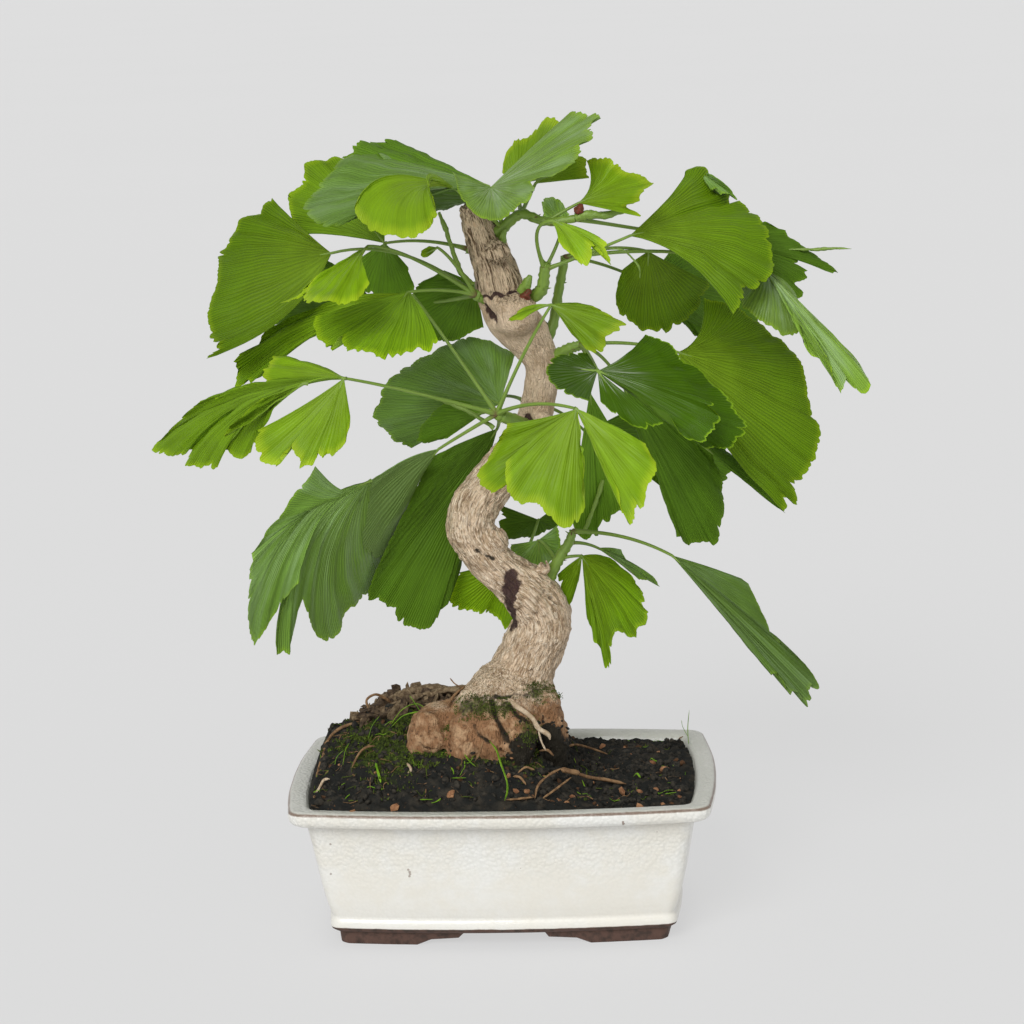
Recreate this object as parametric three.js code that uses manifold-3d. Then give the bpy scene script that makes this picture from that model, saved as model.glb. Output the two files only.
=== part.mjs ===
// A ginkgo bonsai in its glazed pot: pot, drainage screens, root ball, trunk and leafy shoots.
// Millimetres, +Z up, origin on the ground under the middle of the pot, +Y towards the back.
import * as THREE from 'three';
import { mergeVertices } from 'three/addons/utils/BufferGeometryUtils.js';
import Module from 'manifold-3d';

const wasm = await Module();
wasm.setup();

// ---- driving dimensions -------------------------------------------------------------------

const CLEARANCE = 0.3; // between neighbouring pieces

const POT = {
  halfLength: 90, // rim, at the middle of the short sides
  halfDepth: 62.5, // rim, at the middle of the long sides
  height: 62.5,
  bowLong: 5.5, // how far the long sides bow out
  bowShort: 3.4, // how far the short sides bow out
  cornerRadius: 7, // at the rim's outer line
  cornerTightening: 0.15, // how fast the corners sharpen inwards
  smallestRadius: 3,
  footHeight: 6,
  footWidth: 13,
  footSetback: 0.8, // behind the pot's lowest edge, and the same again at the ground
  footLap: 0.5, // runs on into the pot's floor
  floorTop: 12,
  drainRadius: 5.5,
  drainAt: 34, // each side of the middle
  drainSides: 16,
  // [height, inset from the rim's outer line], up the outside, over the rim, down the inside
  outside: [
    [6, 17.2], [7.4, 15.4], [11.6, 15.2], [12.8, 16.2], [21.4, 13.4], [33.5, 11],
    [45, 9.1], [53.8, 7.2], [55.2, 5.4], [56.6, 1.3], [58.4, 0], [61.6, 0],
  ],
  rim: [[62.5, 1], [62.2, 7.6]],
  inside: [[60.6, 8.4], [54, 11.8], [45, 14], [30, 16.6], [12, 20]],
};
const OUTLINE = { sidePoints: 5, endPoints: 3, cornerPoints: 3 };

// The gap between the feet, as [distance from the middle, height] from its foot to its top.
const FOOT_GAP_LONG = [[37, -1], [31, 2.4], [19, 3.2], [17.5, 6]];
const FOOT_GAP_SHORT = [[20, -1], [15, 2.4], [9, 3.2], [8, 6]];

const SCREEN = { side: 16, thickness: 0.8, hole: 5, pitch: 6.6, count: 2 };

const SOIL = {
  level: 60.2, // by the rim
  edgeDrop: 0.6, // its own edge lies a little lower
  moundHeight: 31,
  // The mound's slopes, as [from, to] along X or Y; a step's share of the rise comes first.
  leftStep: [-84, -76],
  leftStepShare: 0.45,
  leftSlope: [-82, -40],
  rightSlope: [2, 40],
  frontStep: [-58, -30],
  frontStepShare: 0.3,
  frontSlope: [-56, 14],
  backSlope: [22, 54],
  rings: [0.97, 0.91, 0.82, 0.68, 0.5, 0.28],
  crumb: 0.7, // height of the crumbs
};

// The trunk's middle line with its radius: [x, y, z, radius].
const TRUNK_LINE = [
  [5, 4, 50, 15], [5, 4, 66, 17.5], [5, 4, 80, 17], [6, 3, 92, 15.2], [9, 2, 105, 13.8],
  [14, 0, 117, 12.8], [18, -2, 129, 12.3], [14, -4, 139, 12], [5, -6, 148, 9.8],
  [-4, -7, 157, 8.8], [-10, -6, 168, 10], [-8, -3, 179, 10], [1, 1, 190, 9.2],
  [11, 5, 202, 8.2], [17, 8, 214, 7.2], [20, 8, 227, 7], [20, 8, 237, 7.6], [15, 7, 247, 9.4],
  [8, 6, 256, 10.2], [5, 5, 265, 9.8], [2, 4, 276, 8.8], [-2, 3, 288, 7.4], [-5, 2, 297, 6],
  [-7, 2, 303, 5],
];
const TRUNK_SIDES = 12;
const TRUNK_RINGS = 33;

// Swollen roots at the foot of the trunk: [x, y, z, radius] from inside outwards.
const ROOTS = [
  [[-1, -2, 98, 13], [-16, -9, 92, 9], [-27, -14, 89, 7.5], [-33, -19, 82, 6.5], [-34, -22, 66, 3.5]],
  [[3, -2, 98, 15], [-5, -11, 94, 13], [-11, -18, 87, 11.5], [-14, -22, 78, 9], [-15, -23, 64, 5]],
  [[5, -4, 96, 13], [0, -17, 92, 10.5], [-3, -24, 86, 8], [-4, -26, 78, 6], [-4, -26, 64, 3.5]],
  [[8, -2, 96, 14], [8, -17, 92, 11], [8, -25, 85, 8.5], [8, -27, 77, 6], [8, -27, 62, 3.5]],
  [[10, 0, 97, 13], [15, -8, 93, 10], [18, -12, 87, 9], [21, -14, 79, 7.5], [23, -14, 60, 4]],
  [[8, 8, 85, 11], [14, 19, 76, 9], [18, 26, 67, 6.5], [20, 30, 54, 4]],
  [[2, 8, 86, 11], [-8, 18, 82, 9], [-18, 26, 77, 7], [-26, 30, 64, 4]],
];
const ROOT_SIDES = 7;
const ROOT_RINGS = 5;
const TRUNK_BUMPS = 0.07; // height of its knots, as a share of its radius
const ROOT_BUMPS = 0.12;
// The knots' waves: [share of the height, waves round the limb, waves along it].
const KNOTS = [[0.5, 3, 9], [0.3, 5, -16], [0.2, 1, 41]];

const BLADE_THICKNESS = 0.7;
const STALK_RADIUS = [1.15, 0.9]; // at the shoot, at the blade
const STALK_TIP = 2.5; // how far a stalk runs on into its blade
const STALK_TIP_TAPER = 0.8;
const STALK_SIDES = 4;
const STALK_RINGS = 3;
const LOBE_FOOT_BACK = 1.5; // how far a lobe's foot runs back along its neighbour's stalk
const LOBE_FOOT_SLIMMING = [0.04, 0.11, 0.18]; // in turn, so that no two feet share a face
const LOBE_FOOT_SIDES = 4;
const LOBE_FOOT_RINGS = 2;
const SHOOT_SIDES = 6;
const SHOOT_RINGS = 5;
// The teeth of a blade's edge: depth as a share of the vein, and waves along the edge.
const TEETH = { depth: 0.03, coarseWaves: 6.3, coarseShare: 0.6, fineWaves: 3.7, fineShare: 0.4 };
const TEETH_PHASE = [0.37, 0.11]; // makes every leaf's teeth differ, by its base's x and z
const RUFFLE = { height: 1.1, waves: 2.2, fullLength: 60 }; // how the edge waves up and down
const NORMAL_STEP = 0.02; // share of the edge and of the vein over which a slope is measured
const NORMAL_FROM = 0.2; // nearer the base than this, the slope is taken as it is here

// Blades by size: segments along each ring from base to edge, and where the rings lie.
const FAN_LARGE = { longerThan: 52, segments: [2, 4, 8, 16], at: [0.02, 0.3, 0.62, 1] };
const FAN_MIDDLE = { longerThan: 26, segments: [3, 6, 12], at: [0.03, 0.45, 1] };
const FAN_SMALL = { longerThan: 0, segments: [2, 4, 8], at: [0.05, 0.45, 1] };
const FANS = [FAN_LARGE, FAN_MIDDLE, FAN_SMALL];

// Every leafy shoot: its own middle line and end radii, then its leaves. A leaf's stalk starts
// on the shoot, turns at its bend and meets the blade at the base; a lobe without a stalk of its
// own shares its neighbour's. The edge is the outer edge of the fan. The arch lifts the middle of
// the veins, the flare of its two sides says how much the veins spread at once, and each cut is
// [place along the edge, depth, half width] as shares of the edge and of the vein.
const SHOOTS = {
  crown: {
    path: [[-2, 4, 286], [6, -1, 293], [14, -5, 299], [24, -8, 296], [36, -9, 297]],
    radii: [2.6, 1.6],
    leaves: [
      {
        name: 'crown_left',
        stalk: [6, -1, 293],
        bend: [5, -3, 303],
        base: [1, -3, 311],
        edge: [[-32, 34, 326], [-52, 30, 328], [-62, 4, 320],
          [-72, -24, 305], [-59, -36, 299], [-43, -34, 301]],
        arch: [0, 0, 1],
        flare: [0.8, 0.8],
        cuts: [],
      },
      {
        name: 'crown_left_folded',
        stalk: [6, -1, 293],
        bend: [0, -8, 301],
        base: [-13, -10, 311],
        edge: [[-50, -36, 304], [-43, -46, 298], [-31, -52, 295], [-21, -50, 298], [-17, -40, 305]],
        arch: [-12, 0, 16],
        flare: [1, 1],
        cuts: [],
      },
      {
        name: 'crown_top',
        stalk: [6, -1, 293],
        bend: [5, -4, 302],
        base: [2, -5, 310],
        edge: [[-12, -16, 318], [-8, -28, 305], [6, -34, 298], [20, -30, 309],
          [31, -20, 317], [40, -4, 328], [46, 14, 338], [35, 24, 339]],
        arch: [0, 0, 0],
        flare: [1, 1],
        cuts: [[0.84, 0.1, 0.03]],
      },
      {
        name: 'crown_top_back',
        stalk: [14, -5, 299],
        bend: [13, 6, 302],
        base: [12, 14, 308],
        edge: [[5, 22, 317], [8, 25, 324], [14, 28, 328], [25, 30, 334], [35, 28, 330], [38, 24, 322]],
        arch: [0, 0, 0],
        flare: [1, 1],
        cuts: [],
      },
      {
        name: 'crown_right',
        stalk: [24, -8, 296],
        bend: [31, -8, 300],
        base: [38, -6, 303],
        edge: [[41, 8, 319], [48, 4, 321], [59, -10, 315],
          [68, -22, 311], [61, -24, 305], [63, -26, 299]],
        arch: [0, 0, -2],
        flare: [1.1, 1.1],
        cuts: [[0.88, 0.22, 0.06]],
      },
      {
        name: 'crown_right_back',
        stalk: [14, -5, 299],
        bend: [16, 10, 303],
        base: [20, 16, 307],
        edge: [[21, 24, 323], [31, 24, 322], [40, 22, 319], [42, 18, 311]],
        arch: [0, 0, 0],
        flare: [1, 1],
        cuts: [],
      },
      {
        name: 'crown_far_right',
        stalk: [36, -9, 297],
        bend: [62, 12, 290],
        base: [96, 26, 282],
        edge: [[114, 34, 289], [131, 34, 280], [145, 28, 268],
          [134, 24, 269], [130, 18, 258], [118, 18, 265]],
        arch: [0, 0, 2],
        flare: [0.9, 0.9],
        cuts: [[0.5, 0.25, 0.07]],
      },
      {
        name: 'crown_north',
        stalk: [6, -1, 293],
        bend: [5, 12, 301],
        base: [-1, 22, 303],
        edge: [[-22, 54, 312], [-41, 66, 310], [-48, 76, 301], [-41, 79, 292], [-23, 68, 294]],
        arch: [0, 0, 3],
        flare: [1, 1],
        cuts: [[0.5, 0.2, 0.06]],
      },
    ],
  },
  upper_left: {
    path: [[1, 5, 263], [-6, 0, 266]],
    radii: [3.0, 2.2],
    leaves: [
      {
        name: 'west_fan',
        stalk: [-6, 0, 266],
        bend: [-36, 2, 291],
        base: [-65, 4, 284],
        edge: [[-93, 42, 303], [-108, 36, 293], [-116, 24, 278],
          [-119, 8, 260], [-115, -2, 250], [-117, -8, 243]],
        arch: [0, 0, 0],
        flare: [1.5, 1.5],
        cuts: [[0.9, 0.08, 0.06]],
      },
      {
        name: 'north_west_low',
        stalk: [-6, 0, 266],
        bend: [-28, 38, 256],
        base: [-53, 44, 259],
        edge: [[-70, 58, 271], [-92, 72, 283], [-111, 78, 267],
          [-110, 76, 248], [-87, 66, 244], [-66, 54, 245]],
        arch: [0, 0, 2],
        flare: [1.1, 1.1],
        cuts: [[0.4, 0.25, 0.06]],
      },
      {
        name: 'west_small',
        stalk: [-6, 0, 266],
        bend: [-35, -8, 288],
        base: [-48, -14, 289],
        edge: [[-81, -40, 269], [-71, -48, 270], [-60, -52, 269], [-50, -50, 271], [-45, -40, 276]],
        arch: [0, 0, 4],
        flare: [0.7, 0.7],
        cuts: [[0.16, 0.28, 0.08]],
      },
      {
        name: 'west_low',
        stalk: [-6, 0, 266],
        bend: [-20, -4, 270],
        base: [-33, -7, 269],
        edge: [[-70, -20, 261], [-67, -30, 250], [-48, -44, 248], [-32, -48, 248], [-19, -40, 253]],
        arch: [0, 0, 1],
        flare: [1.15, 1.15],
        cuts: [[0.33, 0.08, 0.05]],
      },
      {
        name: 'west_leaflet',
        stalk: [-6, 0, 266],
        bend: [-14, -10, 283],
        base: [-20, -12, 287],
        edge: [[-24, -14, 288], [-27, -15, 285], [-25, -15, 283], [-23, -13, 285]],
        arch: [0, 0, 0],
        flare: [1, 1],
        cuts: [],
      },
      {
        name: 'west_behind',
        stalk: [-6, 0, 266],
        bend: [-6, 12, 269],
        base: [-7, 16, 269],
        edge: [[-20, 24, 274], [-33, 28, 267], [-35, 30, 253], [-23, 28, 242], [-4, 22, 249]],
        arch: [0, 0, 0],
        flare: [1, 1],
        cuts: [],
      },
    ],
  },
  upper_left_back: {
    path: [[-2, 6, 280], [-9, 8, 284]],
    radii: [2.0, 1.6],
    leaves: [
      {
        name: 'north_west',
        stalk: [-9, 8, 284],
        bend: [-27, 14, 289],
        base: [-45, 28, 285],
        edge: [[-85, 48, 288], [-90, 56, 300], [-85, 60, 310],
          [-78, 62, 316], [-62, 62, 318], [-48, 58, 318]],
        arch: [0, 0, 2],
        flare: [1.1, 1.1],
        cuts: [],
      },
      {
        name: 'north_west_lobe',
        bend: [-27, 14, 289],
        base: [-45, 28, 285],
        edge: [[-60, 34, 276], [-56, 34, 264], [-43, 30, 261], [-33, 26, 264], [-35, 26, 275]],
        arch: [0, 0, 1],
        flare: [1, 1],
        cuts: [],
      },
    ],
  },
  upper_right: {
    path: [[13, 4, 262], [21, -1, 267], [23, -3, 276], [24, -3, 279]],
    radii: [3.0, 1.8],
    leaves: [
      {
        name: 'east_fan',
        stalk: [23, -3, 276],
        bend: [40, -6, 282],
        base: [58, -8, 289],
        edge: [[89, 34, 311], [103, 22, 300], [114, 8, 288],
          [117, -8, 276], [108, -22, 267], [98, -30, 259]],
        arch: [0, 0, 3],
        flare: [0.65, 0.65],
        cuts: [[0.86, 0.12, 0.04]],
      },
      {
        name: 'east_young',
        stalk: [23, -3, 276],
        bend: [16, -16, 297],
        base: [25, -20, 298],
        edge: [[29, -28, 289], [35, -32, 284], [40, -34, 279],
          [44, -32, 287], [50, -32, 281], [48, -28, 290]],
        arch: [0, 0, 2],
        flare: [0.9, 0.9],
        cuts: [[0.62, 0.25, 0.08]],
      },
      {
        name: 'east_grey',
        stalk: [23, -3, 276],
        bend: [29, 0, 286],
        base: [30, 4, 293],
        edge: [[34, 6, 298], [30, 8, 304], [23, 8, 305], [22, 4, 297]],
        arch: [0, 0, 0],
        flare: [1, 1],
        cuts: [],
      },
    ],
  },
  right_back: {
    path: [[20, 9, 240], [25, 16, 250], [28, 16, 265], [31, 13, 279]],
    radii: [2.4, 1.8],
    leaves: [
      {
        name: 'east_under',
        stalk: [31, 13, 279],
        bend: [51, 12, 285],
        base: [65, 14, 281],
        edge: [[53, 16, 270], [51, 18, 259], [61, 22, 248], [75, 28, 246], [87, 33, 255], [92, 35, 265]],
        arch: [0, 0, 0],
        flare: [1.1, 1.1],
        cuts: [],
      },
      {
        name: 'north_east',
        stalk: [31, 13, 279],
        bend: [45, 30, 276],
        base: [66, 38, 264],
        edge: [[88, 58, 291], [108, 68, 278], [117, 76, 251],
          [106, 79, 230], [89, 70, 237], [77, 60, 245]],
        arch: [0, 0, 2],
        flare: [1.1, 1.1],
        cuts: [[0.6, 0.3, 0.06]],
      },
      {
        name: 'east_curled',
        stalk: [31, 13, 279],
        bend: [83, 12, 285],
        base: [113, 2, 272],
        edge: [[100, -1, 266], [103, -6, 259], [113, -14, 251],
          [122, -18, 248], [127, -18, 252], [127, -12, 260]],
        arch: [4, -3, 4],
        flare: [1.1, 1.1],
        cuts: [],
      },
      {
        name: 'east_ribbon',
        bend: [83, 12, 285],
        base: [113, 2, 272],
        edge: [[148, -50, 241], [149, -64, 233], [140, -58, 233], [135, -44, 244], [126, -32, 248]],
        arch: [0, 0, 6],
        flare: [1, 1],
        cuts: [[0.35, 0.14, 0.08]],
      },
    ],
  },
  right: {
    path: [[22, 8, 236], [31, 3, 242], [37, 1, 244]],
    radii: [2.6, 2.0],
    leaves: [
      {
        name: 'glossy_left',
        stalk: [37, 1, 244],
        bend: [40, -16, 244],
        base: [44, -34, 238],
        edge: [[39, -28, 245], [29, -28, 245], [23, -30, 240], [27, -36, 231], [40, -40, 227]],
        arch: [0, 0, 0],
        flare: [1, 1],
        cuts: [],
      },
      {
        name: 'glossy_low',
        bend: [40, -16, 244],
        base: [44, -34, 238],
        edge: [[45, -44, 228], [53, -50, 221], [64, -53, 218], [70, -54, 220]],
        arch: [0, 0, 0],
        flare: [1, 1],
        cuts: [],
      },
      {
        name: 'glossy_mid',
        bend: [40, -16, 244],
        base: [44, -34, 238],
        edge: [[73, -54, 221], [83, -59, 213], [91, -58, 218], [91, -55, 225], [78, -48, 228]],
        arch: [0, 0, 3],
        flare: [1, 1],
        cuts: [],
      },
      {
        name: 'glossy_top',
        bend: [40, -16, 244],
        base: [44, -34, 238],
        edge: [[64, -18, 251], [78, -22, 242], [94, -30, 230],
          [103, -40, 214], [98, -46, 209], [88, -50, 208]],
        arch: [0, 0, 1],
        flare: [0.65, 0.9],
        cuts: [],
      },
      {
        name: 'south_east_fan',
        stalk: [37, 1, 244],
        bend: [57, 4, 246],
        base: [77, 8, 239],
        edge: [[90, 34, 259], [113, 34, 246], [130, 26, 227],
          [137, 10, 203], [125, -8, 183], [120, -14, 175]],
        arch: [0, 0, 1],
        flare: [1.35, 1.35],
        cuts: [[0.93, 0.07, 0.03]],
      },
      {
        name: 'south_east_low',
        stalk: [37, 1, 244],
        bend: [46, 10, 240],
        base: [53, 16, 225],
        edge: [[63, 20, 188], [69, 18, 182], [75, 18, 178], [77, 16, 159],
          [85, 16, 154], [92, 16, 155], [97, 22, 177], [92, 26, 193]],
        arch: [0, 0, 2],
        flare: [1, 1],
        cuts: [],
      },
      {
        name: 'east_hidden',
        stalk: [37, 1, 244],
        bend: [41, 8, 236],
        base: [40, 12, 223],
        edge: [[30, 14, 168], [37, 14, 158], [45, 15, 161], [55, 16, 172], [61, 17, 182]],
        arch: [0, 0, 2],
        flare: [1, 1],
        cuts: [],
      },
    ],
  },
  centre: {
    path: [[15, 5, 209], [8, -8, 215], [2, -11, 218]],
    radii: [3.0, 2.4],
    leaves: [
      {
        name: 'long_stalk',
        stalk: [2, -11, 218],
        bend: [-16, -7, 246],
        base: [-32, 0, 266],
        edge: [[-97, 16, 248], [-106, 13, 239], [-109, 10, 227], [-95, 8, 233]],
        arch: [0, 0, 12],
        flare: [1, 1],
        cuts: [],
      },
      {
        name: 'far_west_low',
        stalk: [2, -11, 218],
        bend: [-36, -24, 232],
        base: [-58, -32, 238],
        edge: [[-124, 2, 223], [-148, 26, 201], [-130, 6, 199],
          [-121, -2, 195], [-105, -16, 202], [-96, -26, 212]],
        arch: [0, 0, 5],
        flare: [0.9, 0.3],
        cuts: [[0.42, 0.12, 0.05], [0.78, 0.12, 0.05]],
      },
      {
        name: 'far_west_hang',
        bend: [-36, -24, 232],
        base: [-58, -32, 238],
        edge: [[-93, -44, 219], [-93, -46, 207], [-75, -49, 204], [-58, -49, 211], [-55, -42, 222]],
        arch: [0, 0, 0],
        flare: [1, 1],
        cuts: [[0.55, 0.07, 0.04]],
      },
      {
        name: 'far_west_back',
        bend: [-36, -24, 232],
        base: [-58, -32, 238],
        edge: [[-93, -12, 233], [-94, -6, 239], [-88, -2, 243], [-73, -8, 241]],
        arch: [0, 0, 2],
        flare: [1, 1],
        cuts: [],
      },
      {
        name: 'centre_dark',
        stalk: [2, -11, 218],
        bend: [3, 2, 218],
        base: [2, 10, 219],
        edge: [[9, 22, 239], [-11, 34, 243], [-33, 44, 234],
          [-53, 48, 216], [-50, 42, 203], [-37, 34, 197]],
        arch: [0, 0, 2],
        flare: [1.2, 1.2],
        cuts: [],
      },
      {
        name: 'centre_curl',
        stalk: [2, -11, 218],
        bend: [-1, -7, 219],
        base: [-4, -4, 218],
        edge: [[-11, 4, 221], [-22, 8, 220], [-32, 10, 209], [-31, 8, 203], [-20, 4, 206]],
        arch: [0, 0, 0],
        flare: [1, 1],
        cuts: [],
      },
      {
        name: 'low_west',
        stalk: [2, -11, 218],
        bend: [-12, -9, 210],
        base: [-23, -4, 203],
        edge: [[-71, -34, 202], [-92, -44, 175], [-100, -46, 143], [-98, -40, 128],
          [-89, -28, 121], [-73, -8, 122], [-57, 14, 138], [-40, 20, 169]],
        arch: [0, 0, 0],
        flare: [-1, 0.4],
        cuts: [[0.49, 0.33, 0.05], [0.63, 0.24, 0.05]],
      },
      {
        name: 'low_hanging',
        stalk: [2, -11, 218],
        bend: [3, 2, 213],
        base: [1, 8, 208],
        edge: [[-27, 6, 197], [-46, 4, 163], [-56, 6, 138], [-41, 10, 124],
          [-27, 12, 127], [-17, 18, 146], [-10, 20, 174]],
        arch: [0, 0, 2],
        flare: [0.9, 0.9],
        cuts: [],
      },
      {
        name: 'front_main',
        stalk: [2, -11, 218],
        bend: [18, -30, 228],
        base: [36, -44, 225],
        edge: [[6, -53, 206], [9, -58, 193], [20, -60, 189],
          [31, -62, 180], [37, -60, 185], [38, -56, 203]],
        arch: [0, 0, 3],
        flare: [1, 1],
        cuts: [],
      },
      {
        name: 'front_left',
        bend: [18, -30, 228],
        base: [36, -44, 225],
        edge: [[7, -40, 219], [0, -41, 209], [-6, -43, 197], [0, -46, 192], [9, -48, 195]],
        arch: [0, 0, -2],
        flare: [1.1, 1.1],
        cuts: [],
      },
      {
        name: 'front_right',
        bend: [18, -30, 228],
        base: [36, -44, 225],
        edge: [[63, -50, 211], [67, -54, 202], [62, -57, 191], [57, -58, 180], [51, -56, 191]],
        arch: [0, 0, 4],
        flare: [1, 1],
        cuts: [[0.6, 0.06, 0.05]],
      },
      {
        name: 'young_right',
        stalk: [2, -11, 218],
        bend: [15, -22, 248],
        base: [26, -26, 264],
        edge: [[38, -30, 265], [49, -34, 262], [56, -38, 258],
          [48, -38, 253], [46, -38, 246], [34, -33, 253]],
        arch: [0, 0, 1],
        flare: [1, 1],
        cuts: [[0.58, 0.12, 0.06]],
      },
      {
        name: 'young_left',
        bend: [15, -22, 248],
        base: [26, -26, 264],
        edge: [[14, -30, 264], [7, -32, 259], [13, -32, 259]],
        arch: [0, 0, 2],
        flare: [1, 1],
        cuts: [],
      },
    ],
  },
  lower_right: {
    path: [[20, -3, 144], [25, -6, 154], [30, -6, 162], [32, -6, 167]],
    radii: [2.8, 1.6],
    leaves: [
      {
        name: 'drooping',
        stalk: [32, -6, 167],
        bend: [54, -16, 169],
        base: [73, -28, 161],
        edge: [[100, -48, 155], [111, -62, 135], [124, -72, 125],
          [129, -78, 116], [123, -78, 111], [112, -72, 121]],
        arch: [0, 0, 1],
        flare: [0.9, 0.8],
        cuts: [[0.62, 0.08, 0.05]],
      },
      {
        name: 'low_fan',
        stalk: [25, -6, 154],
        bend: [27, -7, 157],
        base: [36, -8, 157],
        edge: [[38, -18, 123], [45, -26, 112], [54, -34, 129],
          [62, -38, 136], [61, -32, 147], [50, -16, 156]],
        arch: [0, 0, 3],
        flare: [1, 1],
        cuts: [[0.33, 0.12, 0.08]],
      },
      {
        name: 'low_fan_left',
        bend: [27, -7, 157],
        base: [36, -8, 157],
        edge: [[24, -3, 147], [26, -2, 140], [29, -3, 134], [34, -6, 145]],
        arch: [0, 0, 1],
        flare: [1, 1],
        cuts: [],
      },
      {
        name: 'low_edge',
        stalk: [30, -6, 162],
        bend: [36, -2, 162],
        base: [42, 2, 158],
        edge: [[54, 8, 156], [66, 10, 144], [68, 8, 139], [57, 0, 148]],
        arch: [0, 0, 1],
        flare: [1, 1],
        cuts: [],
      },
      {
        name: 'low_teal',
        stalk: [25, -6, 154],
        bend: [21, 2, 160],
        base: [17, 8, 161],
        edge: [[26, 10, 167], [26, 10, 155], [17, 12, 147], [5, 14, 148], [4, 16, 157]],
        arch: [0, 0, 0],
        flare: [1.1, 1.1],
        cuts: [],
      },
    ],
  },
  lower_back: {
    path: [[13, 4, 133], [10, 14, 140], [9, 17, 148]],
    radii: [2.4, 1.8],
    leaves: [
      {
        name: 'low_back_left',
        stalk: [9, 17, 148],
        bend: [7, 20, 149],
        base: [5, 22, 148],
        edge: [[-20, 24, 144], [-23, 26, 128], [-12, 28, 124],
          [-5, 28, 123], [2, 26, 117], [8, 24, 129]],
        arch: [0, 0, 0],
        flare: [1.1, 1.1],
        cuts: [[0.7, 0.08, 0.05]],
      },
      {
        name: 'low_north',
        stalk: [9, 17, 148],
        bend: [-6, 32, 152],
        base: [-22, 42, 152],
        edge: [[-33, 58, 178], [-52, 68, 159], [-59, 76, 131], [-49, 79, 114], [-33, 66, 121]],
        arch: [0, 0, 2],
        flare: [1, 1],
        cuts: [[0.55, 0.2, 0.06]],
      },
      {
        name: 'low_behind_trunk',
        stalk: [9, 17, 148],
        bend: [13, 24, 155],
        base: [16, 28, 165],
        edge: [[-1, 32, 171], [0, 34, 156], [12, 34, 156], [26, 32, 162], [29, 30, 173]],
        arch: [0, 0, 0],
        flare: [1, 1],
        cuts: [],
      },
    ],
  },
  back: {
    path: [[17, 8, 212], [15, 20, 214], [12, 26, 217]],
    radii: [2.6, 2.0],
    leaves: [
      {
        name: 'north_low_east',
        stalk: [12, 26, 217],
        bend: [27, 36, 213],
        base: [38, 40, 201],
        edge: [[78, 56, 215], [102, 66, 202], [105, 74, 183], [92, 79, 162], [82, 76, 158]],
        arch: [0, 0, 2],
        flare: [1, 1],
        cuts: [[0.5, 0.2, 0.06]],
      },
      {
        name: 'north_centre',
        stalk: [12, 26, 217],
        bend: [6, 36, 219],
        base: [-2, 42, 216],
        edge: [[-12, 60, 234], [-34, 70, 229], [-52, 79, 211], [-45, 76, 196], [-27, 66, 198]],
        arch: [0, 0, 2],
        flare: [1, 1],
        cuts: [[0.45, 0.2, 0.06]],
      },
    ],
  },};

// ---- solids -------------------------------------------------------------------------------

// A manifold solid from points and triangles that already form one closed body.
function closedSolid(points, triangles) {
  const vertProperties = new Float32Array(points.length * 3);
  points.forEach((point, index) => point.toArray(vertProperties, index * 3));
  const triVerts = Uint32Array.from(triangles.flat());
  return new wasm.Manifold(new wasm.Mesh({ numProp: 3, vertProperties, triVerts }));
}

// A manifold solid from one of three's closed geometries.
function solidFrom(geometry) {
  const bare = geometry.clone();
  bare.deleteAttribute('normal');
  bare.deleteAttribute('uv');
  const merged = mergeVertices(bare, 1e-4);
  const vertProperties = Float32Array.from(merged.attributes.position.array);
  const triVerts = Uint32Array.from(merged.index.array);
  return new wasm.Manifold(new wasm.Mesh({ numProp: 3, vertProperties, triVerts }));
}

function geometryFrom(solid) {
  const mesh = solid.getMesh();
  const geometry = new THREE.BufferGeometry();
  geometry.setAttribute('position', new THREE.BufferAttribute(mesh.vertProperties, mesh.numProp));
  geometry.setIndex(new THREE.BufferAttribute(mesh.triVerts, 1));
  geometry.computeVertexNormals();
  return geometry;
}

function joined(solids) {
  return solids.reduce((whole, piece) => whole.add(piece));
}

// The largest single body of a solid: cutting can leave loose scraps, which are dropped.
function largestBody(solid) {
  const bodies = solid.decompose();
  return bodies.reduce((best, body) => (body.volume() > best.volume() ? body : best));
}

function namedMesh(name, solid, material) {
  const mesh = new THREE.Mesh(geometryFrom(solid), material);
  mesh.name = name;
  return mesh;
}

function finish(color, roughness) {
  return new THREE.MeshStandardMaterial({ color, roughness, metalness: 0 });
}

// A closed body through rings with the same number of points, with a fan over each end.
function loft(rings) {
  const sides = rings[0].length;
  const points = rings.flat();
  const triangles = [];
  for (let ring = 0; ring < rings.length - 1; ring += 1) {
    for (let side = 0; side < sides; side += 1) {
      const next = (side + 1) % sides;
      const low = ring * sides;
      const high = low + sides;
      triangles.push([low + side, low + next, high + next]);
      triangles.push([low + side, high + next, high + side]);
    }
  }
  const last = (rings.length - 1) * sides;
  const bottom = points.push(middleOf(rings[0])) - 1;
  const top = points.push(middleOf(rings[rings.length - 1])) - 1;
  for (let side = 0; side < sides; side += 1) {
    const next = (side + 1) % sides;
    triangles.push([bottom, next, side]);
    triangles.push([top, last + side, last + next]);
  }
  return closedSolid(points, triangles);
}

function middleOf(points) {
  const sum = points.reduce((total, point) => total.add(point), new THREE.Vector3());
  return sum.divideScalar(points.length);
}

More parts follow.
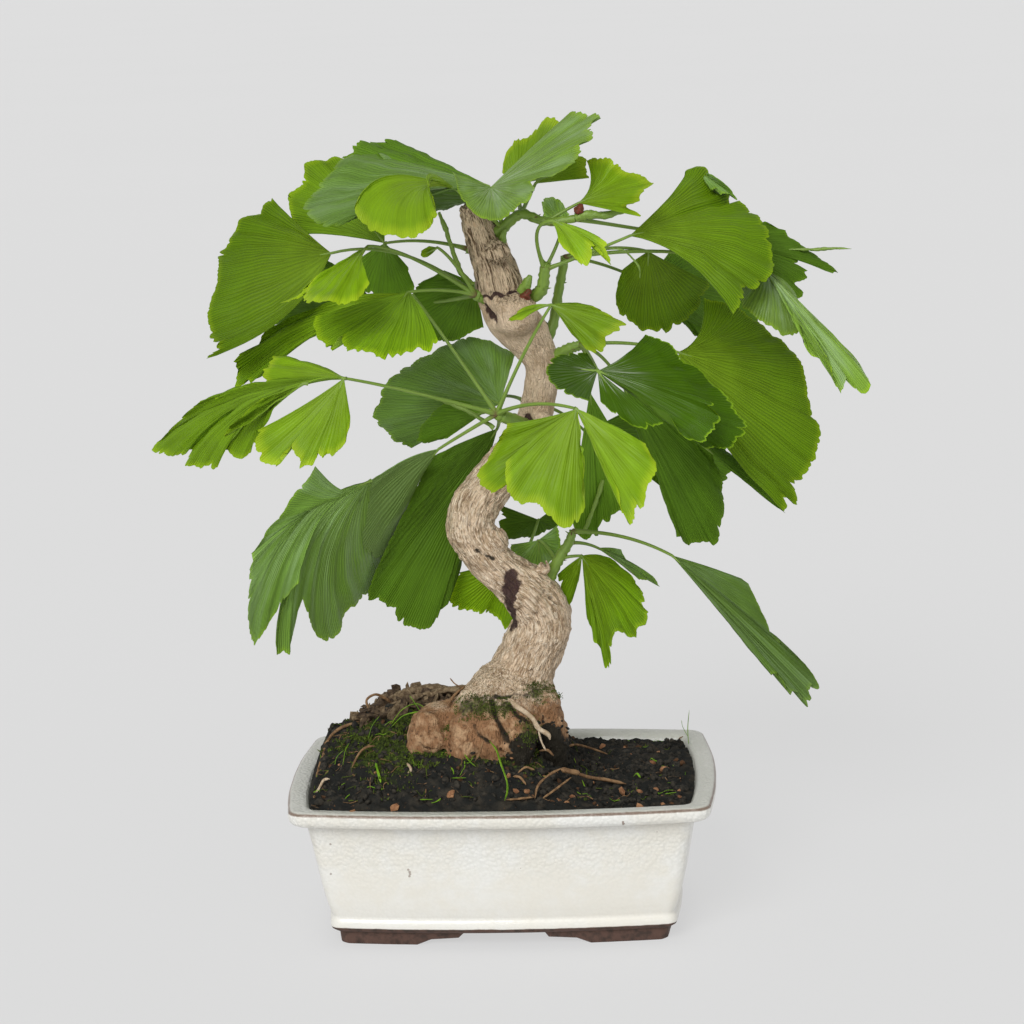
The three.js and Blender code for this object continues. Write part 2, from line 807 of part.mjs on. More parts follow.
// A tapering limb along a smooth line of [x, y, z, radius]; extra widens and lengthens it, bumps
// knots it.
function limb(line, sides, ringCount, extra, bumps) {
  const curve = new THREE.CatmullRomCurve3(line.map(([x, y, z]) => new THREE.Vector3(x, y, z)));
  const radii = new THREE.SplineCurve(line.map(([, , , radius], k) => new THREE.Vector2(k, radius)));
  const rings = [];
  let across = new THREE.Vector3(0, 1, 0);
  for (let ring = 0; ring <= ringCount; ring += 1) {
    const along = ring / ringCount;
    const centre = curve.getPoint(along);
    const tangent = curve.getTangent(along);
    across = across.clone().addScaledVector(tangent, -across.dot(tangent)).normalize();
    const side = new THREE.Vector3().crossVectors(tangent, across);
    const radius = radii.getPoint(along).y;
    const lengthwise = extra * (Number(ring === ringCount) - Number(ring === 0));
    centre.addScaledVector(tangent, lengthwise);
    const points = [];
    for (let corner = 0; corner < sides; corner += 1) {
      const angle = (2 * Math.PI * corner) / sides;
      const reach = radius * (1 + bumps * knotting(angle, along)) + extra;
      const point = centre.clone().addScaledVector(across, reach * Math.cos(angle));
      points.push(point.addScaledVector(side, reach * Math.sin(angle)));
    }
    rings.push(points);
  }
  return loft(rings);
}

// Gentle ridges and knots that run round and along a limb, between -1 and 1.
function knotting(angle, along) {
  return KNOTS.reduce(
    (sum, [share, round, lengthwise]) => sum + share * Math.sin(round * angle + lengthwise * along),
    0,
  );
}

// ---- pot ----------------------------------------------------------------------------------

// The pot's rounded outline with bowed sides, inset from the rim's outer line, at one height.
function potOutline(inset, height) {
  const length = POT.halfLength - inset;
  const depth = POT.halfDepth - inset;
  const bowLong = POT.bowLong * (depth / POT.halfDepth);
  const bowShort = POT.bowShort * (length / POT.halfLength);
  const tightened = POT.cornerRadius - inset * POT.cornerTightening;
  const radius = Math.max(tightened, POT.smallestRadius);
  const cornerX = length - bowShort - radius;
  const cornerY = depth - bowLong - radius;
  const points = [];
  for (let quarter = 0; quarter < 4; quarter += 1) {
    const signX = quarter === 0 || quarter === 3 ? 1 : -1;
    const signY = quarter < 2 ? 1 : -1;
    const start = (quarter * Math.PI) / 2;
    for (let step = 0; step <= OUTLINE.cornerPoints; step += 1) {
      const angle = start + (step / OUTLINE.cornerPoints) * (Math.PI / 2);
      const x = signX * cornerX + radius * Math.cos(angle);
      const y = signY * cornerY + radius * Math.sin(angle);
      points.push(new THREE.Vector3(x, y, height));
    }
    const alongX = quarter % 2 === 0;
    const count = alongX ? OUTLINE.sidePoints : OUTLINE.endPoints;
    for (let step = 1; step < count; step += 1) {
      const share = 1 - (2 * step) / count;
      const bulge = 1 - share * share;
      if (alongX) {
        const y = signY * (cornerY + radius + bowLong * bulge);
        points.push(new THREE.Vector3(signX * share * cornerX, y, height));
      } else {
        const x = signX * (cornerX + radius + bowShort * bulge);
        points.push(new THREE.Vector3(x, signY * share * cornerY, height));
      }
    }
  }
  return points;
}

// A bar with the given section [across, height] on both sides of the middle, along X or Y.
function gapBar(section, alongX) {
  const shape = new THREE.Shape();
  const mirrored = section.map(([across, height]) => [-across, height]).reverse();
  [...section, ...mirrored].forEach(([across, height], index) => {
    if (index === 0) {
      shape.moveTo(across, height);
    } else {
      shape.lineTo(across, height);
    }
  });
  shape.closePath();
  const reach = 2 * POT.halfLength;
  const bar = new THREE.ExtrudeGeometry(shape, { depth: reach, bevelEnabled: false });
  bar.translate(0, 0, -reach / 2);
  bar.rotateX(Math.PI / 2);
  if (alongX) {
    bar.rotateZ(Math.PI / 2);
  }
  return solidFrom(bar);
}

// The ring of four feet, cut through at the middle of each side.
function feet() {
  const inset = POT.outside[0][1] + POT.footSetback;
  const innerInset = inset + POT.footWidth;
  const top = POT.footHeight + POT.footLap;
  const outer = loft([potOutline(inset + POT.footSetback, 0), potOutline(inset, top)]);
  const inner = loft([potOutline(innerInset, -1), potOutline(innerInset, POT.footHeight)]);
  const ring = outer.subtract(inner);
  return ring.subtract(gapBar(FOOT_GAP_LONG, false)).subtract(gapBar(FOOT_GAP_SHORT, true));
}

function drainHole(x) {
  const height = 3 * POT.floorTop;
  const hole = new THREE.CylinderGeometry(POT.drainRadius, POT.drainRadius, height, POT.drainSides);
  hole.rotateX(Math.PI / 2);
  hole.translate(x, 0, 0);
  return solidFrom(hole);
}

function pot() {
  const profile = [...POT.outside, ...POT.rim, ...POT.inside];
  const shell = loft(profile.map(([height, inset]) => potOutline(inset, height)));
  const body = shell.add(feet());
  return body.subtract(drainHole(-POT.drainAt)).subtract(drainHole(POT.drainAt));
}

// ---- drainage screens -----------------------------------------------------------------------

function screenPlate(side, bottom, top, x) {
  const shape = new THREE.Shape();
  shape.moveTo(-side / 2, -side / 2);
  shape.lineTo(side / 2, -side / 2);
  shape.lineTo(side / 2, side / 2);
  shape.lineTo(-side / 2, side / 2);
  shape.closePath();
  const plate = new THREE.ExtrudeGeometry(shape, { depth: top - bottom, bevelEnabled: false });
  plate.translate(x, 0, bottom);
  return solidFrom(plate);
}

function screen(x) {
  const bottom = POT.floorTop + CLEARANCE;
  const top = bottom + SCREEN.thickness;
  let plate = screenPlate(SCREEN.side, bottom, top, x);
  for (let row = 0; row < SCREEN.count; row += 1) {
    for (let column = 0; column < SCREEN.count; column += 1) {
      const hole = new THREE.BoxGeometry(SCREEN.hole, SCREEN.hole, 4 * SCREEN.thickness);
      const middle = (SCREEN.count - 1) / 2;
      hole.translate(x + (column - middle) * SCREEN.pitch, (row - middle) * SCREEN.pitch, bottom);
      plate = plate.subtract(solidFrom(hole));
    }
  }
  return plate;
}

// ---- soil -----------------------------------------------------------------------------------

function smoothstep(low, high, value) {
  return THREE.MathUtils.smoothstep(value, low, high);
}

function rise([from, to], value) {
  return THREE.MathUtils.smoothstep(value, from, to);
}

// The root ball's top: low by the rim, steep at the left end, highest behind the trunk's left.
function soilHeight(x, y) {
  const leftEnd = THREE.MathUtils.lerp(rise(SOIL.leftSlope, x), rise(SOIL.leftStep, x), SOIL.leftStepShare);
  const front = THREE.MathUtils.lerp(rise(SOIL.frontSlope, y), rise(SOIL.frontStep, y), SOIL.frontStepShare);
  const right = 1 - rise(SOIL.rightSlope, x);
  const back = 1 - rise(SOIL.backSlope, y);
  const crumbs = Math.sin(0.9 * x + 0.5 * y) * Math.sin(0.31 * x - 0.8 * y);
  return SOIL.level + SOIL.moundHeight * leftEnd * right * front * back + SOIL.crumb * crumbs;
}

function soil(trunkHollow) {
  const below = POT.inside.slice(1).reverse();
  const rings = below.map(([height, inset]) => {
    const lift = height === POT.floorTop ? CLEARANCE : 0;
    return potOutline(inset + CLEARANCE, height + lift);
  });
  const edge = potOutline(POT.inside[0][1] + 2 * CLEARANCE, SOIL.level - SOIL.edgeDrop);
  rings.push(edge);
  for (const share of SOIL.rings) {
    rings.push(edge.map((point) => {
      const x = point.x * share;
      const y = point.y * share;
      return new THREE.Vector3(x, y, soilHeight(x, y));
    }));
  }
  const room = SCREEN.side + 2 * CLEARANCE;
  const screenTop = POT.floorTop + 2 * CLEARANCE + SCREEN.thickness;
  let ball = loft(rings).subtract(trunkHollow);
  for (const x of [-POT.drainAt, POT.drainAt]) {
    ball = ball.subtract(screenPlate(room, POT.floorTop, screenTop, x));
  }
  return largestBody(ball);
}

// ---- trunk ----------------------------------------------------------------------------------

function trunk(extra) {
  const stem = limb(TRUNK_LINE, TRUNK_SIDES, TRUNK_RINGS, extra, TRUNK_BUMPS);
  const roots = ROOTS.map((line) => limb(line, ROOT_SIDES, ROOT_RINGS, extra, ROOT_BUMPS));
  return joined([stem, ...roots]);
}

// ---- leaves ---------------------------------------------------------------------------------

function vector([x, y, z]) {
  return new THREE.Vector3(x, y, z);
}

// How far a vein is cut short at a place along the edge, as a share of its length.
function cutDepth(leaf, place) {
  const slits = leaf.cuts.map(([at, depth, half]) => {
    return depth * Math.max(0, 1 - Math.abs(place - at) / half);
  });
  const phase = leaf.base[0] * TEETH_PHASE[0] + leaf.base[2] * TEETH_PHASE[1];
  const turn = 2 * Math.PI * place;
  const coarse = 0.5 + 0.5 * Math.sin(TEETH.coarseWaves * turn + phase);
  const fine = 0.5 + 0.5 * Math.sin(TEETH.fineWaves * turn + 2 * phase);
  const tooth = TEETH.depth * (TEETH.coarseShare * coarse + TEETH.fineShare * fine);
  return Math.max(tooth, ...slits);
}

// A point on the blade: place runs along the edge from 0 to 1, reach from the base to the edge.
function bladePoint(leaf, edge, place, reach) {
  const base = vector(leaf.base);
  const axis = base.clone().sub(vector(leaf.bend)).normalize();
  const tip = edge.getPoint(place);
  const straight = tip.clone().sub(base);
  const length = straight.length();
  const flare = THREE.MathUtils.lerp(leaf.flare[0], leaf.flare[1], place);
  const heading = axis.multiplyScalar(1 - flare).addScaledVector(straight, flare / length);
  const bow = base.clone().addScaledVector(heading.normalize(), length / 2).add(vector(leaf.arch));
  const vein = new THREE.QuadraticBezierCurve3(base, bow, tip);
  return vein.getPoint(reach);
}

function bladeNormal(leaf, edge, place, reach) {
  const near = Math.max(reach, NORMAL_FROM);
  const left = bladePoint(leaf, edge, Math.max(place - NORMAL_STEP, 0), near);
  const right = bladePoint(leaf, edge, Math.min(place + NORMAL_STEP, 1), near);
  const inner = bladePoint(leaf, edge, place, near - NORMAL_STEP);
  const outer = bladePoint(leaf, edge, place, Math.min(near + NORMAL_STEP, 1));
  return right.sub(left).cross(outer.sub(inner)).normalize();
}

function bladeEdge(leaf) {
  return new THREE.CatmullRomCurve3(leaf.edge.map(vector), false, 'catmullrom', 0.5);
}

// The fan-shaped blade, with the same triangles on both of its faces.
function blade(leaf) {
  const edge = bladeEdge(leaf);
  const length = edge.getPoint(0.5).distanceTo(vector(leaf.base));
  const fan = FANS.find(({ longerThan }) => length > longerThan);
  const ruffle = RUFFLE.height * Math.min(length / RUFFLE.fullLength, 1);
  const upper = [];
  const lower = [];
  const firsts = [];
  fan.segments.forEach((segments, ring) => {
    firsts.push(upper.length);
    for (let column = 0; column <= segments; column += 1) {
      const place = column / segments;
      const reach = fan.at[ring] * (1 - cutDepth(leaf, place));
      const normal = bladeNormal(leaf, edge, place, reach);
      const wave = Math.sin(2 * Math.PI * RUFFLE.waves * place + leaf.base[0]);
      const point = bladePoint(leaf, edge, place, reach);
      point.addScaledVector(normal, ruffle * wave * reach * reach);
      upper.push(point.clone().addScaledVector(normal, BLADE_THICKNESS / 2));
      lower.push(point.clone().addScaledVector(normal, -BLADE_THICKNESS / 2));
    }
  });
  const face = [];
  for (let ring = 0; ring < fan.segments.length - 1; ring += 1) {
    const doubled = fan.segments[ring + 1] > fan.segments[ring];
    for (let column = 0; column < fan.segments[ring]; column += 1) {
      const here = firsts[ring] + column;
      const out = firsts[ring + 1] + (doubled ? 2 * column : column);
      face.push([here, here + 1, out + 1]);
      face.push([here, out + 1, out]);
      if (doubled) {
        face.push([here + 1, out + 2, out + 1]);
      }
    }
  }
  const under = upper.length;
  const triangles = [...face, ...face.map(([a, b, c]) => [a + under, c + under, b + under])];
  for (const [from, to] of border(fan.segments, firsts)) {
    triangles.push([from, to + under, to]);
    triangles.push([from, from + under, to + under]);
  }
  return closedSolid([...upper, ...lower], triangles);
}

// The border of a blade's face, as pairs of neighbouring points in the face's own direction.
function border(segments, firsts) {
  const pairs = [];
  const last = segments.length - 1;
  for (let column = 0; column < segments[0]; column += 1) {
    pairs.push([column, column + 1]);
  }
  for (let ring = 0; ring < last; ring += 1) {
    pairs.push([firsts[ring] + segments[ring], firsts[ring + 1] + segments[ring + 1]]);
    pairs.push([firsts[ring + 1], firsts[ring]]);
  }
  for (let column = segments[last]; column > 0; column -= 1) {
    pairs.push([firsts[last] + column, firsts[last] + column - 1]);
  }
  return pairs;
}

// The stalk, from inside the shoot, round its bend and on along the blade's middle vein.
function stalk(leaf) {
  const start = vector(leaf.stalk);
  const bend = vector(leaf.bend);
  const base = vector(leaf.base);
  const middle = new THREE.QuadraticBezierCurve3(start, bend, base).getPoint(0.5);
  const edge = bladeEdge(leaf);
  const tip = bladePoint(leaf, edge, 0.5, STALK_TIP / edge.getPoint(0.5).distanceTo(base));
  const [thick, thin] = STALK_RADIUS;
  const line = [
    [...start.toArray(), thick],
    [...middle.toArray(), (thick + thin) / 2],
    [...base.toArray(), thin],
    [...tip.toArray(), thin * STALK_TIP_TAPER],
  ];
  return limb(line, STALK_SIDES, STALK_RINGS, 0, 0);
}

// The foot of a lobe without a stalk of its own, which ties it to its neighbour's stalk.
function lobeFoot(leaf, order) {
  const base = vector(leaf.base);
  const back = base.clone().sub(vector(leaf.bend)).setLength(LOBE_FOOT_BACK);
  const edge = bladeEdge(leaf);
  const tip = bladePoint(leaf, edge, 0.5, STALK_TIP / edge.getPoint(0.5).distanceTo(base));
  const radius = STALK_RADIUS[1] - LOBE_FOOT_SLIMMING[order % LOBE_FOOT_SLIMMING.length];
  const line = [base.clone().sub(back), base, tip].map((point) => [...point, radius]);
  return limb(line, LOBE_FOOT_SIDES, LOBE_FOOT_RINGS, 0, 0);
}

// One leafy shoot: the green stem with the stalks and blades that grow from it, in one piece.
function shoot({ path, radii, leaves }, trunkHollow) {
  const [thick, thin] = radii;
  const line = path.map((point, index) => {
    const share = index / (path.length - 1);
    return [...point, THREE.MathUtils.lerp(thick, thin, share)];
  });
  const stem = limb(line, SHOOT_SIDES, SHOOT_RINGS, 0, 0);
  const stalks = leaves.map((leaf, order) => (leaf.stalk ? stalk(leaf) : lobeFoot(leaf, order)));
  const whole = joined([stem, ...stalks, ...leaves.map(blade)]);
  return largestBody(whole.subtract(trunkHollow));
}

// ---- the whole bonsai -----------------------------------------------------------------------

const glaze = finish(0xe9e6da, 0.25);
const bark = finish(0xb49b7c, 0.85);
const earth = finish(0x26201b, 0.95);
const foliage = finish(0x4d8424, 0.55);
const plastic = finish(0x1d1d1d, 0.6);

const bonsai = new THREE.Group();
const trunkHollow = trunk(CLEARANCE);
bonsai.add(namedMesh('pot', pot(), glaze));
bonsai.add(namedMesh('drain_screen_left', screen(-POT.drainAt), plastic));
bonsai.add(namedMesh('drain_screen_right', screen(POT.drainAt), plastic));
bonsai.add(namedMesh('soil', soil(trunkHollow), earth));
bonsai.add(namedMesh('trunk', trunk(0), bark));
for (const [place, parts] of Object.entries(SHOOTS)) {
  bonsai.add(namedMesh(`shoot_${place}`, shoot(parts, trunkHollow), foliage));
}

export default bonsai;
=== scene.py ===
"""A ginkgo bonsai in its glazed pot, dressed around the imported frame."""

import logging
import math
import random
from dataclasses import dataclass, field
from enum import Enum
from typing import Any, Iterable, Optional, Sequence, Union

import bpy
import numpy as np
from mathutils import Matrix, Vector, noise


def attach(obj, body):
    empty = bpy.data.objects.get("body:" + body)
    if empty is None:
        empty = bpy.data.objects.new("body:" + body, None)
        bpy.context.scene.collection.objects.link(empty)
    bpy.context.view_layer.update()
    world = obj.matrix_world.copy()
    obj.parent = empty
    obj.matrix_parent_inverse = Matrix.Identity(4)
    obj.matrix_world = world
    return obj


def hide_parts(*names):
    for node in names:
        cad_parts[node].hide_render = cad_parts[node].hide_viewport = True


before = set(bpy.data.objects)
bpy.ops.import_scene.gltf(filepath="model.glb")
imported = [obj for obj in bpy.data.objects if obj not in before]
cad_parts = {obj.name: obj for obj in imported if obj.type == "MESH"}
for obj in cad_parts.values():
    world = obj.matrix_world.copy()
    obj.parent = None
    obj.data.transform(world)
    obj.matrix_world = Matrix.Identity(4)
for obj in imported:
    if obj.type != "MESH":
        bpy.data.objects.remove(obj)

LOG = logging.getLogger("bonsai")
MM = 0.001  # metres in a millimetre
BODY = "root"
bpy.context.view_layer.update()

Point = tuple[float, float, float]
Colour = tuple[float, float, float]
Operand = Union["Value", float]


# ---- shader maths ---------------------------------------------------------------------------


class Value:
    """A shader output that can be used in sums; each operator adds one Math node."""

    def __init__(self, graph: "Graph", socket: bpy.types.NodeSocket) -> None:
        """Wraps one output socket of a graph."""
        self.graph = graph
        self.socket = socket

    def _math(self, operation: str, first: Operand, second: Operand = 0.0) -> "Value":
        """Adds a Math node.

        Args:
            operation: the node's operation.
            first: its first operand.
            second: its second operand.

        Returns:
            The node's result.
        """
        return self.graph.add("ShaderNodeMath", {"operation": operation}, {0: first, 1: second})

    def __add__(self, other: Operand) -> "Value":
        """Returns self + other."""
        return self._math("ADD", self, other)

    __radd__ = __add__

    def __sub__(self, other: Operand) -> "Value":
        """Returns self - other."""
        return self._math("SUBTRACT", self, other)

    def __rsub__(self, other: float) -> "Value":
        """Returns other - self."""
        return self._math("SUBTRACT", other, self)

    def __mul__(self, other: Operand) -> "Value":
        """Returns self * other."""
        return self._math("MULTIPLY", self, other)

    __rmul__ = __mul__

    def power(self, exponent: float) -> "Value":
        """Returns self raised to a power."""
        return self._math("POWER", self, exponent)

    def sine(self) -> "Value":
        """Returns the sine of self, in radians."""
        return self._math("SINE", self)

    def floor(self) -> "Value":
        """Returns self rounded down."""
        return self._math("FLOOR", self)

    def log2(self) -> "Value":
        """Returns the logarithm of self to base 2."""
        return self._math("LOGARITHM", self, 2.0)

    def at_most(self, other: Operand) -> "Value":
        """Returns the smaller of self and other."""
        return self._math("MINIMUM", self, other)

    def at_least(self, other: Operand) -> "Value":
        """Returns the larger of self and other."""
        return self._math("MAXIMUM", self, other)

    def rise(self, low: float, high: float) -> "Value":
        """Returns a smooth step from 0 at low to 1 at high; low may be above high."""
        settings = {"interpolation_type": "SMOOTHSTEP"}
        if low < high:
            return self.graph.add("ShaderNodeMapRange", settings, {0: self, 1: low, 2: high})
        sockets = {0: self, 1: high, 2: low, 3: 1.0, 4: 0.0}
        return self.graph.add("ShaderNodeMapRange", settings, sockets)


class Graph:
    """Builds one material's node tree."""

    def __init__(self, name: str) -> None:
        """Starts an empty material of that name."""
        self.material = bpy.data.materials.new(name)
        self.material.use_nodes = True
        self.tree = self.material.node_tree
        self.tree.nodes.clear()

    def add(
        self,
        kind: str,
        settings: Optional[dict[str, Any]] = None,
        sockets: Optional[dict[Union[int, str], Any]] = None,
        output: Union[int, str] = 0,
    ) -> Value:
        """Adds one node.

        Args:
            kind: the node's type.
            settings: its properties; "stops" holds a ramp's (place, colour) pairs.
            sockets: values or links for its inputs, by number or name.
            output: which output to return.

        Returns:
            That output of the node.
        """
        node = self.tree.nodes.new(kind)
        for key, value in (settings or {}).items():
            if key == "stops":
                self._set_stops(node.color_ramp, value)
            else:
                setattr(node, key, value)
        for key, value in (sockets or {}).items():
            if isinstance(value, Value):
                self.tree.links.new(value.socket, node.inputs[key])
            elif isinstance(value, tuple) and node.inputs[key].type == "RGBA":
                node.inputs[key].default_value = (*value, 1.0)
            else:
                node.inputs[key].default_value = value
        return Value(self, node.outputs[output])

    @staticmethod
    def _set_stops(ramp: bpy.types.ColorRamp, stops: Sequence[tuple[float, Colour]]) -> None:
        """Gives a colour ramp its stops."""
        while len(ramp.elements) < len(stops):
            ramp.elements.new(1.0)
        for element, (place, colour) in zip(ramp.elements, stops):
            element.position = place
            element.color = (*colour, 1.0)

    def place(self) -> Value:
        """Returns the point's place in the frame, in metres."""
        return self.add("ShaderNodeTexCoord", output="Object")

    def axis(self, index: int) -> Value:
        """Returns the place along one axis, in millimetres."""
        split = self.add("ShaderNodeSeparateXYZ", {}, {0: self.place()}, output=index)
        return split * (1 / MM)

    def stored(self, name: str) -> Value:
        """Returns a number stored at the mesh's points."""
        return self.add("ShaderNodeAttribute", {"attribute_name": name}, output="Fac")

    def vector(self, x: Operand, y: Operand, z: Operand = 0.0) -> Value:
        """Returns a vector made of three values."""
        return self.add("ShaderNodeCombineXYZ", {}, {0: x, 1: y, 2: z})

    def noise(self, size: float, detail: float = 2.0, at: Optional[Value] = None) -> Value:
        """Adds a noise.

        Args:
            size: width of its lumps in millimetres, or in the units of at.
            detail: number of finer layers.
            at: the vector that it is read at, in place of the point's place.

        Returns:
            The noise, between 0 and 1 and mostly near 0.5.
        """
        scale = 1 / size if at else 1 / (size * MM)
        sockets = {"Vector": at or self.place(), "Scale": scale, "Detail": detail}
        return self.add("ShaderNodeTexNoise", {}, sockets, output="Fac")

    def cells(self, size: float) -> Value:
        """Returns the distance from the nearest middle of many cells of that size."""
        sockets = {"Vector": self.place(), "Scale": 1 / (size * MM)}
        return self.add("ShaderNodeTexVoronoi", {}, sockets, output="Distance")

    def near(self, centre: Point, radius: float) -> Value:
        """Returns 1 at a point given in millimetres, falling to 0 at a radius round it."""
        centre_m = tuple(part * MM for part in centre)
        distance = self.add(
            "ShaderNodeVectorMath",
            {"operation": "DISTANCE"},
            {0: self.place(), 1: centre_m},
            "Value",
        )
        return distance.rise(radius * MM, radius * MM * 0.35)

    def mix(self, first: Any, second: Any, factor: Operand) -> Value:
        """Returns a colour between first and second."""
        sockets = {0: factor, 6: first, 7: second}
        return self.add("ShaderNodeMix", {"data_type": "RGBA"}, sockets, output=2)

    def tinted(self, colour: Any, tint: Any, factor: Operand = 1.0) -> Value:
        """Returns a colour multiplied by a tint."""
        settings = {"data_type": "RGBA", "blend_type": "MULTIPLY"}
        return self.add("ShaderNodeMix", settings, {0: factor, 6: colour, 7: tint}, output=2)

    def bump(self, height: Value, depth: float, strength: float = 1.0) -> Value:
        """Returns the normal bent by a height between 0 and 1 that stands for depth millimetres."""
        sockets = {"Height": height, "Distance": depth * MM, "Strength": strength}
        return self.add("ShaderNodeBump", {}, sockets)

    def finish(self, sockets: dict[str, Any]) -> bpy.types.Material:
        """Ends the material with a Principled shader that has these inputs."""
        shader = self.add("ShaderNodeBsdfPrincipled", {}, sockets)
        output = self.tree.nodes.new("ShaderNodeOutputMaterial")
        self.tree.links.new(shader.socket, output.inputs["Surface"])
        return self.material


# ---- finishes -------------------------------------------------------------------------------


class LeafTone(Enum):
    """The kinds of leaf by age and light: each has its own colours."""

    MATURE = "mature"
    LUSH = "lush"
    SHADED = "shaded"
    YOUNG = "young"
    # whitish leaves: partly a paler tone, partly painted sheen
    FROSTED_SHEEN = "frosted_sheen"
    GLOSSY = "glossy"
    TEAL = "teal"


@dataclass(frozen=True)
class LeafFinish:
    """A ribbed ginkgo blade whose colour runs from its base to its edge."""

    name: str
    heart: Colour
    middle: Colour
    edge: Colour
    under: Colour
    roughness: float
    ribs: float = 0.2
    border: float = 2.4  # the width of the paler edge
    # strength of the frosted streaks: partly a paler tone, partly painted sheen
    frost_sheen: float = 0.0
    gloss: float = 0.1
    # strength of the pale streaks at the heart, a painted highlight
    painted_shine: float = 0.0

    RIB_STEP = 1.05  # millimetres between ribs at the edge

    def make(self) -> bpy.types.Material:
        """Returns the material."""
        graph = Graph(self.name)
        across = graph.stored("across_mm")
        reach = graph.stored("reach").at_least(0.02)
        inland = graph.stored("inland_mm")
        under = graph.stored("under")
        seed = graph.stored("seed")
        doublings = reach.log2()
        whole = doublings.floor()
        part = (doublings - whole).rise(0.35, 1.0)
        phase = across * (math.tau / self.RIB_STEP)
        power = graph.add("ShaderNodeMath", {"operation": "POWER"}, {0: 2.0, 1: whole})
        coarse = (phase * power).sine()
        fine = (phase * power * 2.0).sine()
        rib = (coarse * (1 - part) + fine * part) * 0.5 + 0.5
        streak_at = graph.vector(across * 0.22, reach * 2.6, seed * 31.0)
        streak = graph.noise(1.0, 3.0, streak_at)
        fine_streak = graph.noise(1.0, 2.0, graph.vector(across * 1.3, reach * 3.0, seed * 17.0))
        blotch = graph.noise(16.0, 3.0)
        along = (reach + (streak - 0.5) * 0.5).rise(0.05, 1.0)
        colour = graph.mix(self.heart, self.middle, along)
        border = inland.rise(self.border, 0.2) * (0.6 + 0.6 * blotch)
        colour = graph.mix(colour, self.edge, border.at_most(1.0))
        shade = 0.34 + 0.56 * streak + 0.42 * blotch + 0.28 * fine_streak
        colour = graph.tinted(colour, graph.vector(shade, shade, shade))
        # ribs: darker vein lines and paler bands between them, partly the veins' own colour and
        # partly painted shade of the pleats
        colour = graph.mix(colour, self.edge, (1 - rib) * self.ribs * (0.4 + reach))
        colour = graph.tinted(colour, (0.52, 0.58, 0.5), rib.power(3.0) * self.ribs * 1.5)
        # frosted streaks: a pale grey-green tint, partly the leaf's paler tone and partly painted
        # sheen
        if self.frost_sheen:
            frost_sheen = graph.noise(1.0, 4.0, graph.vector(across * 0.12, reach * 1.5, seed * 11.0))
            frost_sheen_streaks = frost_sheen.rise(0.42, 0.72) * self.frost_sheen
            colour = graph.mix(colour, (0.3, 0.42, 0.24), frost_sheen_streaks)
        # painted highlight: pale streaks near the base stand in for the leaf's sheen
        if self.painted_shine:
            strands = graph.noise(1.0, 3.0, graph.vector(across * 0.9, reach * 1.4, seed * 23.0))
            painted_shine_streaks = strands.rise(0.53, 0.64) * reach.rise(0.55, 0.06) * self.painted_shine
            colour = graph.mix(colour, (0.56, 0.62, 0.5), painted_shine_streaks)
        colour = graph.mix(colour, self.under, under * 0.85)
        # each leaf's shade: partly its own depth of colour, partly painted light and shade
        depth = graph.stored("shade")
        colour = graph.tinted(colour, graph.vector(depth, depth, depth))
        rough = self.roughness + 0.16 * (streak - 0.5) + 0.1 * under
        height = rib * 0.65 + fine_streak * 0.4 + streak * 0.6 + blotch * 1.5
        normal = graph.bump(height, 0.12 + 1.1 * self.ribs, 0.9)
        return graph.finish(
            {
                "Base Color": colour,
                "Roughness": rough,
                "Normal": normal,
                "Specular IOR Level": self.gloss,
            }
        )


LEAF_FINISHES: dict[LeafTone, LeafFinish] = {
    LeafTone.MATURE: LeafFinish("leaf_mature", (0.16, 0.27, 0.01), (0.1, 0.205, 0.003),
        (0.2, 0.33, 0.006), (0.14, 0.235, 0.02), 0.45, ribs=0.27),
    LeafTone.LUSH: LeafFinish("leaf_lush", (0.15, 0.27, 0.016), (0.14, 0.27, 0.006),
        (0.26, 0.42, 0.008), (0.18, 0.3, 0.03), 0.48, ribs=0.2, border=4.0),
    LeafTone.SHADED: LeafFinish("leaf_shaded", (0.085, 0.17, 0.014), (0.075, 0.16, 0.008),
        (0.11, 0.21, 0.01), (0.11, 0.2, 0.03), 0.5, ribs=0.2),
    LeafTone.YOUNG: LeafFinish("leaf_young", (0.22, 0.37, 0.015), (0.2, 0.37, 0.004),
        (0.37, 0.54, 0.012), (0.27, 0.41, 0.03), 0.44, ribs=0.06, border=5.5, gloss=0.16,
        painted_shine=0.12),
    LeafTone.FROSTED_SHEEN: LeafFinish("leaf_frosted_sheen", (0.17, 0.28, 0.06), (0.15, 0.27, 0.028),
        (0.24, 0.4, 0.015), (0.16, 0.27, 0.045), 0.42, ribs=0.2, frost_sheen=0.45, gloss=0.25,
        painted_shine=0.45),
    # its glossy look comes mostly from the painted highlight streaks, not from the shader's gloss
    LeafTone.GLOSSY: LeafFinish("leaf_glossy", (0.07, 0.15, 0.006), (0.05, 0.125, 0.001),
        (0.24, 0.42, 0.012), (0.08, 0.16, 0.01), 0.36, ribs=0.06, border=1.2, gloss=0.1, painted_shine=0.8),
    LeafTone.TEAL: LeafFinish("leaf_teal", (0.13, 0.23, 0.04), (0.11, 0.21, 0.03),
        (0.17, 0.3, 0.02), (0.14, 0.23, 0.055), 0.42, ribs=0.22, frost_sheen=0.25, gloss=0.2),
}


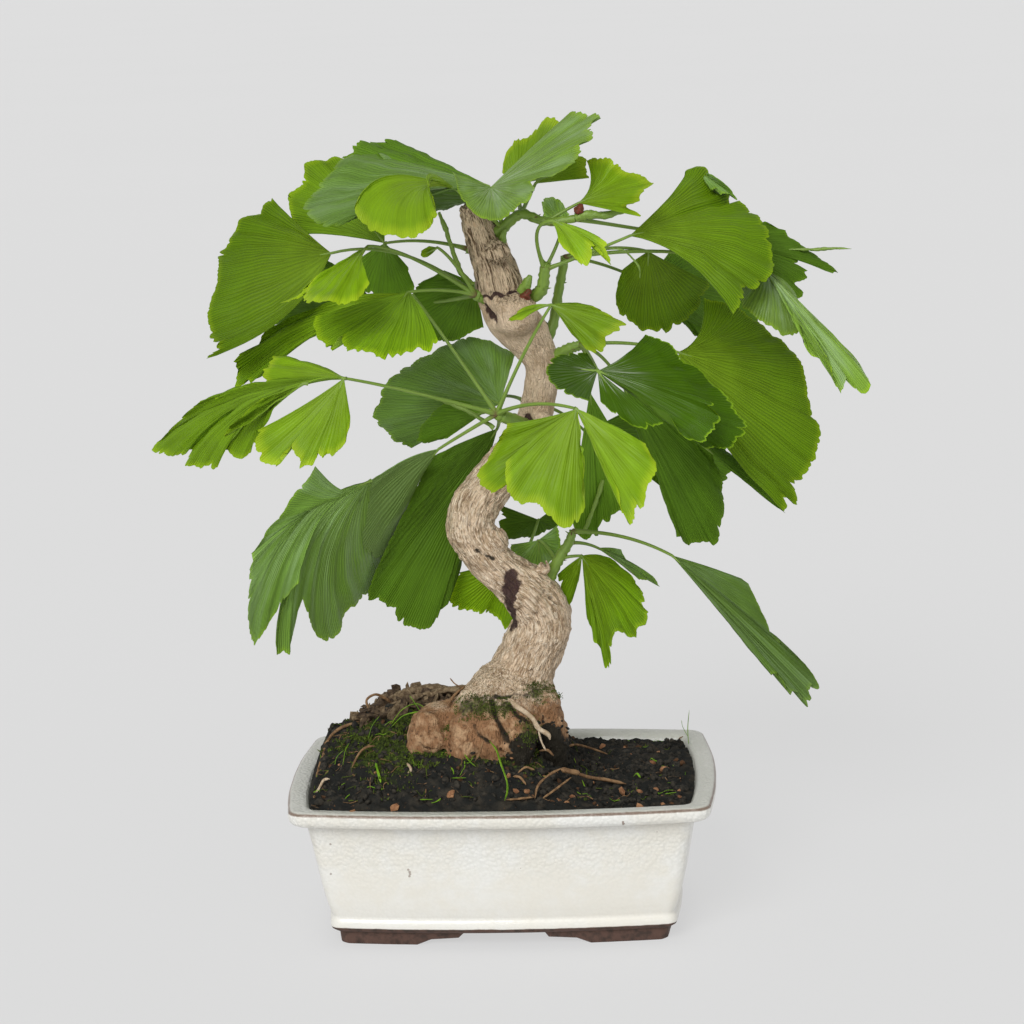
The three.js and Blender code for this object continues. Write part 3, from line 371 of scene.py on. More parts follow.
@dataclass(frozen=True)
class StemFinish:
    """Green stalks and shoots that turn brown near the wood."""

    name: str
    green: Colour
    brown: Colour
    shade: Colour

    def make(self) -> bpy.types.Material:
        """Returns the material."""
        graph = Graph(self.name)
        along = graph.stored("along_mm")
        woody = graph.stored("woody")
        fibres = graph.noise(1.0, 2.0, graph.vector(graph.stored("around") * 1.6, along * 0.09))
        patches = graph.noise(5.0, 3.0)
        colour = graph.mix(self.green, self.shade, fibres.rise(0.35, 0.7) * 0.6)
        colour = graph.mix(colour, self.brown, (woody + (patches - 0.5) * 0.6).rise(0.25, 0.85))
        normal = graph.bump(fibres, 0.3, 0.6)
        rough = 0.42 + 0.3 * woody + 0.1 * patches
        return graph.finish({"Base Color": colour, "Roughness": rough, "Normal": normal})


@dataclass(frozen=True)
class Mark:
    """A scar, pit or moss patch on the trunk: where it is, how wide and how strong."""

    centre: Point
    radius: float
    strength: float = 1.0


@dataclass(frozen=True)
class Groove:
    """A line cut into the trunk: a crevice between roots, or a long dark scar."""

    points: tuple[Point, ...]
    width: float
    depth: float
    scar: bool = False


@dataclass(frozen=True)
class BarkFinish:
    """Pale wavy bark low down, grey and furrowed bark above, grainy reddish roots."""

    name: str
    # painted highlight on the raised fibres of the lower bark
    light: Colour
    pale: Colour
    tan: Colour
    grain: Colour
    ridge: Colour
    furrow_and_shade: Colour
    root: Colour
    root_pale: Colour
    root_dark: Colour
    scar: Colour
    moss: Colour
    # near-black: real soil on the roots, and painted shade in the creases and pits
    dirt_and_shade: Colour
    mossy: tuple[Mark, ...]
    dirty: tuple[Mark, ...]

    UPPER_FROM = 267.0
    UPPER_TO = 259.0

    def _upper(self, graph: Graph, side: Value, front: Value, along: Value) -> tuple[Value, Value]:
        """Returns the colour and height of the old furrowed bark."""
        sway = graph.noise(9.0, 2.0) * 2.2
        furrow_at = graph.vector(side + sway, front, along * 0.045 + sway * 0.2)
        furrows = graph.noise(1.0, 3.0, furrow_at)
        threads = graph.noise(1.0, 2.0, graph.vector(side * 2.6 + sway, front * 2.6, along * 0.1))
        height = furrows * 0.6 + threads * 0.4
        # dark furrows and light ridges: partly the bark's own colour, partly painted shade and
        # light that follow the bump
        colour = graph.mix(self.furrow_and_shade, self.ridge, height.rise(0.41, 0.52))
        # painted highlight on the raised threads
        lit = graph.mix(colour, self.root_pale, threads.rise(0.56, 0.68) * 0.5)
        spot_at = graph.vector(side * 0.8, front * 0.8, along * 0.35)
        spots = graph.noise(1.0, 1.0, spot_at).rise(0.62, 0.68)
        return graph.mix(lit, self.pale, spots * 0.6), height

    def make(self) -> bpy.types.Material:
        """Returns the material."""
        graph = Graph(self.name)
        along = graph.stored("along_mm")
        side, front = graph.stored("side_mm"), graph.stored("front_mm")
        root = graph.stored("root")
        fold = graph.stored("fold")
        warp = graph.noise(13.0, 3.0)
        swirl = warp * 8.0
        flow = graph.vector(side * 1.4 + swirl, front * 1.4, along * 0.17 + warp * 4.0)
        grain = graph.noise(1.0, 3.0, flow)
        lumps = graph.noise(8.0, 4.0)
        specks = graph.noise(1.2, 3.0)
        colour = graph.mix(self.tan, self.pale, lumps.rise(0.34, 0.6))
        lines = (grain + (specks - 0.5) * 0.35).rise(0.5, 0.64)
        smooth = graph.axis(2).rise(207.0, 216.0)
        colour = graph.mix(colour, self.grain, lines * (0.36 - 0.24 * smooth))
        colour = graph.mix(colour, self.pale, grain.rise(0.46, 0.36) * 0.6)
        # painted shade in the sunken folds of the lower bark
        colour = graph.mix(colour, self.grain, fold * (0.3 + specks * 0.4))
        fibre_at = graph.vector(side * 1.5 + swirl * 1.2, front * 1.5, along * 0.26 + warp * 6.0)
        fibres = graph.noise(1.0, 3.0, fibre_at)
        # painted highlight on the raised fibres, and painted shade between them
        colour = graph.mix(colour, self.light, fibres.rise(0.52, 0.61) * (0.75 - 0.5 * smooth))
        colour = graph.mix(colour, self.grain, fibres.rise(0.46, 0.36) * (0.55 - 0.4 * smooth))
        flecks = graph.noise(2.2, 2.0).rise(0.62, 0.7) * specks.rise(0.45, 0.6)
        colour = graph.mix(colour, self.root_dark, flecks * (0.45 - 0.35 * smooth))
        upper = (graph.axis(2) + (lumps - 0.5) * 9.0).rise(self.UPPER_TO, self.UPPER_FROM)
        old, old_height = self._upper(graph, side, front, along)
        colour = graph.mix(colour, old, upper)
        grit = graph.noise(3.2, 4.0)
        grains = (lumps * 0.5 + grit * 0.5).rise(0.47, 0.62)
        crust = graph.mix(self.root, self.root_pale, grains * 0.9)
        crust = graph.mix(crust, self.root_dark, (specks * 0.5 + grit * 0.5).rise(0.46, 0.34) * 0.8)
        colour = graph.mix(colour, crust, root)
        for mark in self.dirty:
            ragged = graph.near(mark.centre, mark.radius) * (0.3 + 1.4 * graph.noise(2.6, 4.0))
            colour = graph.mix(colour, self.dirt_and_shade, ragged.rise(0.4, 0.6) * mark.strength)
        green = graph.mix(self.moss, self.dirt_and_shade, graph.noise(1.1, 3.0).rise(0.42, 0.6))
        for mark in self.mossy:
            ragged = graph.near(mark.centre, mark.radius) * (0.35 + 1.2 * graph.noise(2.2, 5.0))
            colour = graph.mix(colour, green, ragged.rise(0.3, 0.95) * mark.strength * 0.85)
        # painted shade: the creases and pits are darkened to near-black
        crease = graph.stored("crease") * (0.7 + 0.8 * specks)
        colour = graph.mix(colour, self.dirt_and_shade, crease.rise(0.3, 0.85) * 0.95)
        hurt = graph.stored("scar") * (0.4 + 1.3 * graph.noise(2.4, 4.0))
        torn = graph.mix(self.scar, self.root_dark, specks.rise(0.5, 0.7) * 0.7)
        colour = graph.mix(colour, torn, hurt.rise(0.35, 0.62) * 0.95)
        height = (grain * 0.7 + fibres * 0.8 + specks * 0.4) * (1 - upper)
        normal = graph.bump(height + old_height * upper * 2.0 + lumps * 0.4, 1.0, 1.7)
        sockets = {"Base Color": colour, "Roughness": 0.62 + 0.25 * lumps, "Normal": normal}
        return graph.finish({**sockets, "Specular IOR Level": 0.25})


@dataclass(frozen=True)
class GlazeFinish:
    """Cream glaze that breaks brown on the edges, over bare brown feet."""

    name: str
    cream: Colour
    warm: Colour
    rim_grey: Colour
    breaking: Colour
    clay: Colour
    specks: tuple[Mark, ...]

    def make(self) -> bpy.types.Material:
        """Returns the material."""
        graph = Graph(self.name)
        height = graph.axis(2)
        broad = graph.noise(38.0, 2.0)
        mottle = graph.noise(5.5, 3.0)
        peel = graph.cells(1.5)
        # painted shade: grey in the sunken borders of the orange-peel cells
        crackle_shade = peel.rise(0.38, 0.75) * (0.3 + 0.7 * height.rise(22.0, 42.0))
        colour = graph.mix(self.cream, self.warm, (broad + (mottle - 0.5) * 0.5).rise(0.35, 0.7))
        colour = graph.mix(colour, self.warm, height.rise(34.0, 14.0) * 0.45)
        colour = graph.mix(colour, self.rim_grey, crackle_shade * 0.22)
        top = graph.stored("top")
        colour = graph.mix(colour, self.rim_grey, top * (0.55 + 0.6 * mottle))
        inner = graph.stored("inner")
        colour = graph.mix(colour, self.rim_grey, inner * 0.8)
        line = graph.stored("edge_line") * (0.7 + 0.8 * graph.noise(7.0, 3.0))
        colour = graph.mix(colour, self.breaking, line.rise(0.25, 0.9) * 0.9)
        groove = graph.stored("groove") * (0.5 + 0.8 * graph.noise(9.0, 2.0))
        colour = graph.mix(colour, self.breaking, groove.rise(0.15, 0.8) * 0.7)
        for speck in self.specks:
            spot = graph.near(speck.centre, speck.radius) * (0.5 + graph.noise(0.8, 2.0))
            colour = graph.mix(colour, self.breaking, spot.rise(0.3, 0.9) * speck.strength)
        pin = graph.cells(4.5).rise(0.07, 0.03) * graph.noise(22.0, 1.0).rise(0.6, 0.7)
        colour = graph.mix(colour, self.breaking, pin * 0.7)
        bare = (graph.stored("bare") + (mottle - 0.5) * 0.35).rise(0.35, 0.6)
        clay = graph.mix(self.clay, (0.045, 0.026, 0.018), graph.noise(3.0, 4.0).rise(0.4, 0.7))
        colour = graph.mix(colour, clay, bare)
        rough = 0.26 + 0.14 * mottle + 0.45 * bare
        dimples = peel * (0.25 + 0.75 * height.rise(24.0, 44.0))
        normal = graph.bump(mottle * 0.35 - dimples * 1.0, 0.5, 0.8)
        return graph.finish(
            {
                "Base Color": colour,
                "Roughness": rough,
                "Normal": normal,
                "Coat Weight": (1 - bare) * 0.4,
                "Coat Roughness": 0.12,
            }
        )


@dataclass(frozen=True)
class EarthFinish:
    """Damp black soil with rusty crumbs, and moss where the mesh says so."""

    name: str
    black: Colour
    brown: Colour
    rust: Colour
    moss: Colour
    moss_dark: Colour

    def make(self) -> bpy.types.Material:
        """Returns the material."""
        graph = Graph(self.name)
        lumps = graph.noise(6.0, 5.0)
        grit = graph.noise(1.3, 3.0)
        colour = graph.mix(self.black, self.brown, lumps.rise(0.46, 0.7))
        colour = graph.mix(colour, self.rust, grit.rise(0.66, 0.74) * 0.7)
        moss = graph.mix(self.moss_dark, self.moss, grit.rise(0.4, 0.65))
        cover = graph.stored("moss") * (0.35 + 1.3 * graph.noise(4.0, 4.0))
        colour = graph.mix(colour, moss, cover.rise(0.42, 0.62))
        normal = graph.bump(lumps * 0.8 + grit * 0.5, 1.6, 0.9)
        sockets = {"Base Color": colour, "Roughness": 0.9, "Normal": normal}
        return graph.finish({**sockets, "Specular IOR Level": 0.12})


@dataclass(frozen=True)
class FleckedFinish:
    """Two colours mixed by a noise, for small natural things."""

    name: str
    first: Colour
    second: Colour
    size: float = 3.0
    roughness: float = 0.8
    depth: float = 0.4
    gloss: float = 0.15

    def make(self) -> bpy.types.Material:
        """Returns the material."""
        graph = Graph(self.name)
        patches = graph.noise(self.size, 3.0)
        grit = graph.noise(self.size * 0.2, 2.0)
        colour = graph.mix(self.first, self.second, (patches + (grit - 0.5) * 0.4).rise(0.36, 0.64))
        rough = self.roughness + 0.12 * (grit - 0.5)
        normal = graph.bump(grit + patches, self.depth, 0.7)
        sockets = {"Base Color": colour, "Roughness": rough, "Normal": normal}
        return graph.finish({**sockets, "Specular IOR Level": self.gloss})


# ---- meshes ---------------------------------------------------------------------------------


@dataclass
class Surface:
    """Points in millimetres, the faces between them, and numbers stored at the points."""

    points: np.ndarray
    faces: list[tuple[int, ...]]
    values: dict[str, np.ndarray] = field(default_factory=dict)
    finish: int = 0
    finishes: Optional[list[int]] = None

    def face_finishes(self) -> list[int]:
        """Returns the number of the finish of each face."""
        return self.finishes or [self.finish] * len(self.faces)


def joined(surfaces: Iterable[Surface]) -> Surface:
    """Puts surfaces together as one.

    Args:
        surfaces: the surfaces; a number that one of them lacks is 0 there.

    Returns:
        The whole.
    """
    parts = list(surfaces)
    names = sorted({name for part in parts for name in part.values})
    faces: list[tuple[int, ...]] = []
    finishes: list[int] = []
    start = 0
    for part in parts:
        faces.extend(tuple(corner + start for corner in face) for face in part.faces)
        finishes.extend(part.face_finishes())
        start += len(part.points)
    values = {
        name: np.concatenate([part.values.get(name, np.zeros(len(part.points))) for part in parts])
        for name in names
    }
    points = np.concatenate([part.points for part in parts])
    return Surface(points, faces, values, finishes=finishes)


def strips(rows: int, columns: int, closed: bool) -> list[tuple[int, ...]]:
    """Returns the quads between rows of points, closed round each row if asked."""
    row, column = np.meshgrid(np.arange(rows - 1), np.arange(columns if closed else columns - 1))
    row, column = row.T.ravel(), column.T.ravel()
    after = (column + 1) % columns
    low, high = row * columns, (row + 1) * columns
    quads = np.stack([low + column, low + after, high + after, high + column], axis=1)
    return [tuple(quad) for quad in quads.tolist()]


def unit(vectors: np.ndarray) -> np.ndarray:
    """Returns vectors scaled to length 1."""
    length = np.linalg.norm(vectors, axis=-1, keepdims=True)
    return vectors / np.maximum(length, 1e-9)


def eased(points: np.ndarray, reach: int) -> np.ndarray:
    """Returns rows of points, each averaged with that many rows before and after it."""
    padded = np.pad(points, ((reach + 1, reach), (0, 0), (0, 0)), mode="edge")
    total = np.cumsum(padded, axis=0)
    width = 2 * reach + 1
    return (total[width:] - total[:-width]) / width


def smooth_step(low: float, high: float, value: np.ndarray) -> np.ndarray:
    """Returns a smooth step from 0 at low to 1 at high."""
    share = np.clip((value - low) / (high - low), 0, 1)
    return share * share * (3 - 2 * share)


def through(points: Sequence[Sequence[float]], places: np.ndarray) -> np.ndarray:
    """Returns points along a smooth line.

    Args:
        points: what the line passes through; a point may carry further numbers, such as a radius.
        places: where along it, from 0 to 1.

    Returns:
        One row for each place.
    """
    line = np.array(points, float)
    padded = np.vstack([2 * line[0] - line[1], line, 2 * line[-1] - line[-2]])
    spans = len(line) - 1
    at = np.clip(places, 0, 1) * spans
    first = np.minimum(at.astype(int), spans - 1)
    share = (at - first)[:, None]
    before, start, end, after = (padded[first + step] for step in range(4))
    return 0.5 * (
        2 * start
        + (end - before) * share
        + (2 * before - 5 * start + 4 * end - after) * share**2
        + (3 * start - before - 3 * end + after) * share**3
    )


def rough(points: np.ndarray, size: float, layers: int, seed: float) -> np.ndarray:
    """Returns a lumpy noise at points, about -1 to 1, with lumps of that size."""
    shift = Vector((seed * 13.7, seed * 7.1, seed * 3.3))
    scaled = points / size
    return np.array(
        [noise.fractal(Vector(point) + shift, 1.0, 2.1, layers) for point in scaled.tolist()]
    )


def turns(line: np.ndarray) -> tuple[np.ndarray, np.ndarray, np.ndarray]:
    """Returns a line's directions, and two across them that twist as little as can be."""
    tangents = unit(np.gradient(line, axis=0))
    across = np.zeros_like(line)
    side = np.array([0.0, 1.0, 0.0]) if abs(tangents[0][1]) < 0.9 else np.array([1.0, 0.0, 0.0])
    for index, tangent in enumerate(tangents):
        side = unit(side - tangent * float(side @ tangent))
        across[index] = side
    return tangents, across, np.cross(tangents, across)


def tube(line: np.ndarray, radii: np.ndarray, sides: int, flatten: float = 1.0) -> Surface:
    """Makes a closed tube.

    Args:
        line: its middle line.
        radii: its radius at each point of the line.
        sides: how many sides it has.
        flatten: its thickness as a share of its width.

    Returns:
        The tube, with along_mm and around stored.
    """
    _, across, other = turns(line)
    angles = np.linspace(0, math.tau, sides, endpoint=False)
    rings = (
        line[:, None]
        + across[:, None] * (radii[:, None] * np.cos(angles))[..., None]
        + other[:, None] * (radii[:, None] * np.sin(angles) * flatten)[..., None]
    )
    steps = np.linalg.norm(np.diff(line, axis=0), axis=1)
    along = np.concatenate([[0], np.cumsum(steps)])
    points = np.vstack([rings.reshape(-1, 3), line[:1], line[-1:]])
    count = len(line)
    bottom, top = count * sides, count * sides + 1
    last = (count - 1) * sides
    faces = strips(count, sides, closed=True)
    faces += [(bottom, (k + 1) % sides, k) for k in range(sides)]
    faces += [(top, last + k, last + (k + 1) % sides) for k in range(sides)]
    values = {
        "along_mm": np.append(np.repeat(along, sides), [0.0, along[-1]]),
        "around": np.append(np.tile(angles, count), [0.0, 0.0]),
    }
    return Surface(points, faces, values)


GOLDEN = (1 + math.sqrt(5)) / 2
LUMP_CORNERS = unit(
    np.array(
        [
            (-1, GOLDEN, 0), (1, GOLDEN, 0), (-1, -GOLDEN, 0), (1, -GOLDEN, 0),
            (0, -1, GOLDEN), (0, 1, GOLDEN), (0, -1, -GOLDEN), (0, 1, -GOLDEN),
            (GOLDEN, 0, -1), (GOLDEN, 0, 1), (-GOLDEN, 0, -1), (-GOLDEN, 0, 1),
        ]
    )
)
LUMP_FACES: tuple[tuple[int, int, int], ...] = (
    (0, 11, 5), (0, 5, 1), (0, 1, 7), (0, 7, 10), (0, 10, 11), (1, 5, 9), (5, 11, 4), (11, 10, 2),
    (10, 7, 6), (7, 1, 8), (3, 9, 4), (3, 4, 2), (3, 2, 6), (3, 6, 8), (3, 8, 9), (4, 9, 5),
    (2, 4, 11), (6, 2, 10), (8, 6, 7), (9, 8, 1),
)


def finer(surface: Surface) -> Surface:
    """Returns a surface of triangles with each one split in four and its corners eased."""
    points = surface.points.tolist()
    middles: dict[tuple[int, int], int] = {}
    faces: list[tuple[int, ...]] = []
    for face in surface.faces:
        between = []
        for here, after in zip(face, face[1:] + face[:1]):
            edge = (min(here, after), max(here, after))
            if edge not in middles:
                middles[edge] = len(points)
                points.append(((surface.points[here] + surface.points[after]) / 2).tolist())
            between.append(middles[edge])
        (a, b, c), (ab, bc, ca) = face, between
        faces += [(a, ab, ca), (b, bc, ab), (c, ca, bc), (ab, bc, ca)]
    whole = np.array(points)
    middle = whole.mean(axis=0)
    whole[: len(surface.points)] = middle + (whole[: len(surface.points)] - middle) * 0.86
    return Surface(whole, faces)


def lump(
    rng: random.Random, centre: Sequence[float], radii: Sequence[float], fine: bool = False
) -> Surface:
    """Makes a small rough lump, turned at random.

    Args:
        rng: the source of its shape and turn.
        centre: its middle.
        radii: its half sizes.
        fine: whether its corners are eased.

    Returns:
        The lump.
    """
    sizes = np.array([rng.uniform(0.7, 1.15) for _ in LUMP_CORNERS])
    axis = Vector((rng.gauss(0, 1), rng.gauss(0, 1), rng.gauss(0, 1) + 0.001)).normalized()
    turn = np.array(Matrix.Rotation(rng.uniform(0, math.tau), 3, axis))
    points = (LUMP_CORNERS * sizes[:, None] * np.array(radii)) @ turn.T + np.array(centre)
    whole = Surface(points, list(LUMP_FACES))
    return finer(whole) if fine else whole


def dress(
    name: str,
    surface: Surface,
    finishes: Sequence[bpy.types.Material],
    replaces: Sequence[str] = (),
    sharp: float = 60.0,
) -> bpy.types.Object:
    """Makes a piece of the bonsai from a surface.

    Args:
        name: the piece's name.
        surface: its shape, in millimetres.
        finishes: its materials, in the order that the surface's faces count them.
        replaces: the CAD nodes that it stands for.
        sharp: edges between faces that turn by more degrees than this stay crisp.

    Returns:
        The piece, riding on its body.
    """
    mesh = bpy.data.meshes.new(name)
    mesh.from_pydata((surface.points * MM).tolist(), [], surface.faces)
    for key, numbers in surface.values.items():
        attribute = mesh.attributes.new(key, "FLOAT", "POINT")
        attribute.data.foreach_set("value", np.asarray(numbers, np.float32))
    for material in finishes:
        mesh.materials.append(material)
    mesh.polygons.foreach_set("material_index", surface.face_finishes())
    mesh.shade_smooth()
    mesh.set_sharp_from_angle(angle=math.radians(sharp))
    mesh.update()
    piece = bpy.data.objects.new(name, mesh)
    bpy.context.scene.collection.objects.link(piece)
    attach(piece, BODY)
    if replaces:
        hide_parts(*replaces)
    LOG.info("%s: %d faces", name, len(mesh.polygons))
    return piece


# ---- leaves ---------------------------------------------------------------------------------


@dataclass(frozen=True)
class Leaf:
    """One fan-shaped blade: its veins run from the base to the edge.

    The stalk leaves the shoot at stalk, turns at the bend and meets the blade at the base; a lobe
    without a stalk of its own shares its neighbour's. The arch lifts the middle of the veins, the
    flare of the two sides says how much the veins spread at once, and each cut is (place along
    the edge, depth, half width) as shares of the edge and of the vein. The ruffle scales the
    waves of the blade, and the shade scales the leaf's colour: partly its own depth of colour
    and partly painted light and shade, set to how lit the leaf looks.
    A crisp edge runs straight from point to point.
    """

    name: str
    tone: LeafTone
    bend: Point
    base: Point
    edge: tuple[Point, ...]
    stalk: Optional[Point] = None
    arch: Point = (0, 0, 0)
    flare: tuple[float, float] = (1, 1)
    cuts: tuple[tuple[float, float, float], ...] = ()
    shade: float = 1.0
    crisp: bool = False
    ruffle: float = 1.0

    COLUMN_STEP = 0.72  # millimetres along the edge
    ROW_STEP = 3.8  # millimetres along the veins
    TORN_SHARE = 0.17  # of the notches are deep
    TORN_MM = (2.0, 4.4)  # how deep they are
    TOOTH_MM = (0.3, 1.6)  # how deep the others are
    HALF_THICKNESS = 0.26
    RIM_THICKNESS = 0.3  # at the edge, as a share of the thickness
    CRISP_JAG = 0.75  # a crisp edge has its deep teeth already
    EASE_MM = 7.0  # the width of edge over which the way the blade faces is evened out
    RUFFLE = 1.1
    RUFFLE_WAVES = 2.2
    RUFFLE_FULL_LENGTH = 60.0
    TOP_FACES = (-0.2, -0.6, 0.75)  # a blade's upper side faces about this way

    def _number(self) -> float:
        """Returns a number between 0 and 1 that is this leaf's own."""
        return (math.sin(self.base[0] * 12.9 + self.edge[0][2] * 78.2) * 437.5) % 1.0

    def _tears(self, at: np.ndarray) -> np.ndarray:
        """Returns how deep the edge is torn at each place along it, in millimetres."""
        rng = random.Random(self.name)
        tears = np.zeros_like(at)
        place = rng.uniform(0.5, 2.5)
        while place < at[-1]:
            torn = rng.random() < self.TORN_SHARE
            depth = rng.uniform(*(self.TORN_MM if torn else self.TOOTH_MM))
            width = rng.uniform(0.45, 1.1)
            tears = np.maximum(tears, depth * np.exp(-np.abs(at - place) / width))
            place += rng.uniform(1.7, 5.2)
        own = self._number() * 40
        fine = rough(np.stack([at, at * 0, at * 0 + own], axis=1), 1.3, 2, own)
        return (tears + 0.9 * np.abs(fine)) * (self.CRISP_JAG if self.crisp else 1.0)

    def _tooth(self, places: np.ndarray, length: float, vein: float) -> np.ndarray:
        """Returns how far the edge is bitten back at each place, as a share of the vein."""
        phase = self.base[0] * 0.37 + self.base[2] * 0.11
        turn = math.tau * places
        coarse = 0.5 + 0.5 * np.sin(6.3 * turn + phase)
        fine = 0.5 + 0.5 * np.sin(3.7 * turn + 2 * phase)
        waves = 0.0 if self.crisp else 0.03 * (0.6 * coarse + 0.4 * fine)
        return waves + self._tears(places * length) / max(vein, 12.0)

    def _rim(self, places: np.ndarray) -> np.ndarray:
        """Returns points on the outer edge, at places along it from 0 to 1."""
        if not self.crisp:
            return through(self.edge, places)
        line = np.array(self.edge, float)
        steps = np.concatenate([[0], np.cumsum(np.linalg.norm(np.diff(line, axis=0), axis=1))])
        at = np.clip(places, 0, 1) * steps[-1]
        return np.stack([np.interp(at, steps, line[:, axis]) for axis in range(3)], axis=1)

    def _blade_points(self, places: np.ndarray, reaches: np.ndarray) -> np.ndarray:
        """Returns the blade's points, one row of reaches for each place; reaches has that shape."""
        base = np.array(self.base, float)
        tip = self._rim(places)
        straight = tip - base
        length = np.linalg.norm(straight, axis=1, keepdims=True)
        axis = unit(base - np.array(self.bend, float))
        flare = (self.flare[0] + (self.flare[1] - self.flare[0]) * places)[:, None]
        heading = unit(axis * (1 - flare) + straight / length * flare)
        bow = base + heading * length / 2 + np.array(self.arch, float)
        w = reaches[..., None]
        return base * (1 - w) ** 2 + 2 * bow[:, None] * w * (1 - w) + tip[:, None] * w * w

    def vein(self, reach: float) -> np.ndarray:
        """Returns a point on the middle vein."""
        return self._blade_points(np.array([0.5]), np.array([[reach]]))[0, 0]

    def blade(self, finish: int) -> Surface:
        """Makes the blade, with both of its faces and its thin edge.

        Args:
            finish: the number of its finish.

        Returns:
            The blade, with what its finish reads stored at its points.
        """
        rim = self._rim(np.linspace(0, 1, 60))
        edge_length = float(np.linalg.norm(np.diff(rim, axis=0), axis=1).sum())
        vein_length = float(np.linalg.norm(rim[30] - np.array(self.base, float)))
        columns = max(14, int(edge_length / self.COLUMN_STEP))
        rows = max(7, int(vein_length / self.ROW_STEP) + 3)
        places = np.linspace(0, 1, columns)
        cut = self._tooth(places, edge_length, vein_length)
        for at, depth, half in self.cuts:
            cut = np.maximum(cut, depth * np.maximum(0, 1 - np.abs(places - at) / half) ** 0.8)
        out = np.linspace(0.006, 1, rows) ** 0.85
        reaches = out[None, :] * (1 - cut)[:, None]
        points = self._blade_points(places, reaches)
        even = eased(points, int(self.EASE_MM / self.COLUMN_STEP / 2))
        normal = unit(np.cross(np.gradient(even, axis=0), np.gradient(even, axis=1)))
        main = normal.mean(axis=(0, 1))
        normal = normal * np.where(normal @ main < -0.1, -1.0, 1.0)[..., None]
        own = self._number()
        scale = self.ruffle * min(vein_length / self.RUFFLE_FULL_LENGTH, 1.0)
        turn = math.tau * places[:, None]
        ruffle = self.RUFFLE * np.sin(self.RUFFLE_WAVES * turn + self.base[0]) * reaches**2
        at_mm = places[:, None] * edge_length
        flutter = 0.7 * np.sin(at_mm / 2.6 + own * 9 + 2.2 * np.sin(at_mm / 9.1 + own * 5))
        flat = np.stack([at_mm * np.ones_like(reaches) * 0.5, reaches * vein_length], axis=-1)
        flat = np.concatenate([flat, np.full((*reaches.shape, 1), own * 90)], axis=-1)
        buckle = rough(flat.reshape(-1, 3), 11.0, 2, own * 9).reshape(reaches.shape)
        pleat = 0.16 * np.sin(at_mm / 0.62 * 0.5 + 3 * own) * np.minimum(reaches * 2, 1)
        lift = scale * (ruffle + flutter * reaches**3 + 2.0 * buckle * reaches + pleat)
        points = points + normal * lift[..., None]
        thick = self.HALF_THICKNESS * (1 - (1 - self.RIM_THICKNESS) * out[None, :] ** 8)
        thick = thick * np.ones_like(reaches)
        upper = points + normal * thick[..., None]
        lower = points - normal * thick[..., None]
        count = columns * rows
        face = strips(columns, rows, closed=False)
        faces = [tuple(reversed(quad)) for quad in face]
        faces += [tuple(corner + count for corner in quad) for quad in face]
        ring = [column * rows for column in range(columns)]
        ring += [(columns - 1) * rows + row for row in range(1, rows)]
        ring += [column * rows + rows - 1 for column in range(columns - 2, -1, -1)]
        ring += [row for row in range(rows - 2, 0, -1)]
        for here, after in zip(ring, ring[1:] + ring[:1]):
            faces.append((here, after, after + count, here + count))
        facing = float((normal.reshape(-1, 3) @ np.array(self.TOP_FACES)).mean())
        inland = (1 - out[None, :]) * vein_length * np.ones_like(reaches)
        under = np.repeat([0.0, 1.0] if facing > 0 else [1.0, 0.0], count)
        values = {
            "across_mm": np.tile((at_mm * np.ones_like(reaches)).ravel(), 2),
            "reach": np.tile(reaches.ravel(), 2),
            "inland_mm": np.tile(inland.ravel(), 2),
            "under": under,
            "seed": np.full(2 * count, own),
            "shade": np.full(2 * count, self.shade),
        }
        both = np.vstack([upper.reshape(-1, 3), lower.reshape(-1, 3)])
        return Surface(both, faces, values, finish=finish)

    def stem(self, finish: int) -> Surface:
        """Makes the stalk, which runs on a little way as the blade's middle vein."""
        start = np.array(self.stalk or self.bend, float)
        bend = np.array(self.bend, float)
        base = np.array(self.base, float)
        t = np.linspace(0, 1, 15)[:, None]
        if self.stalk is None:
            start, t = base * 0.96 + bend * 0.04, np.linspace(0, 1, 3)[:, None]
            bend = (start + base) / 2
        line = start * (1 - t) ** 2 + 2 * bend * t * (1 - t) + base * t * t
        length = np.linalg.norm(self._rim(np.array([0.5]))[0] - base)
        tips = [self.vein(reach / length) for reach in (2.0, 4.5, 7.5)]
        line = np.vstack([line, tips])
        radii = np.concatenate([np.linspace(0.98, 0.68, len(t)), [0.6, 0.42, 0.15]])
        if self.stalk is not None:
            radii[:3] = (1.5, 1.2, 1.02)
        surface = tube(line, radii, 10, flatten=0.86)
        woody = np.clip(1 - surface.values["along_mm"] / 5.0, 0, 1) * (self.stalk is not None)
        surface.values["woody"] = woody * 0.8
        surface.finish = finish
        return surface


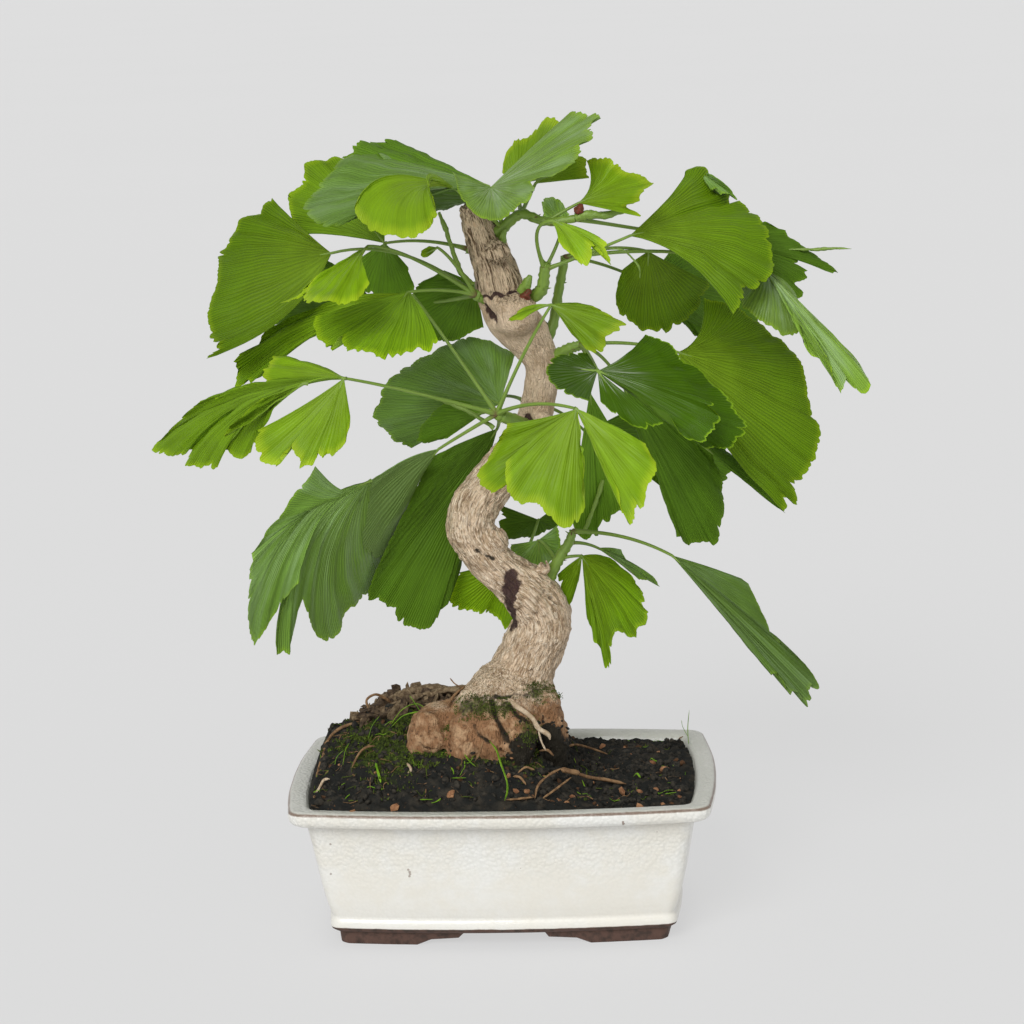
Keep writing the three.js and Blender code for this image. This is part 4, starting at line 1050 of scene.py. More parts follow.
@dataclass(frozen=True)
class Shoot:
    """A short green shoot with the leaves that grow from it."""

    name: str
    path: tuple[Point, ...]
    radii: tuple[float, float]
    leaves: tuple[Leaf, ...]
    scales: int = 2  # for each point of the path

    SPUR_RINGS = 0.12  # height of the old bud scars, as a share of the radius

    def _stem(self, finish: int) -> Surface:
        """Makes the shoot's own stem, ringed by old bud scars."""
        count = 6 * len(self.path)
        line = through(self.path, np.linspace(0, 1, count))
        share = np.linspace(0, 1, count)
        radii = self.radii[0] + (self.radii[1] - self.radii[0]) * share
        rings = 1 + self.SPUR_RINGS * np.sin(share * math.tau * len(self.path) * 2.3)
        surface = tube(line, radii * rings, 14)
        surface.points = surface.points + 0.3 * unit(surface.points) * rough(
            surface.points, 2.4, 2, 3.0
        )[:, None]
        surface.values["woody"] = 1 - smooth_step(1.0, 7.0, surface.values["along_mm"])
        surface.finish = finish
        return surface

    def _scales(self, finish: int) -> Surface:
        """Makes the pointed bud scales that stay on the shoot's stem."""
        rng = random.Random(self.name)
        parts = []
        for _ in range(self.scales * len(self.path)):
            share = rng.uniform(0.3, 1.0)
            here, ahead = through(self.path, np.array([share, min(share + 0.05, 1.0)]))
            along = unit(ahead - here + 1e-6)
            out = unit(np.cross(along, [rng.gauss(0, 1), rng.gauss(0, 1), rng.gauss(0, 1)]))
            radius = self.radii[0] + (self.radii[1] - self.radii[0]) * share
            start = here + out * radius * 0.7
            heading = unit(out + along * rng.uniform(0.2, 1.4))
            length = rng.uniform(0.9, 2.3)
            line = start + np.outer((0, 0.5, 1.0), heading * length)
            scale = tube(line, np.array([0.7, 0.5, 0.08]), 5, flatten=0.6)
            scale.values["woody"] = np.full(len(scale.points), rng.uniform(0.1, 0.8))
            scale.finish = finish
            parts.append(scale)
        return joined(parts)

    def build(
        self, leaf_finishes: dict[LeafTone, bpy.types.Material], stem: bpy.types.Material
    ) -> None:
        """Makes the shoot's two pieces.

        Args:
            leaf_finishes: the material of each kind of leaf.
            stem: the material of the stalks.
        """
        node = f"shoot_{self.name}"
        tones = list(dict.fromkeys(leaf.tone for leaf in self.leaves))
        blades = joined(leaf.blade(tones.index(leaf.tone)) for leaf in self.leaves)
        finishes = [leaf_finishes[tone] for tone in tones]
        dress(f"leaves_{self.name}", blades, finishes, [node])
        stalks = [leaf.stem(0) for leaf in self.leaves]
        stems = joined([self._stem(0), self._scales(0), *stalks])
        dress(f"stalks_{self.name}", stems, [stem], [node])


CROWN_LEAVES: tuple[Leaf, ...] = (
    Leaf("crown_left", LeafTone.TEAL, stalk=(6, -1, 293), bend=(5, -3, 303), base=(1, -3, 310.5),
        edge=((-43, 13.5, 321), (-45.5, 18.5, 324), (-49, 21, 325), (-53, 19, 324.5),
        (-56.5, 14, 323), (-60, 8, 320.5), (-64, 0.5, 318), (-68, -7, 314), (-71, -14, 310),
        (-73, -20.5, 306.5), (-72.5, -26, 304), (-69.5, -30.5, 301.5), (-67, -33.5, 299.5),
        (-64.5, -35.5, 299), (-62.5, -36.5, 298), (-60, -36.5, 299), (-57.5, -36, 298.5),
        (-54.5, -35, 299.5), (-52, -33.5, 300.5), (-49.5, -32.5, 302.5), (-43, -34, 301.5)),
        flare=(1, 0.8), crisp=True, shade=1.05),
    Leaf("crown_left_back", LeafTone.SHADED, bend=(5, -3, 303), base=(1, -3, 310.5),
        edge=((-34, 34, 325.5), (-38, 34, 327), (-43, 33, 328.5), (-49, 31, 328.5),
        (-53.5, 28, 327.5), (-57.5, 24, 325.5), (-60.5, 18, 322)), shade=1.25),
    Leaf("crown_left_folded", LeafTone.YOUNG, stalk=(6, -1, 293), bend=(0, -8, 301),
        base=(-12.5, -10, 310.5), edge=((-49.5, -35, 308.5), (-51, -36.5, 305), (-49.5, -39, 302.5),
        (-46.5, -41.5, 300.5), (-44.5, -45, 298), (-40.5, -47.5, 297), (-38, -49, 296),
        (-34.5, -50, 296.5), (-32, -51, 295.5), (-29, -51.5, 296.5), (-26.5, -52.5, 295.5),
        (-23.5, -52, 296.5), (-21, -49.5, 297.5), (-19.5, -46.5, 299), (-17.5, -42.5, 302),
        (-18, -38.5, 306), (-19, -34.5, 309)), arch=(-12, 0, 16), crisp=True, shade=0.8),
    Leaf("crown_top", LeafTone.FROSTED_SHEEN, stalk=(6, -1, 293), bend=(5, -4, 302), base=(2, -5, 310),
        edge=((-12.5, -16.5, 318), (-10.5, -22, 311), (-8, -27, 306), (-5.5, -30.5, 303),
        (-1.5, -32.5, 300), (2.5, -33.5, 299), (6.5, -33, 299), (9.5, -32.5, 300.5),
        (12.5, -32, 302.5), (14.5, -31.5, 305), (18, -30.5, 307), (20, -28, 309),
        (20.5, -23.5, 311.5), (18.5, -19, 313.5), (23, -18.5, 314.5), (27.5, -19, 315),
        (31.5, -19, 317), (35, -18, 319), (38, -16, 320.5), (40, -12.5, 324), (39, -9.5, 326),
        (41, -7, 327), (43.5, -5, 328), (44.5, -1.5, 330.5), (43, 3.5, 333), (44, 8, 335.5),
        (46, 10.5, 337), (48, 11.5, 337), (47, 13.5, 338), (44.5, 16, 339), (41.5, 19, 338),
        (38.5, 21.5, 339.5), (34.5, 23.5, 338.5)), crisp=True),
    Leaf("crown_top_back", LeafTone.YOUNG, stalk=(14, -5, 299), bend=(13, 6, 302),
        base=(12, 14, 308), edge=((5.5, 20.5, 314), (6, 22, 317.5), (7.5, 24, 321.5),
        (9.5, 25.5, 324), (11, 26.5, 327), (13, 27.5, 328), (16.5, 28, 328), (18, 28.5, 330),
        (20.5, 29.5, 332), (23, 30, 334.5), (25.5, 30.5, 336), (28, 30, 335.5), (30.5, 29, 332.5),
        (35, 27, 329.5), (38, 24, 322)), crisp=True, shade=0.72),
    Leaf("crown_right", LeafTone.YOUNG, stalk=(24, -8, 296), bend=(31, -8, 300),
        base=(37.5, -6, 303), edge=((40.5, 8, 319.5), (43.5, 7, 320.5), (46.5, 5, 320),
        (49.5, 3, 320.5), (51.5, 0.5, 320), (53.5, -1.5, 319), (54.5, -4.5, 317.5),
        (56.5, -7.5, 315.5), (59.5, -11, 315.5), (63, -14, 314.5), (65, -17, 313.5),
        (66.5, -20, 312), (68.5, -22, 311.5), (66.5, -23, 309.5), (64.5, -23.5, 308.5),
        (62.5, -24, 307), (62.5, -24, 305), (60, -23, 304), (57, -22, 303.5), (56.5, -21.5, 302.5),
        (59, -22.5, 301), (61.5, -24.5, 300), (63.5, -26, 298.5)), flare=(0.25, 1), crisp=True,
        shade=0.8),
    Leaf("crown_right_back", LeafTone.YOUNG, stalk=(14, -5, 299), bend=(16, 10, 303),
        base=(19.5, 16, 309.5), edge=((20.5, 24, 322.5), (30.5, 24, 321.5), (40.5, 22, 319),
        (42, 18, 311)), shade=0.8),
    Leaf("crown_far_right", LeafTone.SHADED, stalk=(36, -9, 297), bend=(62, 12, 290),
        base=(96.5, 26, 282.5), edge=((114.5, 34, 289.5), (118.5, 34.5, 288), (123.5, 34.5, 286),
        (124.5, 34, 283.5), (129, 33.5, 281), (134, 32, 277.5), (138.5, 30.5, 273.5),
        (142, 29, 271), (145, 28, 267.5), (141.5, 28, 269), (138, 28, 271.5), (134.5, 28.5, 272.5),
        (131.5, 28.5, 274), (128.5, 27.5, 274), (127.5, 26, 272.5), (130, 25, 271),
        (132.5, 24, 269.5), (132.5, 23, 267), (129.5, 22, 266), (126.5, 21.5, 265.5),
        (127, 20.5, 264), (129.5, 20, 261.5), (130, 19, 260), (127.5, 18.5, 258.5),
        (123.5, 18, 260.5), (119, 18, 264)), arch=(0, 0, 2), flare=(0.9, 0.9), crisp=True),
    Leaf("crown_north", LeafTone.SHADED, stalk=(6, -1, 293), bend=(5, 12, 301),
        base=(-0.5, 22, 302.5), edge=((-22.5, 54, 312), (-40.5, 66, 310.5), (-48.5, 76, 301),
        (-41.5, 79, 292), (-23, 68, 293.5)), arch=(0, 0, 3), cuts=((0.5, 0.2, 0.06),)),
)
UPPER_LEFT_LEAVES: tuple[Leaf, ...] = (
    Leaf("west_fan", LeafTone.MATURE, stalk=(-6, 0, 266), bend=(-36, 2, 291), base=(-65, 4, 284),
        edge=((-93, 42.5, 303), (-95.5, 41.5, 301), (-97.5, 40, 300), (-98.5, 39.5, 297.5),
        (-101, 39, 297), (-104.5, 38.5, 296.5), (-107.5, 38, 295), (-110, 36.5, 291.5),
        (-111, 34, 289), (-113, 32, 286.5), (-115.5, 30, 283.5), (-116, 27.5, 281),
        (-114.5, 24, 278.5), (-115, 21, 275.5), (-115, 18, 272), (-116, 15, 268.5),
        (-117.5, 12.5, 265), (-118, 10.5, 262.5), (-119, 8, 260), (-118.5, 5, 257),
        (-117, 2.5, 253.5), (-116.5, -0.5, 250.5), (-114.5, -3, 249), (-110.5, -5, 249),
        (-114, -7, 246), (-118, -8, 242.5)), flare=(0.95, 2.5), crisp=True, shade=0.84),
    Leaf("north_west_low", LeafTone.SHADED, stalk=(-6, 0, 266), bend=(-28, 38, 256),
        base=(-52.5, 44, 259), edge=((-69.5, 58, 271), (-92.5, 72, 283), (-111, 78, 267),
        (-110, 76, 248.5), (-87, 66, 244), (-66, 54, 245)), arch=(0, 0, 2), flare=(1.1, 1.1),
        cuts=((0.4, 0.25, 0.06),)),
    Leaf("west_small", LeafTone.YOUNG, stalk=(-6, 0, 266), bend=(-35, -8, 288),
        base=(-48, -14, 288.5), edge=((-81.5, -40, 269.5), (-78, -40, 269), (-75.5, -38.5, 270.5),
        (-73, -35, 273.5), (-69.5, -33.5, 277.5), (-71.5, -36, 274), (-72, -41, 272),
        (-71.5, -45.5, 270), (-69, -48, 269.5), (-67, -49, 270.5), (-64.5, -50, 269.5),
        (-62, -51, 269.5), (-60, -51.5, 270), (-56.5, -51.5, 269), (-53, -50.5, 270),
        (-49.5, -48.5, 271.5), (-47, -44.5, 274), (-45.5, -40.5, 276)), arch=(0, 0, 4),
        flare=(1.7, 0.7), crisp=True, shade=0.92),
    Leaf("west_low", LeafTone.LUSH, stalk=(-6, 0, 266), bend=(-20, -4, 270), base=(-33, -7, 268.5),
        edge=((-70, -20, 261), (-71, -22, 259), (-70, -24, 256), (-70, -25.5, 255),
        (-68.5, -27, 252.5), (-66.5, -28.5, 252), (-65, -30.5, 250), (-63.5, -32, 250.5),
        (-63, -32.5, 248), (-61.5, -31.5, 250.5), (-59, -31, 253.5), (-57.5, -34, 250),
        (-55.5, -37, 247.5), (-53.5, -38.5, 249), (-51, -39.5, 248.5), (-49.5, -40.5, 249.5),
        (-48, -41.5, 248.5), (-45.5, -43, 249), (-44.5, -44.5, 247.5), (-42.5, -45.5, 248),
        (-40.5, -45.5, 247), (-39, -46, 249.5), (-37, -46.5, 247.5), (-35, -47, 249),
        (-33.5, -47, 248), (-31.5, -46.5, 249.5), (-29, -46, 249), (-27, -45.5, 251),
        (-25, -45.5, 249.5), (-22, -45, 249), (-20.5, -43, 251), (-19, -40, 253)), arch=(0, 0, 1),
        flare=(1.15, 1.15), crisp=True, shade=1.2),
    Leaf("west_leaflet", LeafTone.LUSH, stalk=(-6, 0, 266), bend=(-14, -10, 283),
        base=(-20, -12, 287), edge=((-23.5, -14, 288), (-27, -15, 285.5), (-25.5, -15, 283),
        (-22.5, -13, 284.5)), shade=0.8),
    Leaf("west_behind", LeafTone.SHADED, stalk=(-6, 0, 266), bend=(-6, 12, 269), base=(-7, 16, 269),
        edge=((-20, 24, 273.5), (-33, 28, 266.5), (-34.5, 30, 253), (-23, 28, 242), (-4, 22, 249)),
        shade=1.25),
)
UPPER_LEFT_BACK_LEAVES: tuple[Leaf, ...] = (
    Leaf("north_west", LeafTone.LUSH, stalk=(-9, 8, 284), bend=(-27, 14, 289), base=(-45, 28, 285),
        edge=((-85.5, 48, 288), (-87, 53, 299.5), (-88.5, 56, 303), (-87, 58, 305.5),
        (-84, 59, 307.5), (-83.5, 60, 310.5), (-82, 61.5, 313), (-81.5, 62.5, 316),
        (-80, 62.5, 317), (-77.5, 62.5, 316), (-74.5, 62.5, 317), (-72, 62.5, 317),
        (-69.5, 62.5, 318.5), (-63.5, 61.5, 319), (-48.5, 58, 317.5)), arch=(0, 0, 2),
        flare=(1.1, 1.1), crisp=True, shade=0.92),
    Leaf("north_west_lobe", LeafTone.SHADED, bend=(-27, 14, 289), base=(-45, 28, 285),
        edge=((-59.5, 34, 276), (-56, 34, 264), (-43, 30, 260.5), (-33, 26, 264.5),
        (-35, 26, 274.5)), arch=(0, 0, 1), shade=1.6),
)
UPPER_RIGHT_LEAVES: tuple[Leaf, ...] = (
    Leaf("east_fan", LeafTone.MATURE, stalk=(23, -3, 276), bend=(40, -6, 282), base=(58, -8, 289.5),
        edge=((83, 29, 310.5), (86, 31.5, 312), (89, 32.5, 311.5), (92.5, 30.5, 308.5),
        (96.5, 27.5, 305), (100, 24, 302.5), (100, 21.5, 299), (103.5, 19.5, 299), (106, 18, 297),
        (108, 15.5, 294.5), (110.5, 13.5, 293.5), (111.5, 10.5, 291), (113.5, 7.5, 288.5),
        (114.5, 3.5, 285), (116, -1, 281.5), (117, -6, 277), (116, -11, 274), (112.5, -16, 270.5),
        (108, -19.5, 267.5), (102, -22.5, 268.5), (103.5, -25.5, 264.5), (98.5, -30, 259)),
        arch=(0, 0, 3), flare=(0.65, 0.65), crisp=True),
    Leaf("east_fan_lip", LeafTone.TEAL, bend=(40, -6, 282), base=(87.5, 31, 311.5),
        edge=((92.5, 26, 310.5), (96.5, 22, 308), (100.5, 19, 304.5), (103, 17, 300),
        (99.5, 15, 303), (96, 14, 302.5), (94.5, 17, 305.5), (92, 18, 304.5), (90.5, 22, 307)),
        shade=1.4, ruffle=0.3),
    Leaf("east_young", LeafTone.YOUNG, stalk=(23, -3, 276), bend=(16, -16, 297),
        base=(27, -20, 297.5), edge=((29.5, -27.5, 289.5), (31.5, -29.5, 287), (35, -31.5, 284.5),
        (37, -32.5, 282), (40, -33.5, 279.5), (42, -33.5, 281.5), (43, -32.5, 284), (43, -31, 287),
        (44.5, -29.5, 288), (46.5, -30, 286), (48.5, -31, 283), (50.5, -31.5, 280), (50, -31, 283),
        (48.5, -29.5, 287), (49, -28.5, 289), (47, -27.5, 290.5)), arch=(0, 0, 2), flare=(0.9, 0.9),
        crisp=True),
    Leaf("east_grey", LeafTone.FROSTED_SHEEN, stalk=(23, -3, 276), bend=(29, 0, 286), base=(30.5, 4, 293),
        edge=((33.5, 6, 297.5), (29.5, 8, 303.5), (22.5, 8, 304.5), (22, 4, 297)), shade=1.8),
)
RIGHT_BACK_LEAVES: tuple[Leaf, ...] = (
    Leaf("east_under", LeafTone.MATURE, stalk=(31, 13, 279), bend=(51, 12, 285),
        base=(65.5, 14, 280.5), edge=((54.5, 15.5, 273), (52.5, 16.5, 267.5), (51.5, 17.5, 262.5),
        (51.5, 18.5, 258), (53, 19.5, 253.5), (56.5, 21, 250.5), (60, 22, 248), (62.5, 23.5, 245.5),
        (65.5, 24.5, 246.5), (68, 25.5, 245), (70.5, 26.5, 246), (72.5, 27.5, 244),
        (75.5, 28.5, 246), (79, 30, 247.5), (82.5, 31.5, 249.5), (85.5, 32.5, 253),
        (88.5, 33.5, 257.5), (92, 35, 264)), flare=(1.1, 1.1), crisp=True, shade=0.9),
    Leaf("north_east", LeafTone.SHADED, stalk=(31, 13, 279), bend=(45, 30, 276), base=(66, 38, 264),
        edge=((88, 58, 290.5), (107.5, 68, 278.5), (116.5, 76, 251), (106.5, 79, 229.5),
        (88.5, 70, 236.5), (77, 60, 245.5)), arch=(0, 0, 2), flare=(1.1, 1.1),
        cuts=((0.6, 0.3, 0.06),), shade=1.4),
    Leaf("east_curled", LeafTone.FROSTED_SHEEN, stalk=(31, 13, 279), bend=(83, 12, 285),
        base=(113.5, 2, 272.5), edge=((100.5, -1, 266.5), (102.5, -6, 259), (113, -14, 251.5),
        (121.5, -18, 247.5), (127, -18, 252.5), (126.5, -12, 260)), arch=(4, -3, 4),
        flare=(1.1, 1.1), shade=0.85),
    Leaf("east_ribbon", LeafTone.FROSTED_SHEEN, bend=(83, 12, 285), base=(113.5, 2, 272.5),
        edge=((147.5, -49.5, 241), (149, -55.5, 237), (150.5, -60.5, 234.5), (149, -62.5, 231.5),
        (146.5, -62, 232), (143.5, -59.5, 234.5), (141, -57.5, 237.5), (141, -58, 233.5),
        (139.5, -58.5, 230.5), (138, -56, 233), (137, -51, 238), (135, -46, 243.5),
        (132.5, -42.5, 244), (131.5, -39.5, 242), (129, -36.5, 244), (126.5, -33, 248),
        (126, -28.5, 251)), arch=(0, 0, 2), crisp=True, shade=1.35, ruffle=0.6),
)
RIGHT_LEAVES: tuple[Leaf, ...] = (
    Leaf("glossy_left", LeafTone.GLOSSY, stalk=(37, 1, 244), bend=(40, -16, 244),
        base=(44, -34, 238.5), edge=((39.5, -28, 245.5), (29, -28, 245), (22.5, -30, 240.5),
        (27, -36, 231.5), (40, -40, 227)), shade=0.55),
    Leaf("glossy_low", LeafTone.GLOSSY, bend=(40, -16, 244), base=(44, -34, 238.5),
        edge=((45, -44, 227.5), (53.5, -50, 221), (63.5, -53, 217.5), (70, -54, 220)), shade=0.85),
    Leaf("glossy_mid", LeafTone.GLOSSY, bend=(40, -16, 244), base=(44, -34, 238.5),
        edge=((73, -54, 221), (83.5, -59, 213), (91, -58, 218), (91, -55, 225), (78, -48, 228.5)),
        arch=(0, 0, 3), shade=0.85),
    Leaf("glossy_top", LeafTone.GLOSSY, bend=(40, -16, 244), base=(44, -34, 238.5),
        edge=((63.5, -18, 250.5), (77.5, -22, 242.5), (94.5, -30, 230), (103.5, -40, 214.5),
        (98, -46, 209), (88, -50, 208.5)), arch=(0, 0, 1), flare=(0.65, 0.9), shade=0.8),
    Leaf("south_east_fan", LeafTone.MATURE, stalk=(37, 1, 244), bend=(57, 4, 246),
        base=(77, 8, 239), edge=((88, 31.5, 257.5), (101.5, 34, 254), (112, 34.5, 248),
        (117, 33.5, 244), (121.5, 32, 239.5), (125.5, 30, 235), (128.5, 27, 230),
        (130.5, 24, 224.5), (131.5, 20, 219), (132.5, 16.5, 214), (133.5, 13.5, 209),
        (136.5, 11.5, 205.5), (137, 9, 201.5), (135, 6, 198.5), (134.5, 3.5, 194),
        (132, 0.5, 192.5), (130, -2, 189.5), (128, -4, 187), (125, -6, 186.5), (124.5, -8.5, 183),
        (125, -10, 177), (123, -11, 177), (121, -11, 179.5), (120, -11.5, 180.5),
        (120.5, -12.5, 177.5), (120, -14, 175)), arch=(0, 0, 1), flare=(0.5, 1.6), crisp=True,
        shade=0.95),
    Leaf("south_east_fold", LeafTone.SHADED, bend=(57, 4, 246), base=(86.5, 0, 201),
        edge=((96, 4, 199), (109, 0, 187), (120.5, -6, 172.5), (111.5, -2, 179.5), (100, 0, 188.5)),
        shade=1.5, ruffle=0.4),
    Leaf("south_east_low", LeafTone.SHADED, stalk=(37, 1, 244), bend=(46, 10, 240),
        base=(53.5, 16, 225), edge=((63, 20, 189), (66, 19, 184), (68.5, 18.5, 181.5),
        (72, 18, 182), (74.5, 17.5, 180.5), (75.5, 17.5, 174.5), (75.5, 17, 167),
        (76.5, 16.5, 160.5), (78, 16, 156), (80.5, 16, 155), (83.5, 16, 156.5), (86.5, 16, 156),
        (89, 16, 156.5), (90.5, 16.5, 154.5), (93, 17, 156.5), (94, 18.5, 162), (96, 20, 167.5),
        (96.5, 21.5, 174.5), (96, 23, 181), (94.5, 24, 185), (92, 24, 189), (89, 24, 192.5)),
        arch=(0, 0, 2), crisp=True, shade=1.3),
    Leaf("east_hidden", LeafTone.SHADED, stalk=(37, 1, 244), bend=(41, 8, 236),
        base=(40, 12, 222.5), edge=((30.5, 14, 167.5), (33.5, 14, 160.5), (37, 14, 158.5),
        (42.5, 14.5, 160), (42, 14.5, 163), (43.5, 15, 165), (47, 15, 166), (48, 15, 169),
        (50.5, 15.5, 170.5), (54, 16, 170.5), (57, 16.5, 173), (59.5, 16.5, 177.5), (61, 17, 182)),
        arch=(0, 0, 2), crisp=True, shade=1.5),
)
